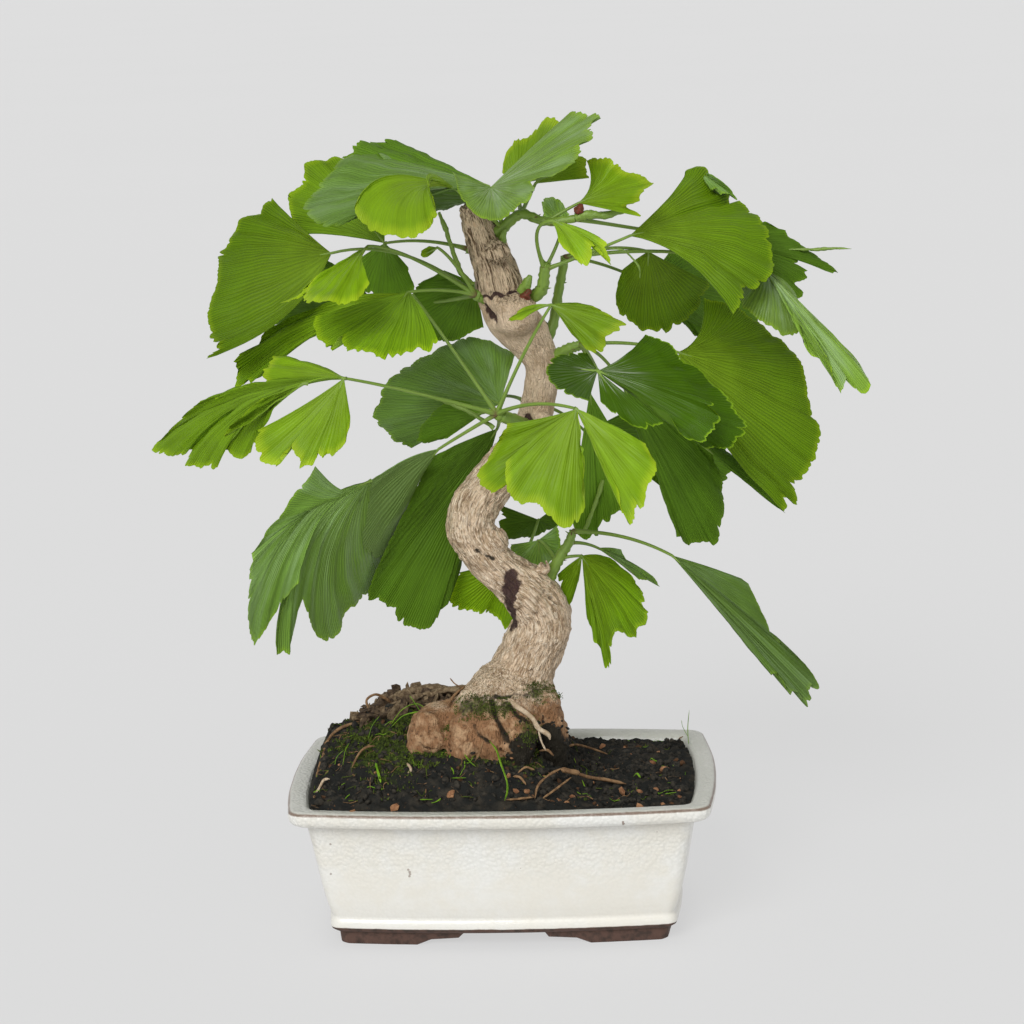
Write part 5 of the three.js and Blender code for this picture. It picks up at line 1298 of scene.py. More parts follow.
CENTRE_LEAVES: tuple[Leaf, ...] = (
    Leaf("long_stalk", LeafTone.MATURE, stalk=(2, -11, 218), bend=(-16, -7, 246),
        base=(-31.5, 0, 266.5), edge=((-93.5, 15, 250.5), (-97, 15, 248), (-99, 14.5, 244.5),
        (-103, 14, 242.5), (-106, 13.5, 240.5), (-107.5, 13.5, 238.5), (-109, 13, 238),
        (-108.5, 12.5, 234.5), (-109.5, 11.5, 232), (-109, 10.5, 228), (-106, 10, 228),
        (-103.5, 9.5, 231), (-101, 9, 229.5), (-99.5, 8.5, 231), (-95, 8, 233.5)), arch=(0, 0, 12),
        crisp=True, shade=1.45),
    Leaf("far_west_low", LeafTone.LUSH, stalk=(2, -11, 218), bend=(-36, -24, 232),
        base=(-58, -32, 237.5), edge=((-112, -4, 227), (-124, 3, 222.5), (-132.5, 10, 215.5),
        (-140.5, 17, 207), (-144.5, 22, 203), (-147.5, 23, 199.5), (-146, 21.5, 198.5),
        (-141, 17.5, 199), (-137, 13.5, 198.5), (-133, 10, 199.5), (-128, 7.5, 202),
        (-130, 6, 198.5), (-130.5, 4.5, 195.5), (-127, 2.5, 196), (-124, 0, 195), (-120.5, -3, 197),
        (-117, -5.5, 196), (-114, -7, 198.5), (-112.5, -7.5, 201), (-110, -9, 205.5),
        (-106.5, -12.5, 202.5), (-102.5, -16.5, 202), (-99, -21, 206), (-95, -26, 212)),
        arch=(0, 0, 5), flare=(0.9, 0.3), crisp=True, shade=1.1, ruffle=0.6),
    Leaf("far_west_lip", LeafTone.LUSH, bend=(-36, -24, 232), base=(-74, -34, 236),
        edge=((-92, -30, 229.5), (-100.5, -26, 223), (-109, -22, 215), (-109, -22, 212.5),
        (-103.5, -25, 215.5), (-94.5, -31, 223))),
    Leaf("far_west_hang", LeafTone.YOUNG, bend=(-36, -24, 232), base=(-58, -32, 237.5),
        edge=((-92.5, -44, 219), (-94, -45, 213), (-92.5, -46, 207), (-88.5, -47, 205.5),
        (-86, -47, 204), (-83.5, -46.5, 207), (-81.5, -45.5, 210), (-79.5, -45, 212.5),
        (-77.5, -46, 209), (-75.5, -47, 207.5), (-75.5, -48.5, 203.5), (-73, -49, 205),
        (-70.5, -48.5, 205), (-68.5, -48, 210.5), (-66.5, -48.5, 207.5), (-64.5, -49, 209.5),
        (-62.5, -49, 208), (-59, -48.5, 211), (-56.5, -47, 213.5), (-55, -44.5, 218.5),
        (-55, -41.5, 223)), flare=(1.15, 1), crisp=True, shade=0.86, ruffle=0.7),
    Leaf("far_west_back", LeafTone.YOUNG, bend=(-36, -24, 232), base=(-58, -32, 237.5),
        edge=((-93.5, -12, 232.5), (-95, -8, 237.5), (-92.5, -4, 241.5), (-87.5, -2, 243),
        (-78, -5, 241)), arch=(0, 0, 2), shade=0.86),
    Leaf("centre_dark", LeafTone.TEAL, stalk=(2, -11, 218), bend=(3, 2, 218), base=(2.5, 10, 218.5),
        edge=((9, 22, 238.5), (-2, 28.5, 243), (-10.5, 34, 243), (-21.5, 39, 240),
        (-31, 42.5, 234.5), (-40, 45.5, 229.5), (-46, 47, 224), (-49.5, 47, 219),
        (-50.5, 47, 214.5), (-54, 47, 211), (-55.5, 46.5, 208), (-52.5, 44.5, 205),
        (-49, 42, 201.5), (-45.5, 39, 198.5), (-41, 36.5, 197), (-36.5, 34, 197)), arch=(0, 0, 2),
        flare=(1.2, 1.2), crisp=True, shade=1.25),
    Leaf("centre_curl", LeafTone.SHADED, stalk=(2, -11, 218), bend=(-1, -7, 219),
        base=(-3.5, -4, 217.5), edge=((-10.5, 4, 220.5), (-21.5, 8, 220.5), (-32.5, 10, 209),
        (-31.5, 8, 202.5), (-20, 4, 205.5)), shade=1.3),
    Leaf("low_west_wing", LeafTone.TEAL, stalk=(2, -11, 218), bend=(-12, -9, 210),
        base=(-23, -4, 202.5), edge=((-54.5, -21, 188.5), (-59, -14, 175.5), (-54, 4, 154),
        (-45.5, 14, 158.5), (-40.5, 20, 169.5)), arch=(0, 0, 6), shade=1.08, ruffle=0.5),
    Leaf("low_west", LeafTone.TEAL, bend=(-23, -4, 203), base=(-51, -20, 192.5),
        edge=((-71, -35, 202.5), (-74.5, -36.5, 196.5), (-79.5, -38, 191.5), (-83.5, -39.5, 186),
        (-85.5, -40.5, 183), (-90, -42, 178), (-93, -43.5, 174), (-95.5, -44.5, 169.5),
        (-98, -45, 168), (-96.5, -45.5, 166), (-98, -45.5, 161.5), (-98.5, -45.5, 154),
        (-99.5, -45.5, 147.5), (-100, -45, 141.5), (-100, -43, 135), (-98.5, -41, 129),
        (-94.5, -39, 134.5), (-90, -36.5, 141.5), (-80.5, -35, 154), (-85.5, -34, 145),
        (-88.5, -33.5, 137.5), (-91, -32, 128), (-90.5, -30, 121.5), (-88.5, -28, 123),
        (-85.5, -27, 121), (-84.5, -27, 129), (-81.5, -27.5, 138), (-79.5, -26.5, 144.5),
        (-77.5, -23.5, 136.5), (-76.5, -19.5, 130.5), (-75, -15.5, 126), (-73, -11, 123),
        (-69.5, -6.5, 123), (-67, -3, 125.5), (-66.5, -1, 129), (-64, 1.5, 133.5),
        (-61.5, 4.5, 134), (-60, 8.5, 136), (-56.5, 12.5, 138), (-51, 16, 147), (-46, 18.5, 157.5),
        (-40.5, 20, 169.5)), flare=(-1.3, 1), crisp=True, shade=1.32, ruffle=0.45),
    Leaf("low_hanging", LeafTone.SHADED, stalk=(2, -11, 218), bend=(3, 2, 213), base=(1, 8, 208.5),
        edge=((-27, 6, 197), (-37, 5, 178), (-46, 4.5, 162.5), (-52, 5, 149.5), (-56, 5.5, 140),
        (-56, 6, 136), (-53.5, 7, 135), (-50, 7.5, 135), (-48.5, 8, 132.5), (-45.5, 8.5, 131.5),
        (-44, 9, 126), (-41.5, 10, 123.5), (-38, 10.5, 122.5), (-34, 11.5, 121), (-30, 12, 122),
        (-27.5, 12, 126), (-26.5, 13, 129.5), (-23, 14.5, 131.5), (-20, 16, 138.5),
        (-18, 17.5, 146), (-14, 19, 159), (-9.5, 20, 173.5)), arch=(0, 0, 2), flare=(0.9, 0.9),
        crisp=True, shade=1.04, ruffle=0.5),
    Leaf("front_main", LeafTone.YOUNG, stalk=(2, -11, 218), bend=(18, -30, 228),
        base=(35.5, -44, 225), edge=((7, -53, 205.5), (6.5, -55.5, 199), (7.5, -57.5, 194.5),
        (10, -58.5, 191.5), (13, -59.5, 190), (16, -59.5, 190.5), (19, -60, 190), (21, -60.5, 188),
        (22.5, -61, 186), (25, -61.5, 184), (27, -62, 181), (29.5, -62, 180), (32.5, -61.5, 180.5),
        (35, -61, 182), (37, -60, 185), (37, -58.5, 192), (38.5, -57, 199.5), (38, -55, 204)),
        arch=(0, 0, 3), crisp=True, shade=0.8),
    Leaf("front_left", LeafTone.YOUNG, bend=(18, -30, 228), base=(35.5, -44, 225),
        edge=((7, -40, 219), (0.5, -41, 208.5), (-6, -43, 197.5), (0, -46, 192), (9, -48, 195)),
        arch=(0, 0, -2), flare=(1.1, 1.1), shade=0.76),
    Leaf("front_right", LeafTone.YOUNG, bend=(18, -30, 228), base=(35.5, -44, 225),
        edge=((60.5, -49.5, 212.5), (63, -50.5, 211.5), (64.5, -51.5, 208), (66.5, -53, 204.5),
        (67, -54, 201), (65, -55, 197.5), (63, -56, 195.5), (62.5, -56.5, 192.5), (61.5, -57, 187),
        (60, -57.5, 186.5), (59, -57.5, 188.5), (58, -57.5, 185.5), (58, -58, 182.5),
        (56.5, -58, 179.5), (54.5, -57.5, 181.5), (52.5, -56.5, 187), (50.5, -55.5, 193.5)),
        arch=(0, 0, 1), crisp=True, shade=0.92),
    Leaf("young_right", LeafTone.YOUNG, stalk=(2, -11, 218), bend=(15, -22, 248),
        base=(26, -26, 264.5), edge=((37.5, -30, 265.5), (42.5, -31.5, 264.5), (47, -33.5, 262.5),
        (51, -35, 260), (55, -37, 258.5), (56.5, -38, 257), (54, -38.5, 255), (51, -38.5, 254),
        (47.5, -38, 252.5), (47.5, -38, 249), (46, -38, 246), (43, -36.5, 246),
        (39.5, -35.5, 247.5), (37, -34, 250), (34, -33, 252.5)), arch=(0, 0, 1), crisp=True,
        shade=0.68),
    Leaf("young_left", LeafTone.YOUNG, bend=(15, -22, 248), base=(26, -26, 264.5),
        edge=((13.5, -30, 263.5), (7.5, -32, 259), (13.5, -32, 259)), arch=(0, 0, 2), shade=0.8),
)
LOWER_RIGHT_LEAVES: tuple[Leaf, ...] = (
    Leaf("drooping", LeafTone.TEAL, stalk=(32, -6, 167), bend=(54, -16, 169), base=(72.5, -28, 161),
        edge=((100, -48, 155.5), (102.5, -50.5, 154), (104.5, -53, 150), (107.5, -56.5, 144),
        (109.5, -59, 140), (110.5, -61.5, 136.5), (113.5, -64, 133.5), (118, -66.5, 131),
        (121, -69.5, 128.5), (124, -72, 125.5), (126.5, -74.5, 122.5), (128.5, -76, 119),
        (129, -77, 117), (126.5, -76.5, 117), (126, -76, 119), (124.5, -76.5, 116.5),
        (125.5, -77.5, 113), (124, -78, 110), (122.5, -77, 111.5), (121.5, -76, 115),
        (119, -75.5, 116), (117.5, -75, 114), (116, -74, 117), (115, -73, 120), (113, -72, 120.5),
        (113, -71.5, 122.5), (110.5, -70, 121), (108.5, -68, 123), (106, -64.5, 126),
        (103, -60, 132)), arch=(0, 0, 1), flare=(0.9, 1), crisp=True, shade=0.75, ruffle=0.2),
    Leaf("low_fan", LeafTone.MATURE, stalk=(25, -6, 154), bend=(27, -7, 157), base=(35.5, -8, 157),
        edge=((37.5, -15.5, 131.5), (39, -17.5, 127), (40, -19.5, 123), (42, -21, 121.5),
        (42.5, -22, 119), (43.5, -23.5, 117.5), (44, -25, 113), (45.5, -26, 111.5),
        (46.5, -27, 114), (47.5, -27.5, 121.5), (48.5, -28.5, 127), (50.5, -30.5, 130),
        (53, -32.5, 129.5), (54.5, -35, 128.5), (57.5, -36, 128.5), (58, -37, 132),
        (61.5, -37, 134), (62.5, -36.5, 138.5), (60.5, -35, 141), (61.5, -33.5, 143),
        (60.5, -30.5, 146.5), (57.5, -26.5, 150), (53.5, -21, 153.5), (49, -16, 156.5)),
        arch=(0, 0, 3), crisp=True, shade=1.15),
    Leaf("low_fan_left", LeafTone.MATURE, bend=(27, -7, 157), base=(35.5, -8, 157),
        edge=((24.5, -3, 147.5), (26, -2, 140.5), (29.5, -3, 134), (34, -6, 144.5)), arch=(0, 0, 1),
        shade=1.1),
    Leaf("low_edge", LeafTone.TEAL, stalk=(30, -6, 162), bend=(36, -2, 162), base=(42, 2, 158),
        edge=((52, 7, 156), (54, 7, 151.5), (60.5, 8, 147), (66, 8, 143.5), (68, 7, 139.5),
        (63, 5, 142.5), (59.5, 2.5, 144), (55.5, 0, 148.5)), arch=(0, 0, 1), crisp=True, shade=1.3,
        ruffle=0.4),
    Leaf("low_teal", LeafTone.TEAL, stalk=(25, -6, 154), bend=(21, 2, 160), base=(17, 8, 160.5),
        edge=((26, 10, 167), (26, 10, 155), (17, 12, 146.5), (5.5, 14, 148), (4, 16, 157)),
        flare=(1.1, 1.1), shade=1.5),
)
LOWER_BACK_LEAVES: tuple[Leaf, ...] = (
    Leaf("low_back_left", LeafTone.MATURE, stalk=(9, 17, 148), bend=(7, 20, 149), base=(5, 22, 148),
        edge=((-19.5, 24, 143.5), (-23, 26, 128), (-12, 28, 124.5), (-5, 28, 123), (2, 26, 117),
        (8, 24, 129)), flare=(1.1, 1.1), cuts=((0.7, 0.08, 0.05),), shade=1.8),
    Leaf("low_north", LeafTone.SHADED, stalk=(9, 17, 148), bend=(-6, 32, 152),
        base=(-22, 42, 151.5), edge=((-33, 58, 178.5), (-51.5, 68, 158.5), (-59, 76, 131),
        (-49, 79, 114), (-33, 66, 121.5)), arch=(0, 0, 2), cuts=((0.55, 0.2, 0.06),)),
    Leaf("low_behind_trunk", LeafTone.SHADED, stalk=(9, 17, 148), bend=(13, 24, 155),
        base=(16.5, 28, 165), edge=((-1, 32, 171.5), (-0.5, 34, 156.5), (12.5, 34, 156),
        (26.5, 32, 162), (28.5, 30, 173))),
)
BACK_LEAVES: tuple[Leaf, ...] = (
    Leaf("north_low_east", LeafTone.SHADED, stalk=(12, 26, 217), bend=(27, 36, 213),
        base=(37.5, 40, 200.5), edge=((78.5, 56, 215.5), (102.5, 66, 202), (105, 74, 182.5),
        (92.5, 79, 161.5), (82.5, 76, 158)), arch=(0, 0, 2), cuts=((0.5, 0.2, 0.06),), shade=1.3),
    Leaf("north_centre", LeafTone.MATURE, stalk=(12, 26, 217), bend=(6, 36, 219),
        base=(-2.5, 42, 216), edge=((-11.5, 60, 234.5), (-34, 70, 229), (-51.5, 79, 211),
        (-44.5, 76, 196), (-27, 66, 198)), arch=(0, 0, 2), cuts=((0.45, 0.2, 0.06),), shade=1.3),
)
SHOOTS: tuple[Shoot, ...] = (
    Shoot("crown", ((-2, 4, 286), (6, -1, 293), (14, -5, 299), (24, -8, 296), (36, -9, 297)),
        (2.6, 1.6), CROWN_LEAVES),
    Shoot("upper_left", ((1, 5, 263), (-6, 0, 266)), (3.0, 2.2), UPPER_LEFT_LEAVES),
    Shoot("upper_left_back", ((-2, 6, 280), (-9, 8, 284)), (2.0, 1.6), UPPER_LEFT_BACK_LEAVES),
    Shoot("upper_right", ((13, 4, 262), (21, -1, 267), (23, -3, 276), (24, -3, 279)), (3.0, 1.8),
        UPPER_RIGHT_LEAVES),
    Shoot("right_back", ((20, 9, 240), (25, 16, 250), (28, 16, 265), (31, 13, 279)), (2.4, 1.8),
        RIGHT_BACK_LEAVES),
    Shoot("right", ((22, 8, 236), (31, 3, 242), (37, 1, 244)), (2.6, 2.0), RIGHT_LEAVES),
    Shoot("centre", ((15, 5, 209), (8, -8, 215), (2, -11, 218)), (3.0, 2.4), CENTRE_LEAVES),
    Shoot("lower_right", ((20, -3, 144), (25, -6, 154), (30, -6, 162), (32, -6, 167)), (2.8, 1.6),
        LOWER_RIGHT_LEAVES),
    Shoot("lower_back", ((13, 4, 133), (10, 14, 140), (9, 17, 148)), (2.4, 1.8), LOWER_BACK_LEAVES),
    Shoot("back", ((17, 8, 212), (15, 20, 214), (12, 26, 217)), (2.6, 2.0), BACK_LEAVES),
)


# ---- trunk ----------------------------------------------------------------------------------


@dataclass
class Trunk:
    """The trunk: a winding pale stem on swollen surface roots."""

    stem: tuple[tuple[float, float, float, float], ...] = (
        (5, 4, 50, 15), (5, 4, 66, 17.5), (5, 4, 80, 17), (6, 3, 92, 15.2), (9, 2, 105, 13.8),
        (14, 0, 117, 12.8), (18, -2, 129, 12.3), (14, -4, 139, 12), (5, -6, 148, 9.8),
        (-4, -7, 157, 8.8), (-10, -6, 168, 10), (-8, -3, 179, 10), (1, 1, 190, 9.2),
        (11, 5, 202, 8.2), (17, 8, 214, 7.2), (20, 8, 227, 7), (20, 8, 237, 7.6), (15, 7, 247, 9.4),
        (8, 6, 256, 10.2), (5, 5, 265, 9.8), (2, 4, 276, 8.8), (-2, 3, 288, 7.4), (-5, 2, 297, 6),
        (-7, 2, 303, 4.6),
    )
    roots: tuple[tuple[tuple[float, float, float, float], ...], ...] = (
        ((2, -2, 94, 12), (-14, -10, 90, 8.5), (-27, -14, 89, 7.5), (-33, -19, 82, 6.5),
            (-34, -22, 66, 3.5)),
        ((3, -2, 98, 15), (-5, -11, 94, 13), (-11, -18, 87, 11.5), (-14, -22, 78, 9),
            (-15, -23, 64, 5)),
        ((5, -4, 96, 13), (0, -17, 92, 10.5), (-3, -24, 86, 8), (-4, -26, 78, 6),
            (-4, -26, 64, 3.5)),
        ((8, -2, 96, 14), (8, -17, 92, 11), (8, -25, 85, 8.5), (8, -27, 77, 6), (8, -27, 62, 3.5)),
        ((10, 0, 97, 13), (15, -8, 93, 10), (18, -12, 87, 9), (21, -14, 79, 7.5), (23, -14, 60, 4)),
        ((8, 8, 85, 11), (14, 19, 76, 9), (18, 26, 67, 6.5), (20, 30, 54, 4)),
        ((2, 8, 86, 11), (-8, 18, 82, 9), (-18, 26, 77, 7), (-26, 30, 64, 4)),
    )
    knobs: tuple[tuple[float, float, float, float], ...] = (
        (10, -2, 258, 9.6), (20, -1, 213, 4.2), (8, -13, 141, 5.0), (4, -6, 284, 5.0),
        (-28, -23, 83, 6.4), (-30, -21, 91, 4.2), (-12, -24, 83, 7.8), (-3, -19, 98, 5.6),
        (1, -25, 89, 6.2), (7, -20, 95, 7.6), (18, -14, 95, 7.4), (9, -27, 84, 6.6),
        (-14, -19, 95, 5.5), (20, -16, 84, 6.5), (16.5, -9, 139, 5.6), (-1, -9, 164, 6.5),
    )
    voxel: float = 0.85
    sides: int = 28
    lump_depth: float = 0.7
    grain_depth: float = 0.38
    root_depth: float = 1.1
    pits: tuple[Mark, ...] = (
        Mark((20, -14, 142), 2.4, 1.2), Mark((17, -15.5, 137.7), 2.0, 1.0),
        Mark((16.4, -15, 132.9), 2.6, 1.2), Mark((19.7, -14.6, 132.3), 2.0, 0.9),
        Mark((19, -14, 146), 1.9, 1.1), Mark((21.5, -13, 138), 1.6, 0.9),
        Mark((14, -15.5, 130), 1.5, 0.9), Mark((-1.8, -10, 186), 3.0, 1.4),
        Mark((-7.6, -16, 168), 3.2, 1.2), Mark((-1.1, -14.1, 162), 2.4, 1.0),
        Mark((15, -1, 212), 5.0, 1.6),
    )
    pitted: tuple[Mark, ...] = (  # places with many small pits
        Mark((20, -14, 141), 4.5, 0.7), Mark((15.5, -15.5, 133), 3.5, 0.7),
        Mark((0, -10.5, 182.5), 3.6, 0.9), Mark((-6, -15, 171), 3.5, 0.5),
        Mark((0.5, -4, 259), 3.6, 1.0), Mark((3, -5, 264.5), 4.5, 0.6),
        Mark((14, -1, 216), 6.0, 0.7), Mark((10, -1, 222), 5.0, 0.5), Mark((3, -13, 152), 4.0, 0.4),
    )
    grooves: tuple[Groove, ...] = (
        Groove(((-17.9, -18.6, 94.1), (-20.5, -18.9, 89.4), (-23, -18, 83), (-24, -23, 77)), 2.2,
            4.0),
        Groove(((-3.3, -23.5, 99.7), (-2, -27, 95.6), (0.4, -31, 90.8), (2.8, -31, 84)), 1.5, 2.8),
        Groove(((-10.4, -29, 91), (-8, -31, 86.6), (-4.2, -32.5, 84.2)), 1.0, 1.4),
        Groove(((3.3, -24, 98.9), (7.5, -29, 95), (12.8, -30, 92)), 1.1, 1.8),
        Groove(((12, -22, 99), (14, -24, 93), (15, -26, 86), (16, -26, 78)), 1.6, 3.0),
        Groove(((-12, -21, 99.5), (-4, -22, 101), (4, -22.5, 101), (12, -20, 101)), 1.3, 1.2),
        Groove(((6.5, -15.6, 150), (5.4, -15, 141.4), (4.4, -12, 135.8), (5.9, -5, 128.1)), 4.1,
            1.2, True),
        Groove(((-2.8, 0.2, 259.6), (0.4, -3.2, 256.2), (4.2, -4.8, 257.6), (7, -5, 260.5)), 2.6,
            3.0, True),
        Groove(((-5, 0, 264), (-2, -3, 265.6), (0.3, -4, 264.6), (3, -5, 266.9), (6, -5, 265.4),
            (10, -4, 267), (13, -2, 264.6), (15, 0, 265.5), (15, 8, 263)), 1.0, 0.7, True),
        Groove(((13, 1, 215), (16, -1, 212), (22, 0, 211)), 2.0, 1.0, True),
        Groove(((-10, -14, 163), (-6, -16.5, 161), (-1, -15, 158)), 1.0, 0.8),
    )

    PIT_SHADE = 0.62  # how dark a small pit is beside a crease

    def _limb(self, knots: Sequence[Sequence[float]]) -> Surface:
        """Returns one limb as a tube along its middle line, each point of it with its radius."""
        line = through(knots, np.linspace(0, 1, 9 * len(knots)))
        return tube(line[:, :3], line[:, 3], self.sides)

    def _knob(self, centre: Sequence[float]) -> Surface:
        """Makes a closed ball round a swelling of the stem."""
        middle, radius = np.array(centre[:3], float), centre[3]
        share = np.linspace(-1, 1, 9)
        line = middle + np.outer(share * radius * 0.98, (0.2, 0.1, 1.0))
        return tube(line, np.sqrt(np.maximum(1 - share**2, 0.02)) * radius, 16)

    def _read(self, points: np.ndarray) -> dict[str, np.ndarray]:
        """Finds, for each point, how far up the stem it is, and how far beside its middle line.

        Args:
            points: points on the skin.

        Returns:
            along_mm, side_mm and front_mm at the points.
        """
        line = through(self.stem, np.linspace(0, 1, 12 * len(self.stem)))[:, :3]
        tangents, across, other = turns(line)
        steps = np.linalg.norm(np.diff(line, axis=0), axis=1)
        along = np.concatenate([[0], np.cumsum(steps)])
        found = {key: np.zeros(len(points)) for key in ("along_mm", "side_mm", "front_mm")}
        for start in range(0, len(points), 2000):
            part = slice(start, start + 2000)
            offset = points[part, None] - line[None]
            nearest = np.argmin(np.linalg.norm(offset, axis=2), axis=1)
            step = offset[np.arange(len(nearest)), nearest]
            found["along_mm"][part] = along[nearest] + (step * tangents[nearest]).sum(axis=1)
            found["side_mm"][part] = (step * across[nearest]).sum(axis=1)
            found["front_mm"][part] = (step * other[nearest]).sum(axis=1)
        return found

    def _skin(self) -> Surface:
        """Returns the limbs melted together into one skin."""
        limbs = [self._limb(knots) for knots in (self.stem, *self.roots)]
        whole = joined(limbs + [self._knob(knob) for knob in self.knobs])
        mesh = bpy.data.meshes.new("trunk_core")
        mesh.from_pydata(whole.points.tolist(), [], whole.faces)
        core = bpy.data.objects.new("trunk_core", mesh)
        bpy.context.scene.collection.objects.link(core)
        melt = core.modifiers.new("melt", "REMESH")
        melt.mode = "VOXEL"
        melt.voxel_size = self.voxel
        ease = core.modifiers.new("ease", "SMOOTH")
        ease.factor = 0.6
        ease.iterations = 9
        done = core.evaluated_get(bpy.context.evaluated_depsgraph_get()).to_mesh()
        points = np.zeros(len(done.vertices) * 3)
        done.vertices.foreach_get("co", points)
        faces = [tuple(face.vertices) for face in done.polygons]
        bpy.data.objects.remove(core)
        bpy.data.meshes.remove(mesh)
        return Surface(points.reshape(-1, 3), faces)

    def _relief(self, points: np.ndarray, read: dict[str, np.ndarray]) -> np.ndarray:
        """Works out how far the bark stands out, and what its finish reads.

        Args:
            points: points on the smooth skin.
            read: how far along and beside the stem each one is; the painted shade of its folds and
            creases, its scars and its roots are added to it.

        Returns:
            How far it stands out at each point, in millimetres.
        """
        side, front, along = read["side_mm"], read["front_mm"], read["along_mm"]
        height = points[:, 2]
        lumps = rough(points, 11.0, 3, 1.0)
        wander = rough(points, 15.0, 2, 2.0)
        flow = np.stack([side / 2.3 + wander * 2.4, front / 2.3, along / 19.0 + wander], axis=1)
        grain = rough(flow, 1.0, 3, 3.0)
        crack_at = np.stack([side / 1.5, front / 1.5, along / 21.0 + wander], axis=1)
        cracks = rough(crack_at, 1.0, 3, 4.0)
        braid_at = np.stack([side, front, along / 2.6], axis=1) + 2.5 * wander[:, None]
        braid = rough(braid_at, 2.0, 3, 6.0)
        crust = rough(points, 3.0, 3, 5.0)
        knuckles = rough(points, 6.5, 2, 7.0)
        upper = smooth_step(259, 267, height + 3 * lumps)
        root = smooth_step(103, 94, height + 3.5 * crust + 3 * wander)
        bare = smooth_step(207, 216, height) * (1 - upper)
        lower = (1 - upper) * (1 - root) * (1 - 0.85 * bare)
        depth = self.lump_depth * lumps + (self.grain_depth * grain + 0.8 * braid) * lower
        depth += upper * 0.6 * np.clip(cracks * 2.6, -1, 1)
        depth += root * self.root_depth * (0.45 * crust + 0.75 * knuckles)
        for pit in self.pits:
            gap = np.linalg.norm(points - np.array(pit.centre), axis=1)
            depth -= pit.strength * np.clip(1 - gap / pit.radius - 0.3 * crust, 0, 1) ** 0.7
        # marks[False] is the painted shade of the pits and creases, marks[True] the scars
        marks = {True: np.zeros(len(points)), False: np.zeros(len(points))}
        rng = random.Random("pits")
        for place in self.pitted:
            for _ in range(14):
                centre = [part + rng.gauss(0, place.radius * 0.5) for part in place.centre]
                gap = np.linalg.norm(points - np.array(centre), axis=1) / rng.uniform(0.5, 1.3)
                share = np.exp(-((gap / (1 + 0.5 * crust)) ** 2))
                depth -= place.strength * share
                marks[False] = np.maximum(marks[False], share * self.PIT_SHADE)
        for groove in self.grooves:
            line = through(groove.points, np.linspace(0, 1, 7 * len(groove.points)))
            gap = np.min(np.linalg.norm(points[:, None] - line[None], axis=2), axis=1)
            share = np.exp(-((gap / groove.width / (1 + 0.4 * crust)) ** 2))
            depth -= groove.depth * share
            marks[groove.scar] = np.maximum(marks[groove.scar], share)
        read["scar"], read["crease"] = marks[True], marks[False]
        # painted shade where the grain and the braids sink
        read["fold"] = smooth_step(0.1, 0.8, -grain - 1.1 * braid) * lower
        read["root"] = root
        return depth

    def build(self, finish: bpy.types.Material) -> np.ndarray:
        """Makes the trunk.

        Args:
            finish: its bark.

        Returns:
            The points of its skin.
        """
        skin = self._skin()
        read = self._read(skin.points)
        mesh = bpy.data.meshes.new("trunk_normals")
        mesh.from_pydata(skin.points.tolist(), [], skin.faces)
        normals = np.zeros(len(mesh.vertices) * 3)
        mesh.vertices.foreach_get("normal", normals)
        bpy.data.meshes.remove(mesh)
        skin.points += normals.reshape(-1, 3) * self._relief(skin.points, read)[:, None]
        skin.values = read
        dress("trunk_bark", skin, [finish], ["trunk"], sharp=180.0)
        return skin.points


@dataclass(frozen=True)
class Twig:
    """A thin limb of its own: a stub, spike, bud, strip or stalk."""

    name: str
    knots: tuple[tuple[float, float, float, float], ...]
    finish: str = "bark"
    flatten: float = 1.0
    roughness: float = 0.12
    sides: int = 12

    def surface(self) -> Surface:
        """Makes the twig."""
        places = np.linspace(0, 1, 8 * len(self.knots))
        line = through(self.knots, places)
        skin = tube(line[:, :3], np.maximum(line[:, 3], 0.08), self.sides, self.flatten)
        middle = line[:, :3]
        middles = np.vstack([np.repeat(middle, self.sides, axis=0), middle[:1], middle[-1:]])
        out = skin.points - middles
        knobbly = 4 * self.roughness * rough(skin.points, 2.2, 2, 6.0)
        skin.points = middles + out * (1 + knobbly[:, None])
        skin.values["woody"] = np.full(len(skin.points), 0.05)
        skin.values["side_mm"], skin.values["front_mm"] = out[:, 0], out[:, 1]
        return skin


# ---- pot ------------------------------------------------------------------------------------


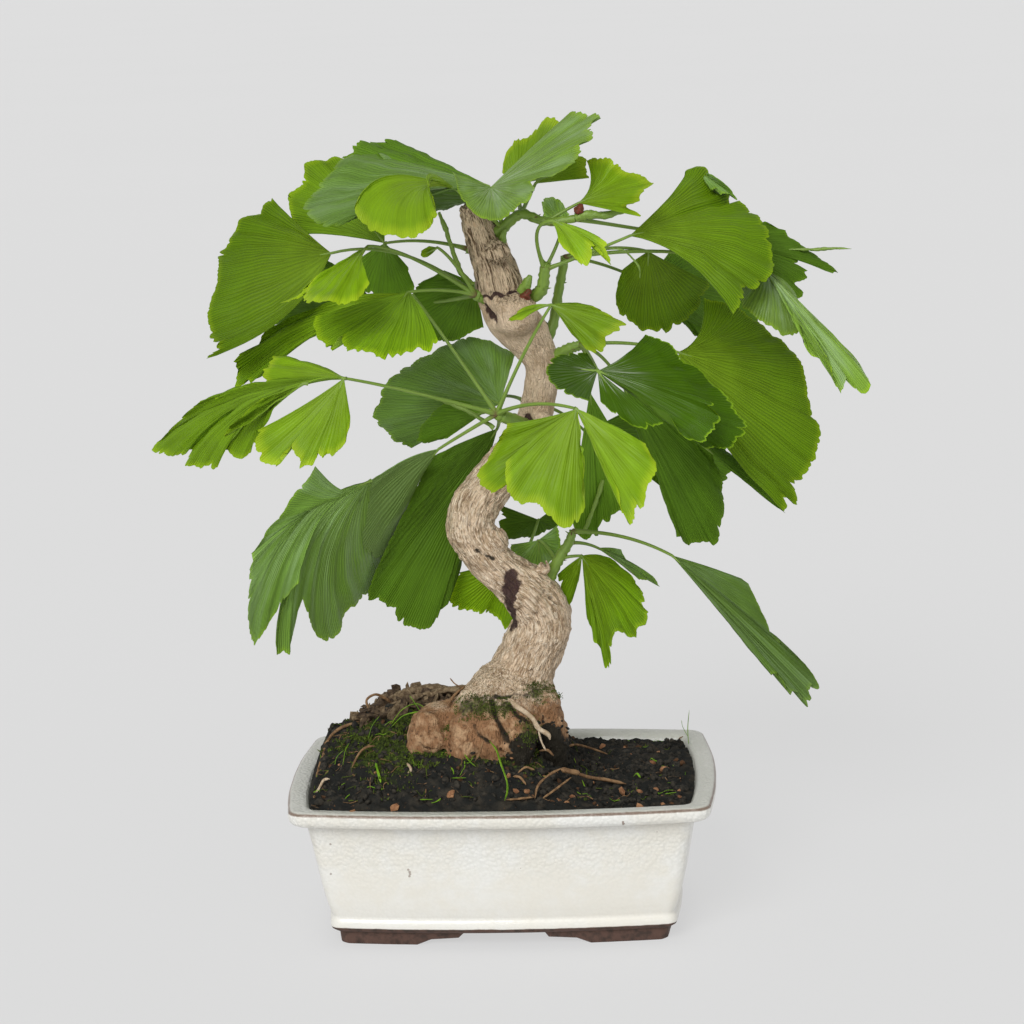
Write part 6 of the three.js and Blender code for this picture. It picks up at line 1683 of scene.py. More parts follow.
@dataclass
class Pot:
    """A rectangular glazed pot with bowed sides, a rounded rim and bracket feet."""

    half_length: float = 90.0
    half_depth: float = 62.5
    bow_long: float = 5.5
    bow_short: float = 3.4
    corner_radius: float = 7.0
    corner_minimum: float = 3.0
    corner_loss: float = 0.15  # of the corner radius for each millimetre of inset
    floor_top: float = 12.0
    foot_top: float = 6.0
    foot_width: float = 13.0
    drain_radius: float = 5.5
    drain_at: tuple[float, float] = (-34.0, 34.0)
    wall: tuple[tuple[float, float], ...] = (  # height and inset, up over the rim to the floor
        (5.9, 17.6), (6.2, 16.9), (7.4, 15.4), (8.6, 14.9), (11.0, 15.2), (11.9, 15.9),
        (12.8, 16.1), (14.2, 15.5), (17.5, 14.4), (21.4, 13.4), (27.4, 12.1), (33.5, 11.0),
        (39.4, 10.0), (45.0, 9.1), (50.0, 8.0), (53.6, 7.25), (54.6, 6.9), (55.2, 5.9), (55.5, 4.2),
        (55.9, 2.4), (56.7, 1.2), (58.0, 0.35), (59.4, 0.0), (60.8, 0.0), (61.7, 0.35), (62.3, 1.1),
        (62.5, 2.2), (62.45, 4.2), (62.3, 6.2), (61.9, 7.5), (61.0, 8.3), (59.6, 8.9), (57.0, 10.2),
        (54.0, 11.8), (45.0, 14.0), (30.0, 16.6), (16.0, 19.3), (12.6, 20.6), (12.0, 22.5),
    )
    gap_long: tuple[tuple[float, float], ...] = ((37, 0), (31, 2.4), (19, 3.2), (17.5, 6))
    gap_short: tuple[tuple[float, float], ...] = ((20, 0), (15, 2.4), (9, 3.2), (8, 6))
    points_round: int = 300

    PROFILE_STEP = 1.3  # millimetres between rows of the wall
    FEET_POINTS = 720
    FLOOR_BESIDE = 33.0  # the floor's reach beyond each hole
    FLOOR_HALF = 38.0  # half its depth

    def outline(self, inset: Operand, count: Optional[int] = None) -> np.ndarray:
        """Returns the pot's outline, moved in by an inset.

        Args:
            inset: how far in, in millimetres.
            count: how many points; all of them if left out.

        Returns:
            Their x and y, evenly spaced from the middle of the right side.
        """
        length, depth = self.half_length - inset, self.half_depth - inset
        bow_long = self.bow_long * depth / self.half_depth
        bow_short = self.bow_short * length / self.half_length
        radius = max(self.corner_radius - self.corner_loss * inset, self.corner_minimum)
        corner_x, corner_y = length - bow_short - radius, depth - bow_long - radius
        share = np.linspace(0, 1, 60)
        turn = np.linspace(0, math.pi / 2, 40)[1:-1]
        side = np.stack([corner_x + radius + bow_short * (1 - share**2), corner_y * share], axis=1)
        corner = np.array([corner_x, corner_y])
        bend = corner + radius * np.stack([np.cos(turn), np.sin(turn)], axis=1)
        back = share[::-1]
        front = np.stack([corner_x * back, corner_y + radius + bow_long * (1 - back**2)], axis=1)
        quarter = np.vstack([side, bend, front])
        half = np.vstack([quarter, (quarter[::-1] * (-1, 1))[1:]])
        whole = np.vstack([half, (half[::-1] * (1, -1))[1:]])
        steps = np.concatenate([[0], np.cumsum(np.linalg.norm(np.diff(whole, axis=0), axis=1))])
        at = np.linspace(0, steps[-1], count or self.points_round, endpoint=False)
        return np.stack([np.interp(at, steps, whole[:, axis]) for axis in range(2)], axis=1)

    def _body(self) -> Surface:
        """Makes the pot's wall, from its lower edge over the rim and down to its floor."""
        knots = np.array(self.wall)
        steps = np.concatenate([[0], np.cumsum(np.linalg.norm(np.diff(knots, axis=0), axis=1))])
        at = np.unique(np.concatenate([steps, np.arange(0, steps[-1], self.PROFILE_STEP)]))
        profile = np.stack([np.interp(at, steps, knots[:, k]) for k in range(2)], axis=1)
        rows = []
        for height, inset in profile:
            ring = self.outline(float(inset))
            rows.append(np.column_stack([ring, np.full(len(ring), height)]))
        inner = np.arange(len(profile)) > int(np.argmax(at >= steps[len(knots) - 12]))
        points = np.vstack(rows)
        count = self.points_round
        waver = rough(points, 34.0, 2, 8.0)
        out = unit(np.column_stack([points[:, :2], np.zeros(len(points))]))
        points = points + out * (0.28 * waver)[:, None]
        height = np.repeat(profile[:, 0], count)
        inset = np.repeat(profile[:, 1], count)
        inside = np.repeat(inner.astype(float), count)
        top = smooth_step(61.4, 62.2, height) * (inset > 0.9)
        values = {
            "top": np.maximum(top, inside * (height > 52)),
            "inner": inside,
            "edge_line": np.exp(-(((height - 61.7) / 0.6) ** 2)) * (inset < 1.6),
            "groove": np.exp(-(((height - 55.0) / 0.75) ** 2)) * (1 - inside),
            "bare": smooth_step(9.4, 7.4, height) * (1 - inside),
        }
        faces = strips(len(profile), count, closed=True)
        return Surface(points, faces, values)

    def _gap(self, x: np.ndarray, y: np.ndarray) -> np.ndarray:
        """Returns how high the feet are cut away under each point of the outline."""
        gap_long, gap_short = np.array(self.gap_long)[::-1], np.array(self.gap_short)[::-1]
        front = np.abs(y) > self.half_depth * 0.6
        along = np.interp(np.abs(x), gap_long[:, 0], gap_long[:, 1], left=self.foot_top)
        across = np.interp(np.abs(y), gap_short[:, 0], gap_short[:, 1], left=self.foot_top)
        return np.where(front, along, across)

    def _feet(self) -> Surface:
        """Makes the ring of feet under the pot, cut away between them."""
        count = self.FEET_POINTS
        low, top = self.wall[0][1] + 1.4, self.foot_top + 0.6
        outer, ground = self.outline(low - 0.6, count), self.outline(low, count)
        inner = self.outline(low + self.foot_width, count)
        gap = np.minimum(self._gap(outer[:, 0], outer[:, 1]), self.foot_top + 0.3)
        level = np.full(count, top)
        edge = np.minimum(gap + 0.5, level)
        soft = self.outline(low + 0.7, count)
        rings = [
            np.column_stack([outer, level]),
            np.column_stack([outer * 0.5 + ground * 0.5, (level + edge) / 2]),
            np.column_stack([ground, edge]),
            np.column_stack([soft, gap]),
            np.column_stack([inner * 0.5 + ground * 0.5, gap]),
            np.column_stack([inner, gap]),
            np.column_stack([inner, level]),
        ]
        points = np.vstack(rings)
        points[:, 2] = np.maximum(points[:, 2], 0.0)
        ring = 0.15 * rough(points, 5.0, 3, 9.0)
        points[:, :2] += ring[:, None] * unit(points[:, :2])
        return Surface(points, strips(len(rings), count, True), {"bare": np.ones(len(points))})

    def _floor(self) -> Surface:
        """Makes the pot's floor, with its two drain holes."""
        faces: list[tuple[int, ...]] = []
        sides = 48
        angle = np.linspace(0, math.tau, sides, endpoint=False)
        points: list[np.ndarray] = []
        start = 0
        for hole in self.drain_at:
            side = math.copysign(1.0, hole)
            centre = np.array([hole, 0.0])
            direction = np.stack([np.cos(angle), np.sin(angle)], axis=1)
            near = centre + direction * self.drain_radius
            reach_x = np.where(direction[:, 0] * side > 0, self.FLOOR_BESIDE, abs(hole))
            scale_x = reach_x / np.maximum(np.abs(direction[:, 0]), 1e-6)
            scale_y = self.FLOOR_HALF / np.maximum(np.abs(direction[:, 1]), 1e-6)
            far = centre + direction * np.minimum(scale_x, scale_y)[:, None]
            for level, pair in ((self.floor_top, (far, near)), (self.wall[0][0], (near, far))):
                points += [np.column_stack([ring, np.full(sides, level)]) for ring in pair]
            faces += [tuple(c + start for c in quad) for quad in strips(4, sides, True)]
            start += 4 * sides
        whole = np.vstack(points)
        whole[:, 2] += 0.02 * np.abs(rough(whole, 4.0, 2, 4.0))
        bare = (whole[:, 2] < self.floor_top * 0.75).astype(float)
        return Surface(whole, faces, {"inner": np.zeros(start), "bare": bare})

    def build(self, finish: bpy.types.Material) -> None:
        """Makes the pot.

        Args:
            finish: its glaze.
        """
        whole = joined([self._body(), self._feet(), self._floor()])
        dress("pot_glazed", whole, [finish], ["pot"], sharp=50.0)


# ---- soil -----------------------------------------------------------------------------------


@dataclass
class RootBall:
    """The mounded soil: high behind on the left, low and flat on the right."""

    pot: Pot
    level: float = 60.2
    mound: float = 31.0
    crumb: float = 0.7
    edge_inset: float = 9.0
    edge_drop: float = 0.6
    rings: int = 78
    columns: int = 400

    SKIRT_LEVELS = (57.0, 50.0)  # where its hidden side goes down inside the pot
    SKIRT_SHARE = 0.965  # of the width above

    def height(self, x: np.ndarray, y: np.ndarray) -> np.ndarray:
        """Returns the soil's height at places, without its small lumps."""
        slope, step = smooth_step(-82, -40, x), smooth_step(-84, -76, x)
        left = slope + (step - slope) * 0.45
        slope, step = smooth_step(-56, 14, y), smooth_step(-58, -30, y)
        front = slope + (step - slope) * 0.3
        right, back = 1 - smooth_step(2, 40, x), 1 - smooth_step(22, 54, y)
        crumbs = np.sin(0.9 * x + 0.5 * y) * np.sin(0.31 * x - 0.8 * y)
        return self.level + self.mound * left * right * front * back + self.crumb * crumbs

    def moss(self, x: np.ndarray, y: np.ndarray, level: np.ndarray) -> np.ndarray:
        """Returns how mossy the soil is at places: on the mound's shoulders and by the roots."""
        patches = rough(np.stack([x, y, x * 0], axis=1), 13.0, 3, 12.0)
        mound = smooth_step(64, 80, level)
        by_trunk = np.exp(-(((x - 2) / 26) ** 2) - ((y + 14) / 22) ** 2)
        left = np.exp(-(((x + 42) / 30) ** 2) - ((y + 4) / 30) ** 2)
        return np.clip(0.35 * mound + 0.35 * by_trunk + 0.42 * left + 0.5 * patches, 0, 1)

    def build(self, finish: bpy.types.Material) -> None:
        """Makes the soil.

        Args:
            finish: what it is made of.
        """
        edge = self.pot.outline(self.edge_inset, self.columns)
        share = np.linspace(0.004, 1, self.rings) ** 0.8
        flat = (edge[None] * share[:, None, None]).reshape(-1, 2)
        x, y = flat[:, 0], flat[:, 1]
        near_edge = np.repeat(smooth_step(0.93, 1.0, share), self.columns)
        level = self.height(x, y)
        points = np.column_stack([flat, level])
        lumps = rough(points, 7.5, 4, 14.0) + 0.45 * np.abs(rough(points, 2.3, 2, 15.0))
        lumps += 0.5 * rough(points, 1.5, 2, 16.0)
        points[:, 2] += lumps * 1.7 * (1 - 0.7 * near_edge) - self.edge_drop * near_edge
        moss = self.moss(x, y, level)
        rings = [np.column_stack([edge, np.full(self.columns, low)]) for low in self.SKIRT_LEVELS]
        skirt = np.vstack(rings)
        skirt[:, :2] *= self.SKIRT_SHARE
        ends = [[0.0, 0.0, self.SKIRT_LEVELS[-1]], [0.0, 0.0, float(level[0])]]
        whole = np.vstack([points, skirt, ends])
        faces = strips(self.rings + 2, self.columns, closed=True)
        last = (self.rings + 1) * self.columns
        bottom, top = len(whole) - 2, len(whole) - 1
        faces += [(bottom, last + k, last + (k + 1) % self.columns) for k in range(self.columns)]
        faces += [(top, (k + 1) % self.columns, k) for k in range(self.columns)]
        values = {"moss": np.concatenate([moss, np.zeros(len(whole) - len(moss))])}
        dress("soil_mound", Surface(whole, faces, values), [finish], ["soil"], sharp=80.0)


class Strand(Enum):
    """The kinds of thin thing that lie or grow on the soil, by the name of their finish."""

    GRASS = "grass"
    FINE_ROOT = "fine_root"
    PALE_ROOT = "pale_root"
    BARK_STRIP = "crust_light"


STRANDS: dict[Strand, tuple[tuple[float, tuple[Point, ...]], ...]] = {  # radius, line
    Strand.GRASS: (
        (0.5, ((-47, -10, 84.5), (-41, -12, 90.5), (-33.5, -16, 93.5))),
        (0.5, ((-48, -9, 84), (-42, -9, 92), (-36, -8, 94.5), (-32, -9, 93))),
        (0.5, ((-39, -2, 96.5), (-36.5, -4, 93.5), (-33.5, -8, 90))),
        (0.5, ((-56.2, -12, 80.6), (-54.6, -9, 85.5), (-51.7, -6, 88.8))),
        (0.75, ((-4, -35, 86), (-1, -38, 83), (1, -42, 78), (3.4, -46, 72), (3.6, -48, 68),
            (2.4, -49, 64.5))),
        (0.7, ((-14.5, -32, 79.5), (-12.4, -34, 77), (-9.8, -35.5, 75))),
        (0.45, ((-19.6, -41, 72), (-13.4, -41, 72))),
        (0.45, ((-32.3, -48, 65.2), (-27, -48, 65.2))),
        (0.5, ((-51.6, -31, 76), (-50.4, -36, 74), (-48.8, -40, 70))),
        (0.5, ((-66, -24.5, 73), (-65.4, -18, 77.5), (-64, -14, 79.5))),
        (0.5, ((-70, -22, 70), (-69, -20, 75), (-66, -19, 78))),
        (0.6, ((79.5, 38, 60), (79.2, 39, 68), (80, 40, 76))),
        (0.4, ((79.4, 38, 64), (77, 38, 69), (76.5, 38, 72))),
        (0.5, ((55, -8, 61), (56.5, -10, 63), (58, -11, 61.5))),
    ),
    Strand.FINE_ROOT: (
        (0.7, ((-73.2, -26, 69), (-76, -6, 72.5), (-74.5, 3, 76.5), (-70.2, 8, 79.5),
            (-61.4, 5, 83.5))),
        (0.5, ((-77.6, -23.5, 67), (-76.6, -17, 71), (-75.7, -9, 73.5))),
        (0.5, ((-61.9, -28, 73), (-59.2, -23, 77.5), (-56, -22, 80), (-52.5, -22, 80.5))),
        (0.55, ((-22, -18, 96), (-19, -15, 100), (-14.5, -12, 103))),
        (0.6, ((-34, -6, 92), (-26, -12, 95.5), (-18.5, -14, 98))),
        (0.3, ((-21, -10, 106), (-19, -10, 103.5), (-15.5, -9, 101))),
        (0.6, ((-57, 1, 90), (-57.5, 1, 94), (-54, 2, 96), (-50.5, 4, 94), (-47, 8, 90))),
        (0.5, ((5.6, -38.5, 71.5), (8.5, -40, 71.5), (11, -42, 69))),
        (0.45, ((7.6, -37, 72.5), (10.8, -36, 74.5), (14.4, -35, 73))),
        (0.5, ((14.7, -46.5, 64.5), (16, -44, 69), (20, -40, 72), (26, -34, 73.5))),
        (0.5, ((17.9, -46.5, 64.5), (22.6, -44, 67), (29.5, -38, 70.5))),
        (0.45, ((2.5, -48, 64.5), (9, -47.6, 64.8), (14.7, -46, 65))),
        (0.5, ((16.3, -26, 78.5), (19.7, -27, 79), (22.2, -27, 76.5))),
        (0.5, ((27, 4, 71), (31, 10, 70), (38, 18, 65.5), (44, 20, 62.5))),
        (1.15, ((25, -28, 71), (29, -27.4, 69.8), (33, -26, 68.5))),
        (0.75, ((31, -27, 69), (37, -24, 66), (44, -20, 63.5), (52, -18, 61))),
        (0.5, ((-6.4, -36, 86), (-8, -36, 81), (-9.8, -35, 77.5))),
    ),
    Strand.PALE_ROOT: (
        (0.6, ((-77.6, -38, 62.5), (-74.8, -36, 67), (-73, -35, 70), (-70.5, -35, 70.5))),
        (0.55, ((-38, -37, 72.4), (-36.6, -36, 74.4), (-38.3, -34, 76.5))),
        (1.0, ((3.8, -25, 101), (7.5, -28.5, 98.5), (11.5, -30, 96), (14.4, -31, 93.4),
            (16.4, -31.5, 89.8), (20.2, -31, 87), (21, -31, 84.6))),
        (0.4, ((16.2, -31.5, 89.5), (17.4, -31, 84), (19.2, -30, 79.6))),
    ),
    Strand.BARK_STRIP: (
        (3.0, ((-54, 8, 87), (-44, 13, 92.5), (-34, 15, 94.5), (-24, 14, 95.5))),
        (2.4, ((-38, 8, 92.3), (-28, 9, 94.8), (-17, 7, 96.3), (-10, 4, 97.3))),
        (2.0, ((-60, 1, 82), (-50, 5, 88.5), (-40, 7, 91))),
        (1.6, ((-30, 18, 92), (-20, 17, 94), (-8, 14, 95.5))),
    ),
}


STONES: tuple[Point, ...] = (
    (-42.8, -51, 63), (50.2, -30, 61.5), (57.6, -50, 61), (-60, -53, 61.5), (24, -44, 62),
)


@dataclass
class GroundCover:
    """What lies and grows on the soil: crumbs, moss, bark crust, fine roots and grass."""

    soil: RootBall
    seed: int = 11
    litter: int = 420
    crumbs: int = 2600
    clods: int = 460
    flakes: int = 260
    tufts: int = 1050
    root_crumbs: int = 26  # on each dirty place

    FINE_FROM = 1.3  # lumps with a larger half width are rounded

    def _place(self, rng: random.Random) -> tuple[float, float]:
        """Returns a random place on the soil, inside the pot's rim."""
        return rng.uniform(-76, 76), rng.uniform(-47, 47)

    def _level(self, x: float, y: float) -> float:
        """Returns the soil's height at one place."""
        return float(self.soil.height(np.array([x]), np.array([y]))[0])

    def _lumps(
        self, rng: random.Random, count: int, sizes: tuple[float, float], dark: float
    ) -> Surface:
        """Makes loose lumps of soil.

        Args:
            rng: the source of their places.
            count: how many.
            sizes: the smallest and the largest half width.
            dark: the share of them that is dark; the rest is rusty, and a few pale.

        Returns:
            The lumps.
        """
        parts = []
        for _ in range(count):
            x, y = self._place(rng)
            size = sizes[0] + (sizes[1] - sizes[0]) * rng.random() ** 2.5
            z = self._level(x, y) + size * rng.uniform(-0.45, 0.4)
            part = lump(rng, (x, y, z), (size * 1.3, size, size * 0.9), fine=size > self.FINE_FROM)
            part.finish = rng.choices((0, 1, 2), (dark, 0.97 - dark, 0.03))[0]
            parts.append(part)
        return joined(parts)

    def _tuft(
        self, rng: random.Random, place: Point, spread: float, height: float, radius: float = 0.36
    ) -> Surface:
        """Makes a cushion of moss from a few leaning blades."""
        parts = []
        for _ in range(5):
            lean = unit(np.array([rng.gauss(0, 0.6), rng.gauss(-0.15, 0.6), 0.8]))
            start = np.array(place) + [rng.gauss(0, spread), rng.gauss(0, spread), -0.3]
            line = start + np.outer((0, 0.5, 1.0), lean * rng.uniform(0.5, 1.0) * height)
            parts.append(tube(line, radius * np.array([1.0, 0.8, 0.2]), 3))
        return joined(parts)

    def _litter(self, rng: random.Random) -> Surface:
        """Makes fine dead rootlets and green threads, most of them on the left."""
        parts = []
        for _ in range(self.litter):
            x, y = self._place(rng)
            if x > -10 and rng.random() < 0.55:
                x = -abs(x) - 8
            heading, length = rng.uniform(0, math.tau), rng.uniform(3.0, 10.0)
            bend = rng.uniform(-1.6, 1.6)
            line = []
            for share in (0.0, 0.35, 0.7, 1.0):
                turn = heading + bend * share
                x = min(max(x + math.cos(turn) * length * 0.3, -77), 77)
                y = min(max(y + math.sin(turn) * length * 0.22, -48), 48)
                line.append((x, y, self._level(x, y) + 0.2 + rng.uniform(0.0, 1.6) * share))
            radius = rng.uniform(0.14, 0.34)
            knots = through(line, np.linspace(0, 1, 7))
            part = tube(knots, np.linspace(radius, radius * 0.4, 7), 4)
            part.finish = rng.choices((0, 1, 2, 3), (0.3, 0.17, 0.3, 0.23))[0]
            parts.append(part)
        return joined(parts)

    def _moss(self, rng: random.Random, skin: np.ndarray) -> Surface:
        """Makes the moss, where the soil and the trunk's skin are mossy."""
        parts = []
        while len(parts) < self.tufts:
            x, y = self._place(rng)
            here = np.array([x]), np.array([y])
            if rng.random() < float(self.soil.moss(*here, self.soil.height(*here))[0]) - 0.2:
                parts.append(self._tuft(rng, (x, y, self._level(x, y)), 1.2, 1.8))
        for mark in BARK.mossy:
            for place in self._on_bark(rng, skin, mark, int(10 * mark.radius)):
                parts.append(self._tuft(rng, place, 0.9, 1.3, 0.16))
        return joined(parts)

    def _on_bark(self, rng: random.Random, skin: np.ndarray, mark: Mark, count: int) -> list[Point]:
        """Returns random points of the trunk's skin that lie within a mark."""
        near = skin[np.linalg.norm(skin - np.array(mark.centre), axis=1) < mark.radius * 1.1]
        return [tuple(near[rng.randrange(len(near))]) for _ in range(count if len(near) else 0)]

    def _root_crumbs(self, rng: random.Random, skin: np.ndarray) -> Surface:
        """Makes the crumbs of soil that cling to the foot of the roots."""
        parts = []
        for mark in BARK.dirty:
            for place in self._on_bark(rng, skin, mark, self.root_crumbs):
                size = rng.uniform(0.4, 1.2)
                part = lump(rng, place, (size * 1.2, size, size * 0.7))
                part.finish = rng.choices((0, 1, 2), (0.85, 0.12, 0.03))[0]
                parts.append(part)
        return joined(parts)

    def _flakes(self, rng: random.Random) -> Surface:
        """Makes the crust of bark and old root along the ridge at the back left."""
        parts = []
        for _ in range(self.flakes):
            x, y = rng.uniform(-62, -8), rng.gauss(9, 6)
            size = rng.uniform(1.2, 3.6)
            z = self._level(x, y) + rng.uniform(0.2, 2.0)
            part = lump(rng, (x, y, z), (size * 1.7, size, size * 0.4))
            part.finish = rng.choices((0, 1), (0.6, 0.4))[0]
            parts.append(part)
        return joined(parts)

    def _strand(self, radius: float, knots: Sequence[Point], kind: Strand) -> Surface:
        """Makes one blade, thin root or strip of bark."""
        line = through(knots, np.linspace(0, 1, 6 * len(knots)))
        share = np.linspace(0, 1, len(line))
        swell = 1 + 0.25 * rough(line, 3.0, 2, radius)
        ends = np.minimum(1, np.minimum(share, 1 - share) * 6 + 0.2)
        flat = {Strand.GRASS: 0.3, Strand.BARK_STRIP: 0.6}.get(kind, 1.0)
        skin = tube(line, radius * ends * swell, 7 if radius < 1.5 else 16, flat)
        if kind is Strand.BARK_STRIP:
            skin.points += 0.9 * rough(skin.points, 3.0, 3, 2.0)[:, None] * (0.3, 0.3, 1.0)
        return skin

    def build(self, finishes: dict[str, bpy.types.Material], skin: np.ndarray) -> None:
        """Makes all that covers the soil.

        Args:
            finishes: the small finishes, by name.
            skin: the points of the trunk's skin.
        """
        rng = random.Random(self.seed)
        bits = [finishes[name] for name in ("crumb_dark", "crumb_rust", "crumb_pale")]
        crumbs = [self._lumps(rng, self.crumbs, (0.4, 1.5), 0.9), self._root_crumbs(rng, skin)]
        dress("soil_crumbs", joined(crumbs), bits, sharp=30.0)
        clods = self._lumps(rng, self.clods, (1.2, 2.7), 0.96)
        dress("soil_clods", clods, bits, sharp=180.0)
        dress("soil_moss", self._moss(rng, skin), [finishes["moss"]])
        threads = [finishes[key] for key in ("fine_root", "crust_dark", "moss", "grass")]
        dress("soil_litter", self._litter(rng), threads)
        crust = [finishes["crust_dark"], finishes["crust_light"]]
        dress("soil_crust", self._flakes(rng), crust, sharp=40.0)
        for kind in Strand:
            parts = [self._strand(radius, knots, kind) for radius, knots in STRANDS[kind]]
            dress(f"strands_{kind.value}", joined(parts), [finishes[kind.value]])
        pale = [lump(rng, stone, (2.4, 1.8, 1.5)) for stone in STONES]
        dress("soil_stones", joined(pale), [finishes["crumb_pale"]], sharp=50.0)


# ---- studio ---------------------------------------------------------------------------------


@dataclass
class Studio:
    """A plain pale floor and room, soft light, and the camera."""

    focal: float = 2700.0  # in pixels of a picture 1024 wide
    pitch: float = 11.8
    yaw: float = -2.6
    roll: float = 1.65
    place: Point = (56.64, -1102.05, 404.97)
    floor_colour: Colour = (0.17, 0.17, 0.17)
    floor_glow: float = 3.36
    world_light: float = 0.5

    FLOOR_HALF = 40.0  # metres
    PICTURE_WIDTH = 1024  # pixels

    def _camera(self) -> None:
        """Places the camera."""
        pitch, yaw, roll = (math.radians(turn) for turn in (self.pitch, self.yaw, self.roll))
        flat = math.cos(pitch)
        ahead = Vector((math.sin(yaw) * flat, math.cos(yaw) * flat, -math.sin(pitch)))
        level = Vector((math.cos(yaw), -math.sin(yaw), 0))
        above = level.cross(ahead)
        right = level * math.cos(roll) - above * math.sin(roll)
        up = level * math.sin(roll) + above * math.cos(roll)
        lens = bpy.data.cameras.new("camera")
        lens.sensor_width = 36.0
        lens.lens = self.focal / self.PICTURE_WIDTH * lens.sensor_width
        lens.clip_end = 100.0
        camera = bpy.data.objects.new("camera", lens)
        columns = Matrix((right, up, -ahead)).transposed().to_4x4()
        camera.matrix_world = Matrix.Translation(Vector(self.place) * MM) @ columns
        bpy.context.scene.collection.objects.link(camera)
        bpy.context.scene.camera = camera

    def _floor(self) -> None:
        """Lays the floor."""
        mesh = bpy.data.meshes.new("floor")
        half = self.FLOOR_HALF
        corners = [(-half, -half, 0), (half, -half, 0), (half, half, 0), (-half, half, 0)]
        mesh.from_pydata(corners, [], [(0, 1, 2, 3)])
        graph = Graph("floor_paper")
        cloud = graph.noise(900.0, 2.0)
        dimmer = tuple(0.985 * part for part in self.floor_colour)
        colour = graph.mix(self.floor_colour, dimmer, cloud)
        sockets = {
            "Base Color": colour, "Roughness": 0.95, "Specular IOR Level": 0.1,
            "Emission Color": colour, "Emission Strength": self.floor_glow,
        }
        mesh.materials.append(graph.finish(sockets))
        floor = bpy.data.objects.new("floor", mesh)
        bpy.context.scene.collection.objects.link(floor)

    def _lamp(self, name: str, turn: Point, strength: float, spread: float) -> None:
        """Adds a soft sun.

        Args:
            name: its name.
            turn: its rotation in degrees.
            strength: its strength.
            spread: how wide it looks, in degrees.
        """
        light = bpy.data.lights.new(name, "SUN")
        light.energy = strength
        light.angle = math.radians(spread)
        lamp = bpy.data.objects.new(name, light)
        lamp.rotation_euler = tuple(math.radians(part) for part in turn)
        bpy.context.scene.collection.objects.link(lamp)

    def build(self) -> None:
        """Sets up the camera, floor and light."""
        self._camera()
        self._floor()
        world = bpy.data.worlds.new("room")
        world.use_nodes = True
        back = world.node_tree.nodes["Background"]
        back.inputs["Color"].default_value = (1.0, 1.0, 1.0, 1.0)
        back.inputs["Strength"].default_value = self.world_light
        bpy.context.scene.world = world
        self._lamp("key", (48, -26, 0), 1.7, 30.0)
        self._lamp("fill", (62, 40, 0), 0.4, 60.0)
        bpy.context.scene.view_settings.view_transform = "Standard"


# ---- the whole ------------------------------------------------------------------------------


BARK = BarkFinish(
    "bark", light=(0.9, 0.76, 0.59), pale=(0.78, 0.6, 0.42), tan=(0.56, 0.405, 0.26),
    grain=(0.22, 0.135, 0.075), ridge=(0.68, 0.53, 0.355), furrow_and_shade=(0.16, 0.105, 0.058),
    root=(0.33, 0.172, 0.082), root_pale=(0.58, 0.37, 0.21), root_dark=(0.085, 0.046, 0.026),
    scar=(0.045, 0.018, 0.02), moss=(0.07, 0.1, 0.014), dirt_and_shade=(0.022, 0.018, 0.011),
    mossy=(Mark((-13, -23, 96.5), 6.0), Mark((-8.7, -24, 97.6), 6.0), Mark((-3, -25, 97.3), 5.5),
    Mark((2.9, -25, 96.8), 5.0), Mark((14.8, -17, 100.3), 5.5), Mark((18.8, -13, 99.1), 6.0),
    Mark((12.8, -31, 89), 6.5, 0.8), Mark((-22, -21, 84), 5.0, 0.8), Mark((8, 14, 92), 9.0)),
    dirty=(Mark((11, -31, 82), 10.0), Mark((20, -22, 82), 10.0), Mark((22, -16, 74), 14.0),
    Mark((6, -34, 72), 12.0), Mark((-14, -26, 70), 11.0), Mark((-32, -26, 70), 9.0),
    Mark((16, 24, 70), 16.0, 0.8), Mark((-20, 26, 72), 16.0, 0.8)),
)
GLAZE = GlazeFinish(
    "glaze", cream=(0.8, 0.795, 0.755), warm=(0.77, 0.745, 0.67), rim_grey=(0.6, 0.6, 0.54),
    breaking=(0.16, 0.09, 0.05), clay=(0.1, 0.052, 0.037),
    specks=(Mark((-37.9, -50.5, 36), 0.9, 0.6), Mark((-37.4, -50.5, 35), 0.9, 0.6),
    Mark((-37.3, -50.4, 34), 0.9, 0.6), Mark((-37.6, -50.3, 33), 0.9, 0.6),
    Mark((50.5, -59.6, 58.4), 1.0, 0.8), Mark((50.7, -59.6, 57.4), 1.0, 0.8),
    Mark((50.6, -59.4, 56.4), 0.9, 0.8), Mark((-69.6, -49.3, 47.1), 0.8, 0.6),
    Mark((-70.3, -46.8, 33.4), 0.8, 0.6)),
)
EARTH = EarthFinish(
    "earth", black=(0.017, 0.0175, 0.016), brown=(0.045, 0.039, 0.03), rust=(0.16, 0.08, 0.035),
    moss=(0.058, 0.082, 0.014), moss_dark=(0.022, 0.03, 0.009),
)
GREEN_STEM = StemFinish(
    "green_stem", green=(0.21, 0.33, 0.045), brown=(0.14, 0.075, 0.035), shade=(0.12, 0.21, 0.025)
)
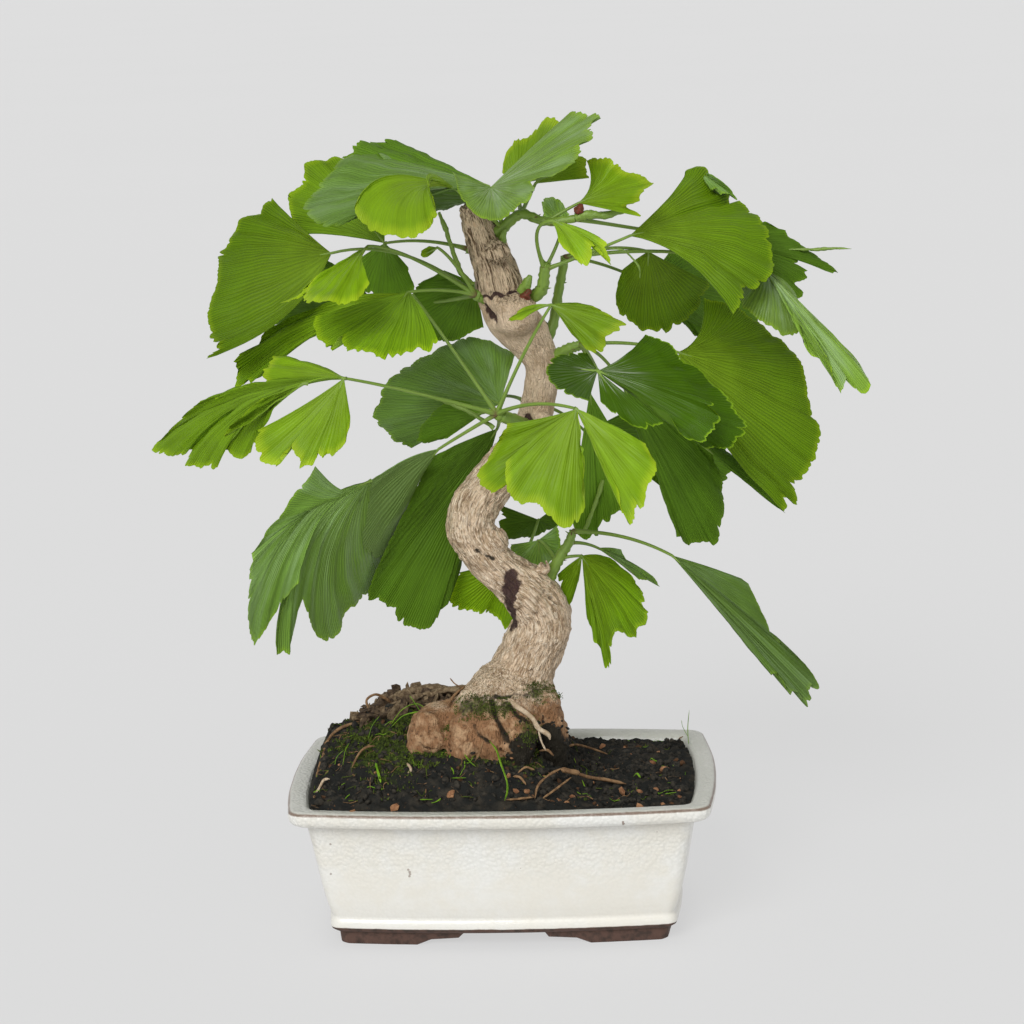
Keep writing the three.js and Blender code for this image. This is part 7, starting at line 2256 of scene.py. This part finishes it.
SMALL_FINISHES: dict[str, FleckedFinish] = {
    "crumb_dark": FleckedFinish("crumb_dark", (0.015, 0.0155, 0.014), (0.052, 0.045, 0.035), 1.6),
    "crumb_rust": FleckedFinish("crumb_rust", (0.1, 0.05, 0.024), (0.05, 0.028, 0.016)),
    "crumb_pale": FleckedFinish("crumb_pale", (0.38, 0.2, 0.1), (0.22, 0.1, 0.05)),
    "moss": FleckedFinish("moss", (0.045, 0.065, 0.01), (0.085, 0.115, 0.018)),
    "crust_dark": FleckedFinish("crust_dark", (0.13, 0.09, 0.055), (0.045, 0.03, 0.02), 1.6),
    "crust_light": FleckedFinish("crust_light", (0.27, 0.2, 0.12), (0.12, 0.08, 0.046), 1.6),
    "screen": FleckedFinish("screen", (0.02, 0.02, 0.02), (0.035, 0.035, 0.033), 2.0, 0.5, 0.1),
    "bud": FleckedFinish("bud", (0.2, 0.045, 0.03), (0.1, 0.04, 0.018), 1.0, 0.4, 0.1),
    "grass": FleckedFinish("grass", (0.2, 0.36, 0.02), (0.12, 0.26, 0.012), 4.0, 0.5, 0.1),
    "fine_root": FleckedFinish("fine_root", (0.3, 0.18, 0.09), (0.16, 0.09, 0.045), 2.5),
    "pale_root": FleckedFinish("pale_root", (0.62, 0.5, 0.36), (0.42, 0.31, 0.2), 2.5),
}
TWIGS: tuple[Twig, ...] = (
    Twig("crown_twig", ((36, -9, 297.5, 1.7), (41, -9, 298.5, 1.9), (47, -8.5, 298, 1.6),
        (53, -8, 299, 1.1), (58, -8, 299.5, 0.6)), finish="stem", roughness=0.1),
    Twig("crown_tip", ((37, -9.5, 299, 1.6), (38, -9.5, 301, 1.9), (38.6, -9.5, 303, 0.8)),
        finish="bud"),
    Twig("dry_stub", ((18, -9, 153, 2.2), (20, -10.5, 152, 1.8), (21.6, -11.5, 153.2, 0.9),
        (20.6, -11.5, 156, 0.5))),
    Twig("spiky_bud", ((5, -3, 287, 2.0), (6.5, -5, 290, 1.5), (7.5, -6.5, 293.5, 0.4)),
        finish="stem"),
    Twig("side_bud", ((11, -3, 262, 2.2), (14.5, -4.5, 265, 2.3), (16.5, -5.5, 268.5, 0.9)),
        finish="bud"),
    Twig("side_bud_green", ((13, -3, 267, 2.0), (15.5, -4.5, 270.5, 2.0), (17, -5, 274, 0.9)),
        finish="stem", roughness=0.1),
    Twig("curled_strip", ((50, -6, 284, 0.5), (55, -6, 283.5, 0.8), (59, -7, 280, 1.1),
        (61.5, -8, 276.5, 0.9), (61.7, -8, 272.2, 0.4)), finish="stem", flatten=0.4),
    Twig("bright_stem", ((44.7, 14, 184.6, 0.9), (41, 13, 174, 1.0), (36.7, 12, 163.6, 0.8)),
        finish="stem"),
    Twig("second_stalk", ((-25.7, -4, 224.9, 0.8), (-18.8, -4, 222.2, 0.9), (-9, -6, 218, 0.9),
        (0.5, -8, 211.7, 1.0)), finish="stem"),
    Twig("small_shoot", ((-7, 1, 270, 1.3), (-11.9, 0, 276.3, 1.1), (-17.1, 0, 292.8, 1.0),
        (-19.7, 0, 300.2, 0.7)), finish="stem"),
    Twig("spike", ((124, 30, 278.2, 0.6), (131, 29.5, 278, 1.1), (137, 28, 278.2, 1.5),
        (144, 26, 278.6, 1.0), (150, 24.5, 278.4, 0.15)), finish="stem", flatten=0.5),
)


def dress_screens(finish: bpy.types.Material) -> None:
    """Gives the drain screens their finish."""
    for name in ("drain_screen_left", "drain_screen_right"):
        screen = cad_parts[name]
        for holder in screen.material_slots:
            holder.material = finish
        LOG.info("%s: finished", name)


def build_twigs(finishes: dict[str, bpy.types.Material]) -> None:
    """Makes the small twigs, stubs and buds."""
    for twig in TWIGS:
        dress(twig.name, twig.surface(), [finishes[twig.finish]], sharp=70.0)


def main() -> None:
    """Builds the bonsai and its studio, piece by piece."""
    logging.basicConfig(level=logging.INFO, format="%(message)s")
    Studio().build()
    small = {key: finish.make() for key, finish in SMALL_FINISHES.items()}
    dress_screens(small["screen"])
    pot = Pot()
    pot.build(GLAZE.make())
    soil = RootBall(pot)
    soil.build(EARTH.make())
    bark, stem = BARK.make(), GREEN_STEM.make()
    skin = Trunk().build(bark)
    GroundCover(soil).build(small, skin)
    build_twigs({"bark": bark, "stem": stem, "bud": small["bud"]})
    leaves = {tone: finish.make() for tone, finish in LEAF_FINISHES.items()}
    for shoot in SHOOTS:
        shoot.build(leaves, stem)
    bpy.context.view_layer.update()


if __name__ == "__main__":
    main()
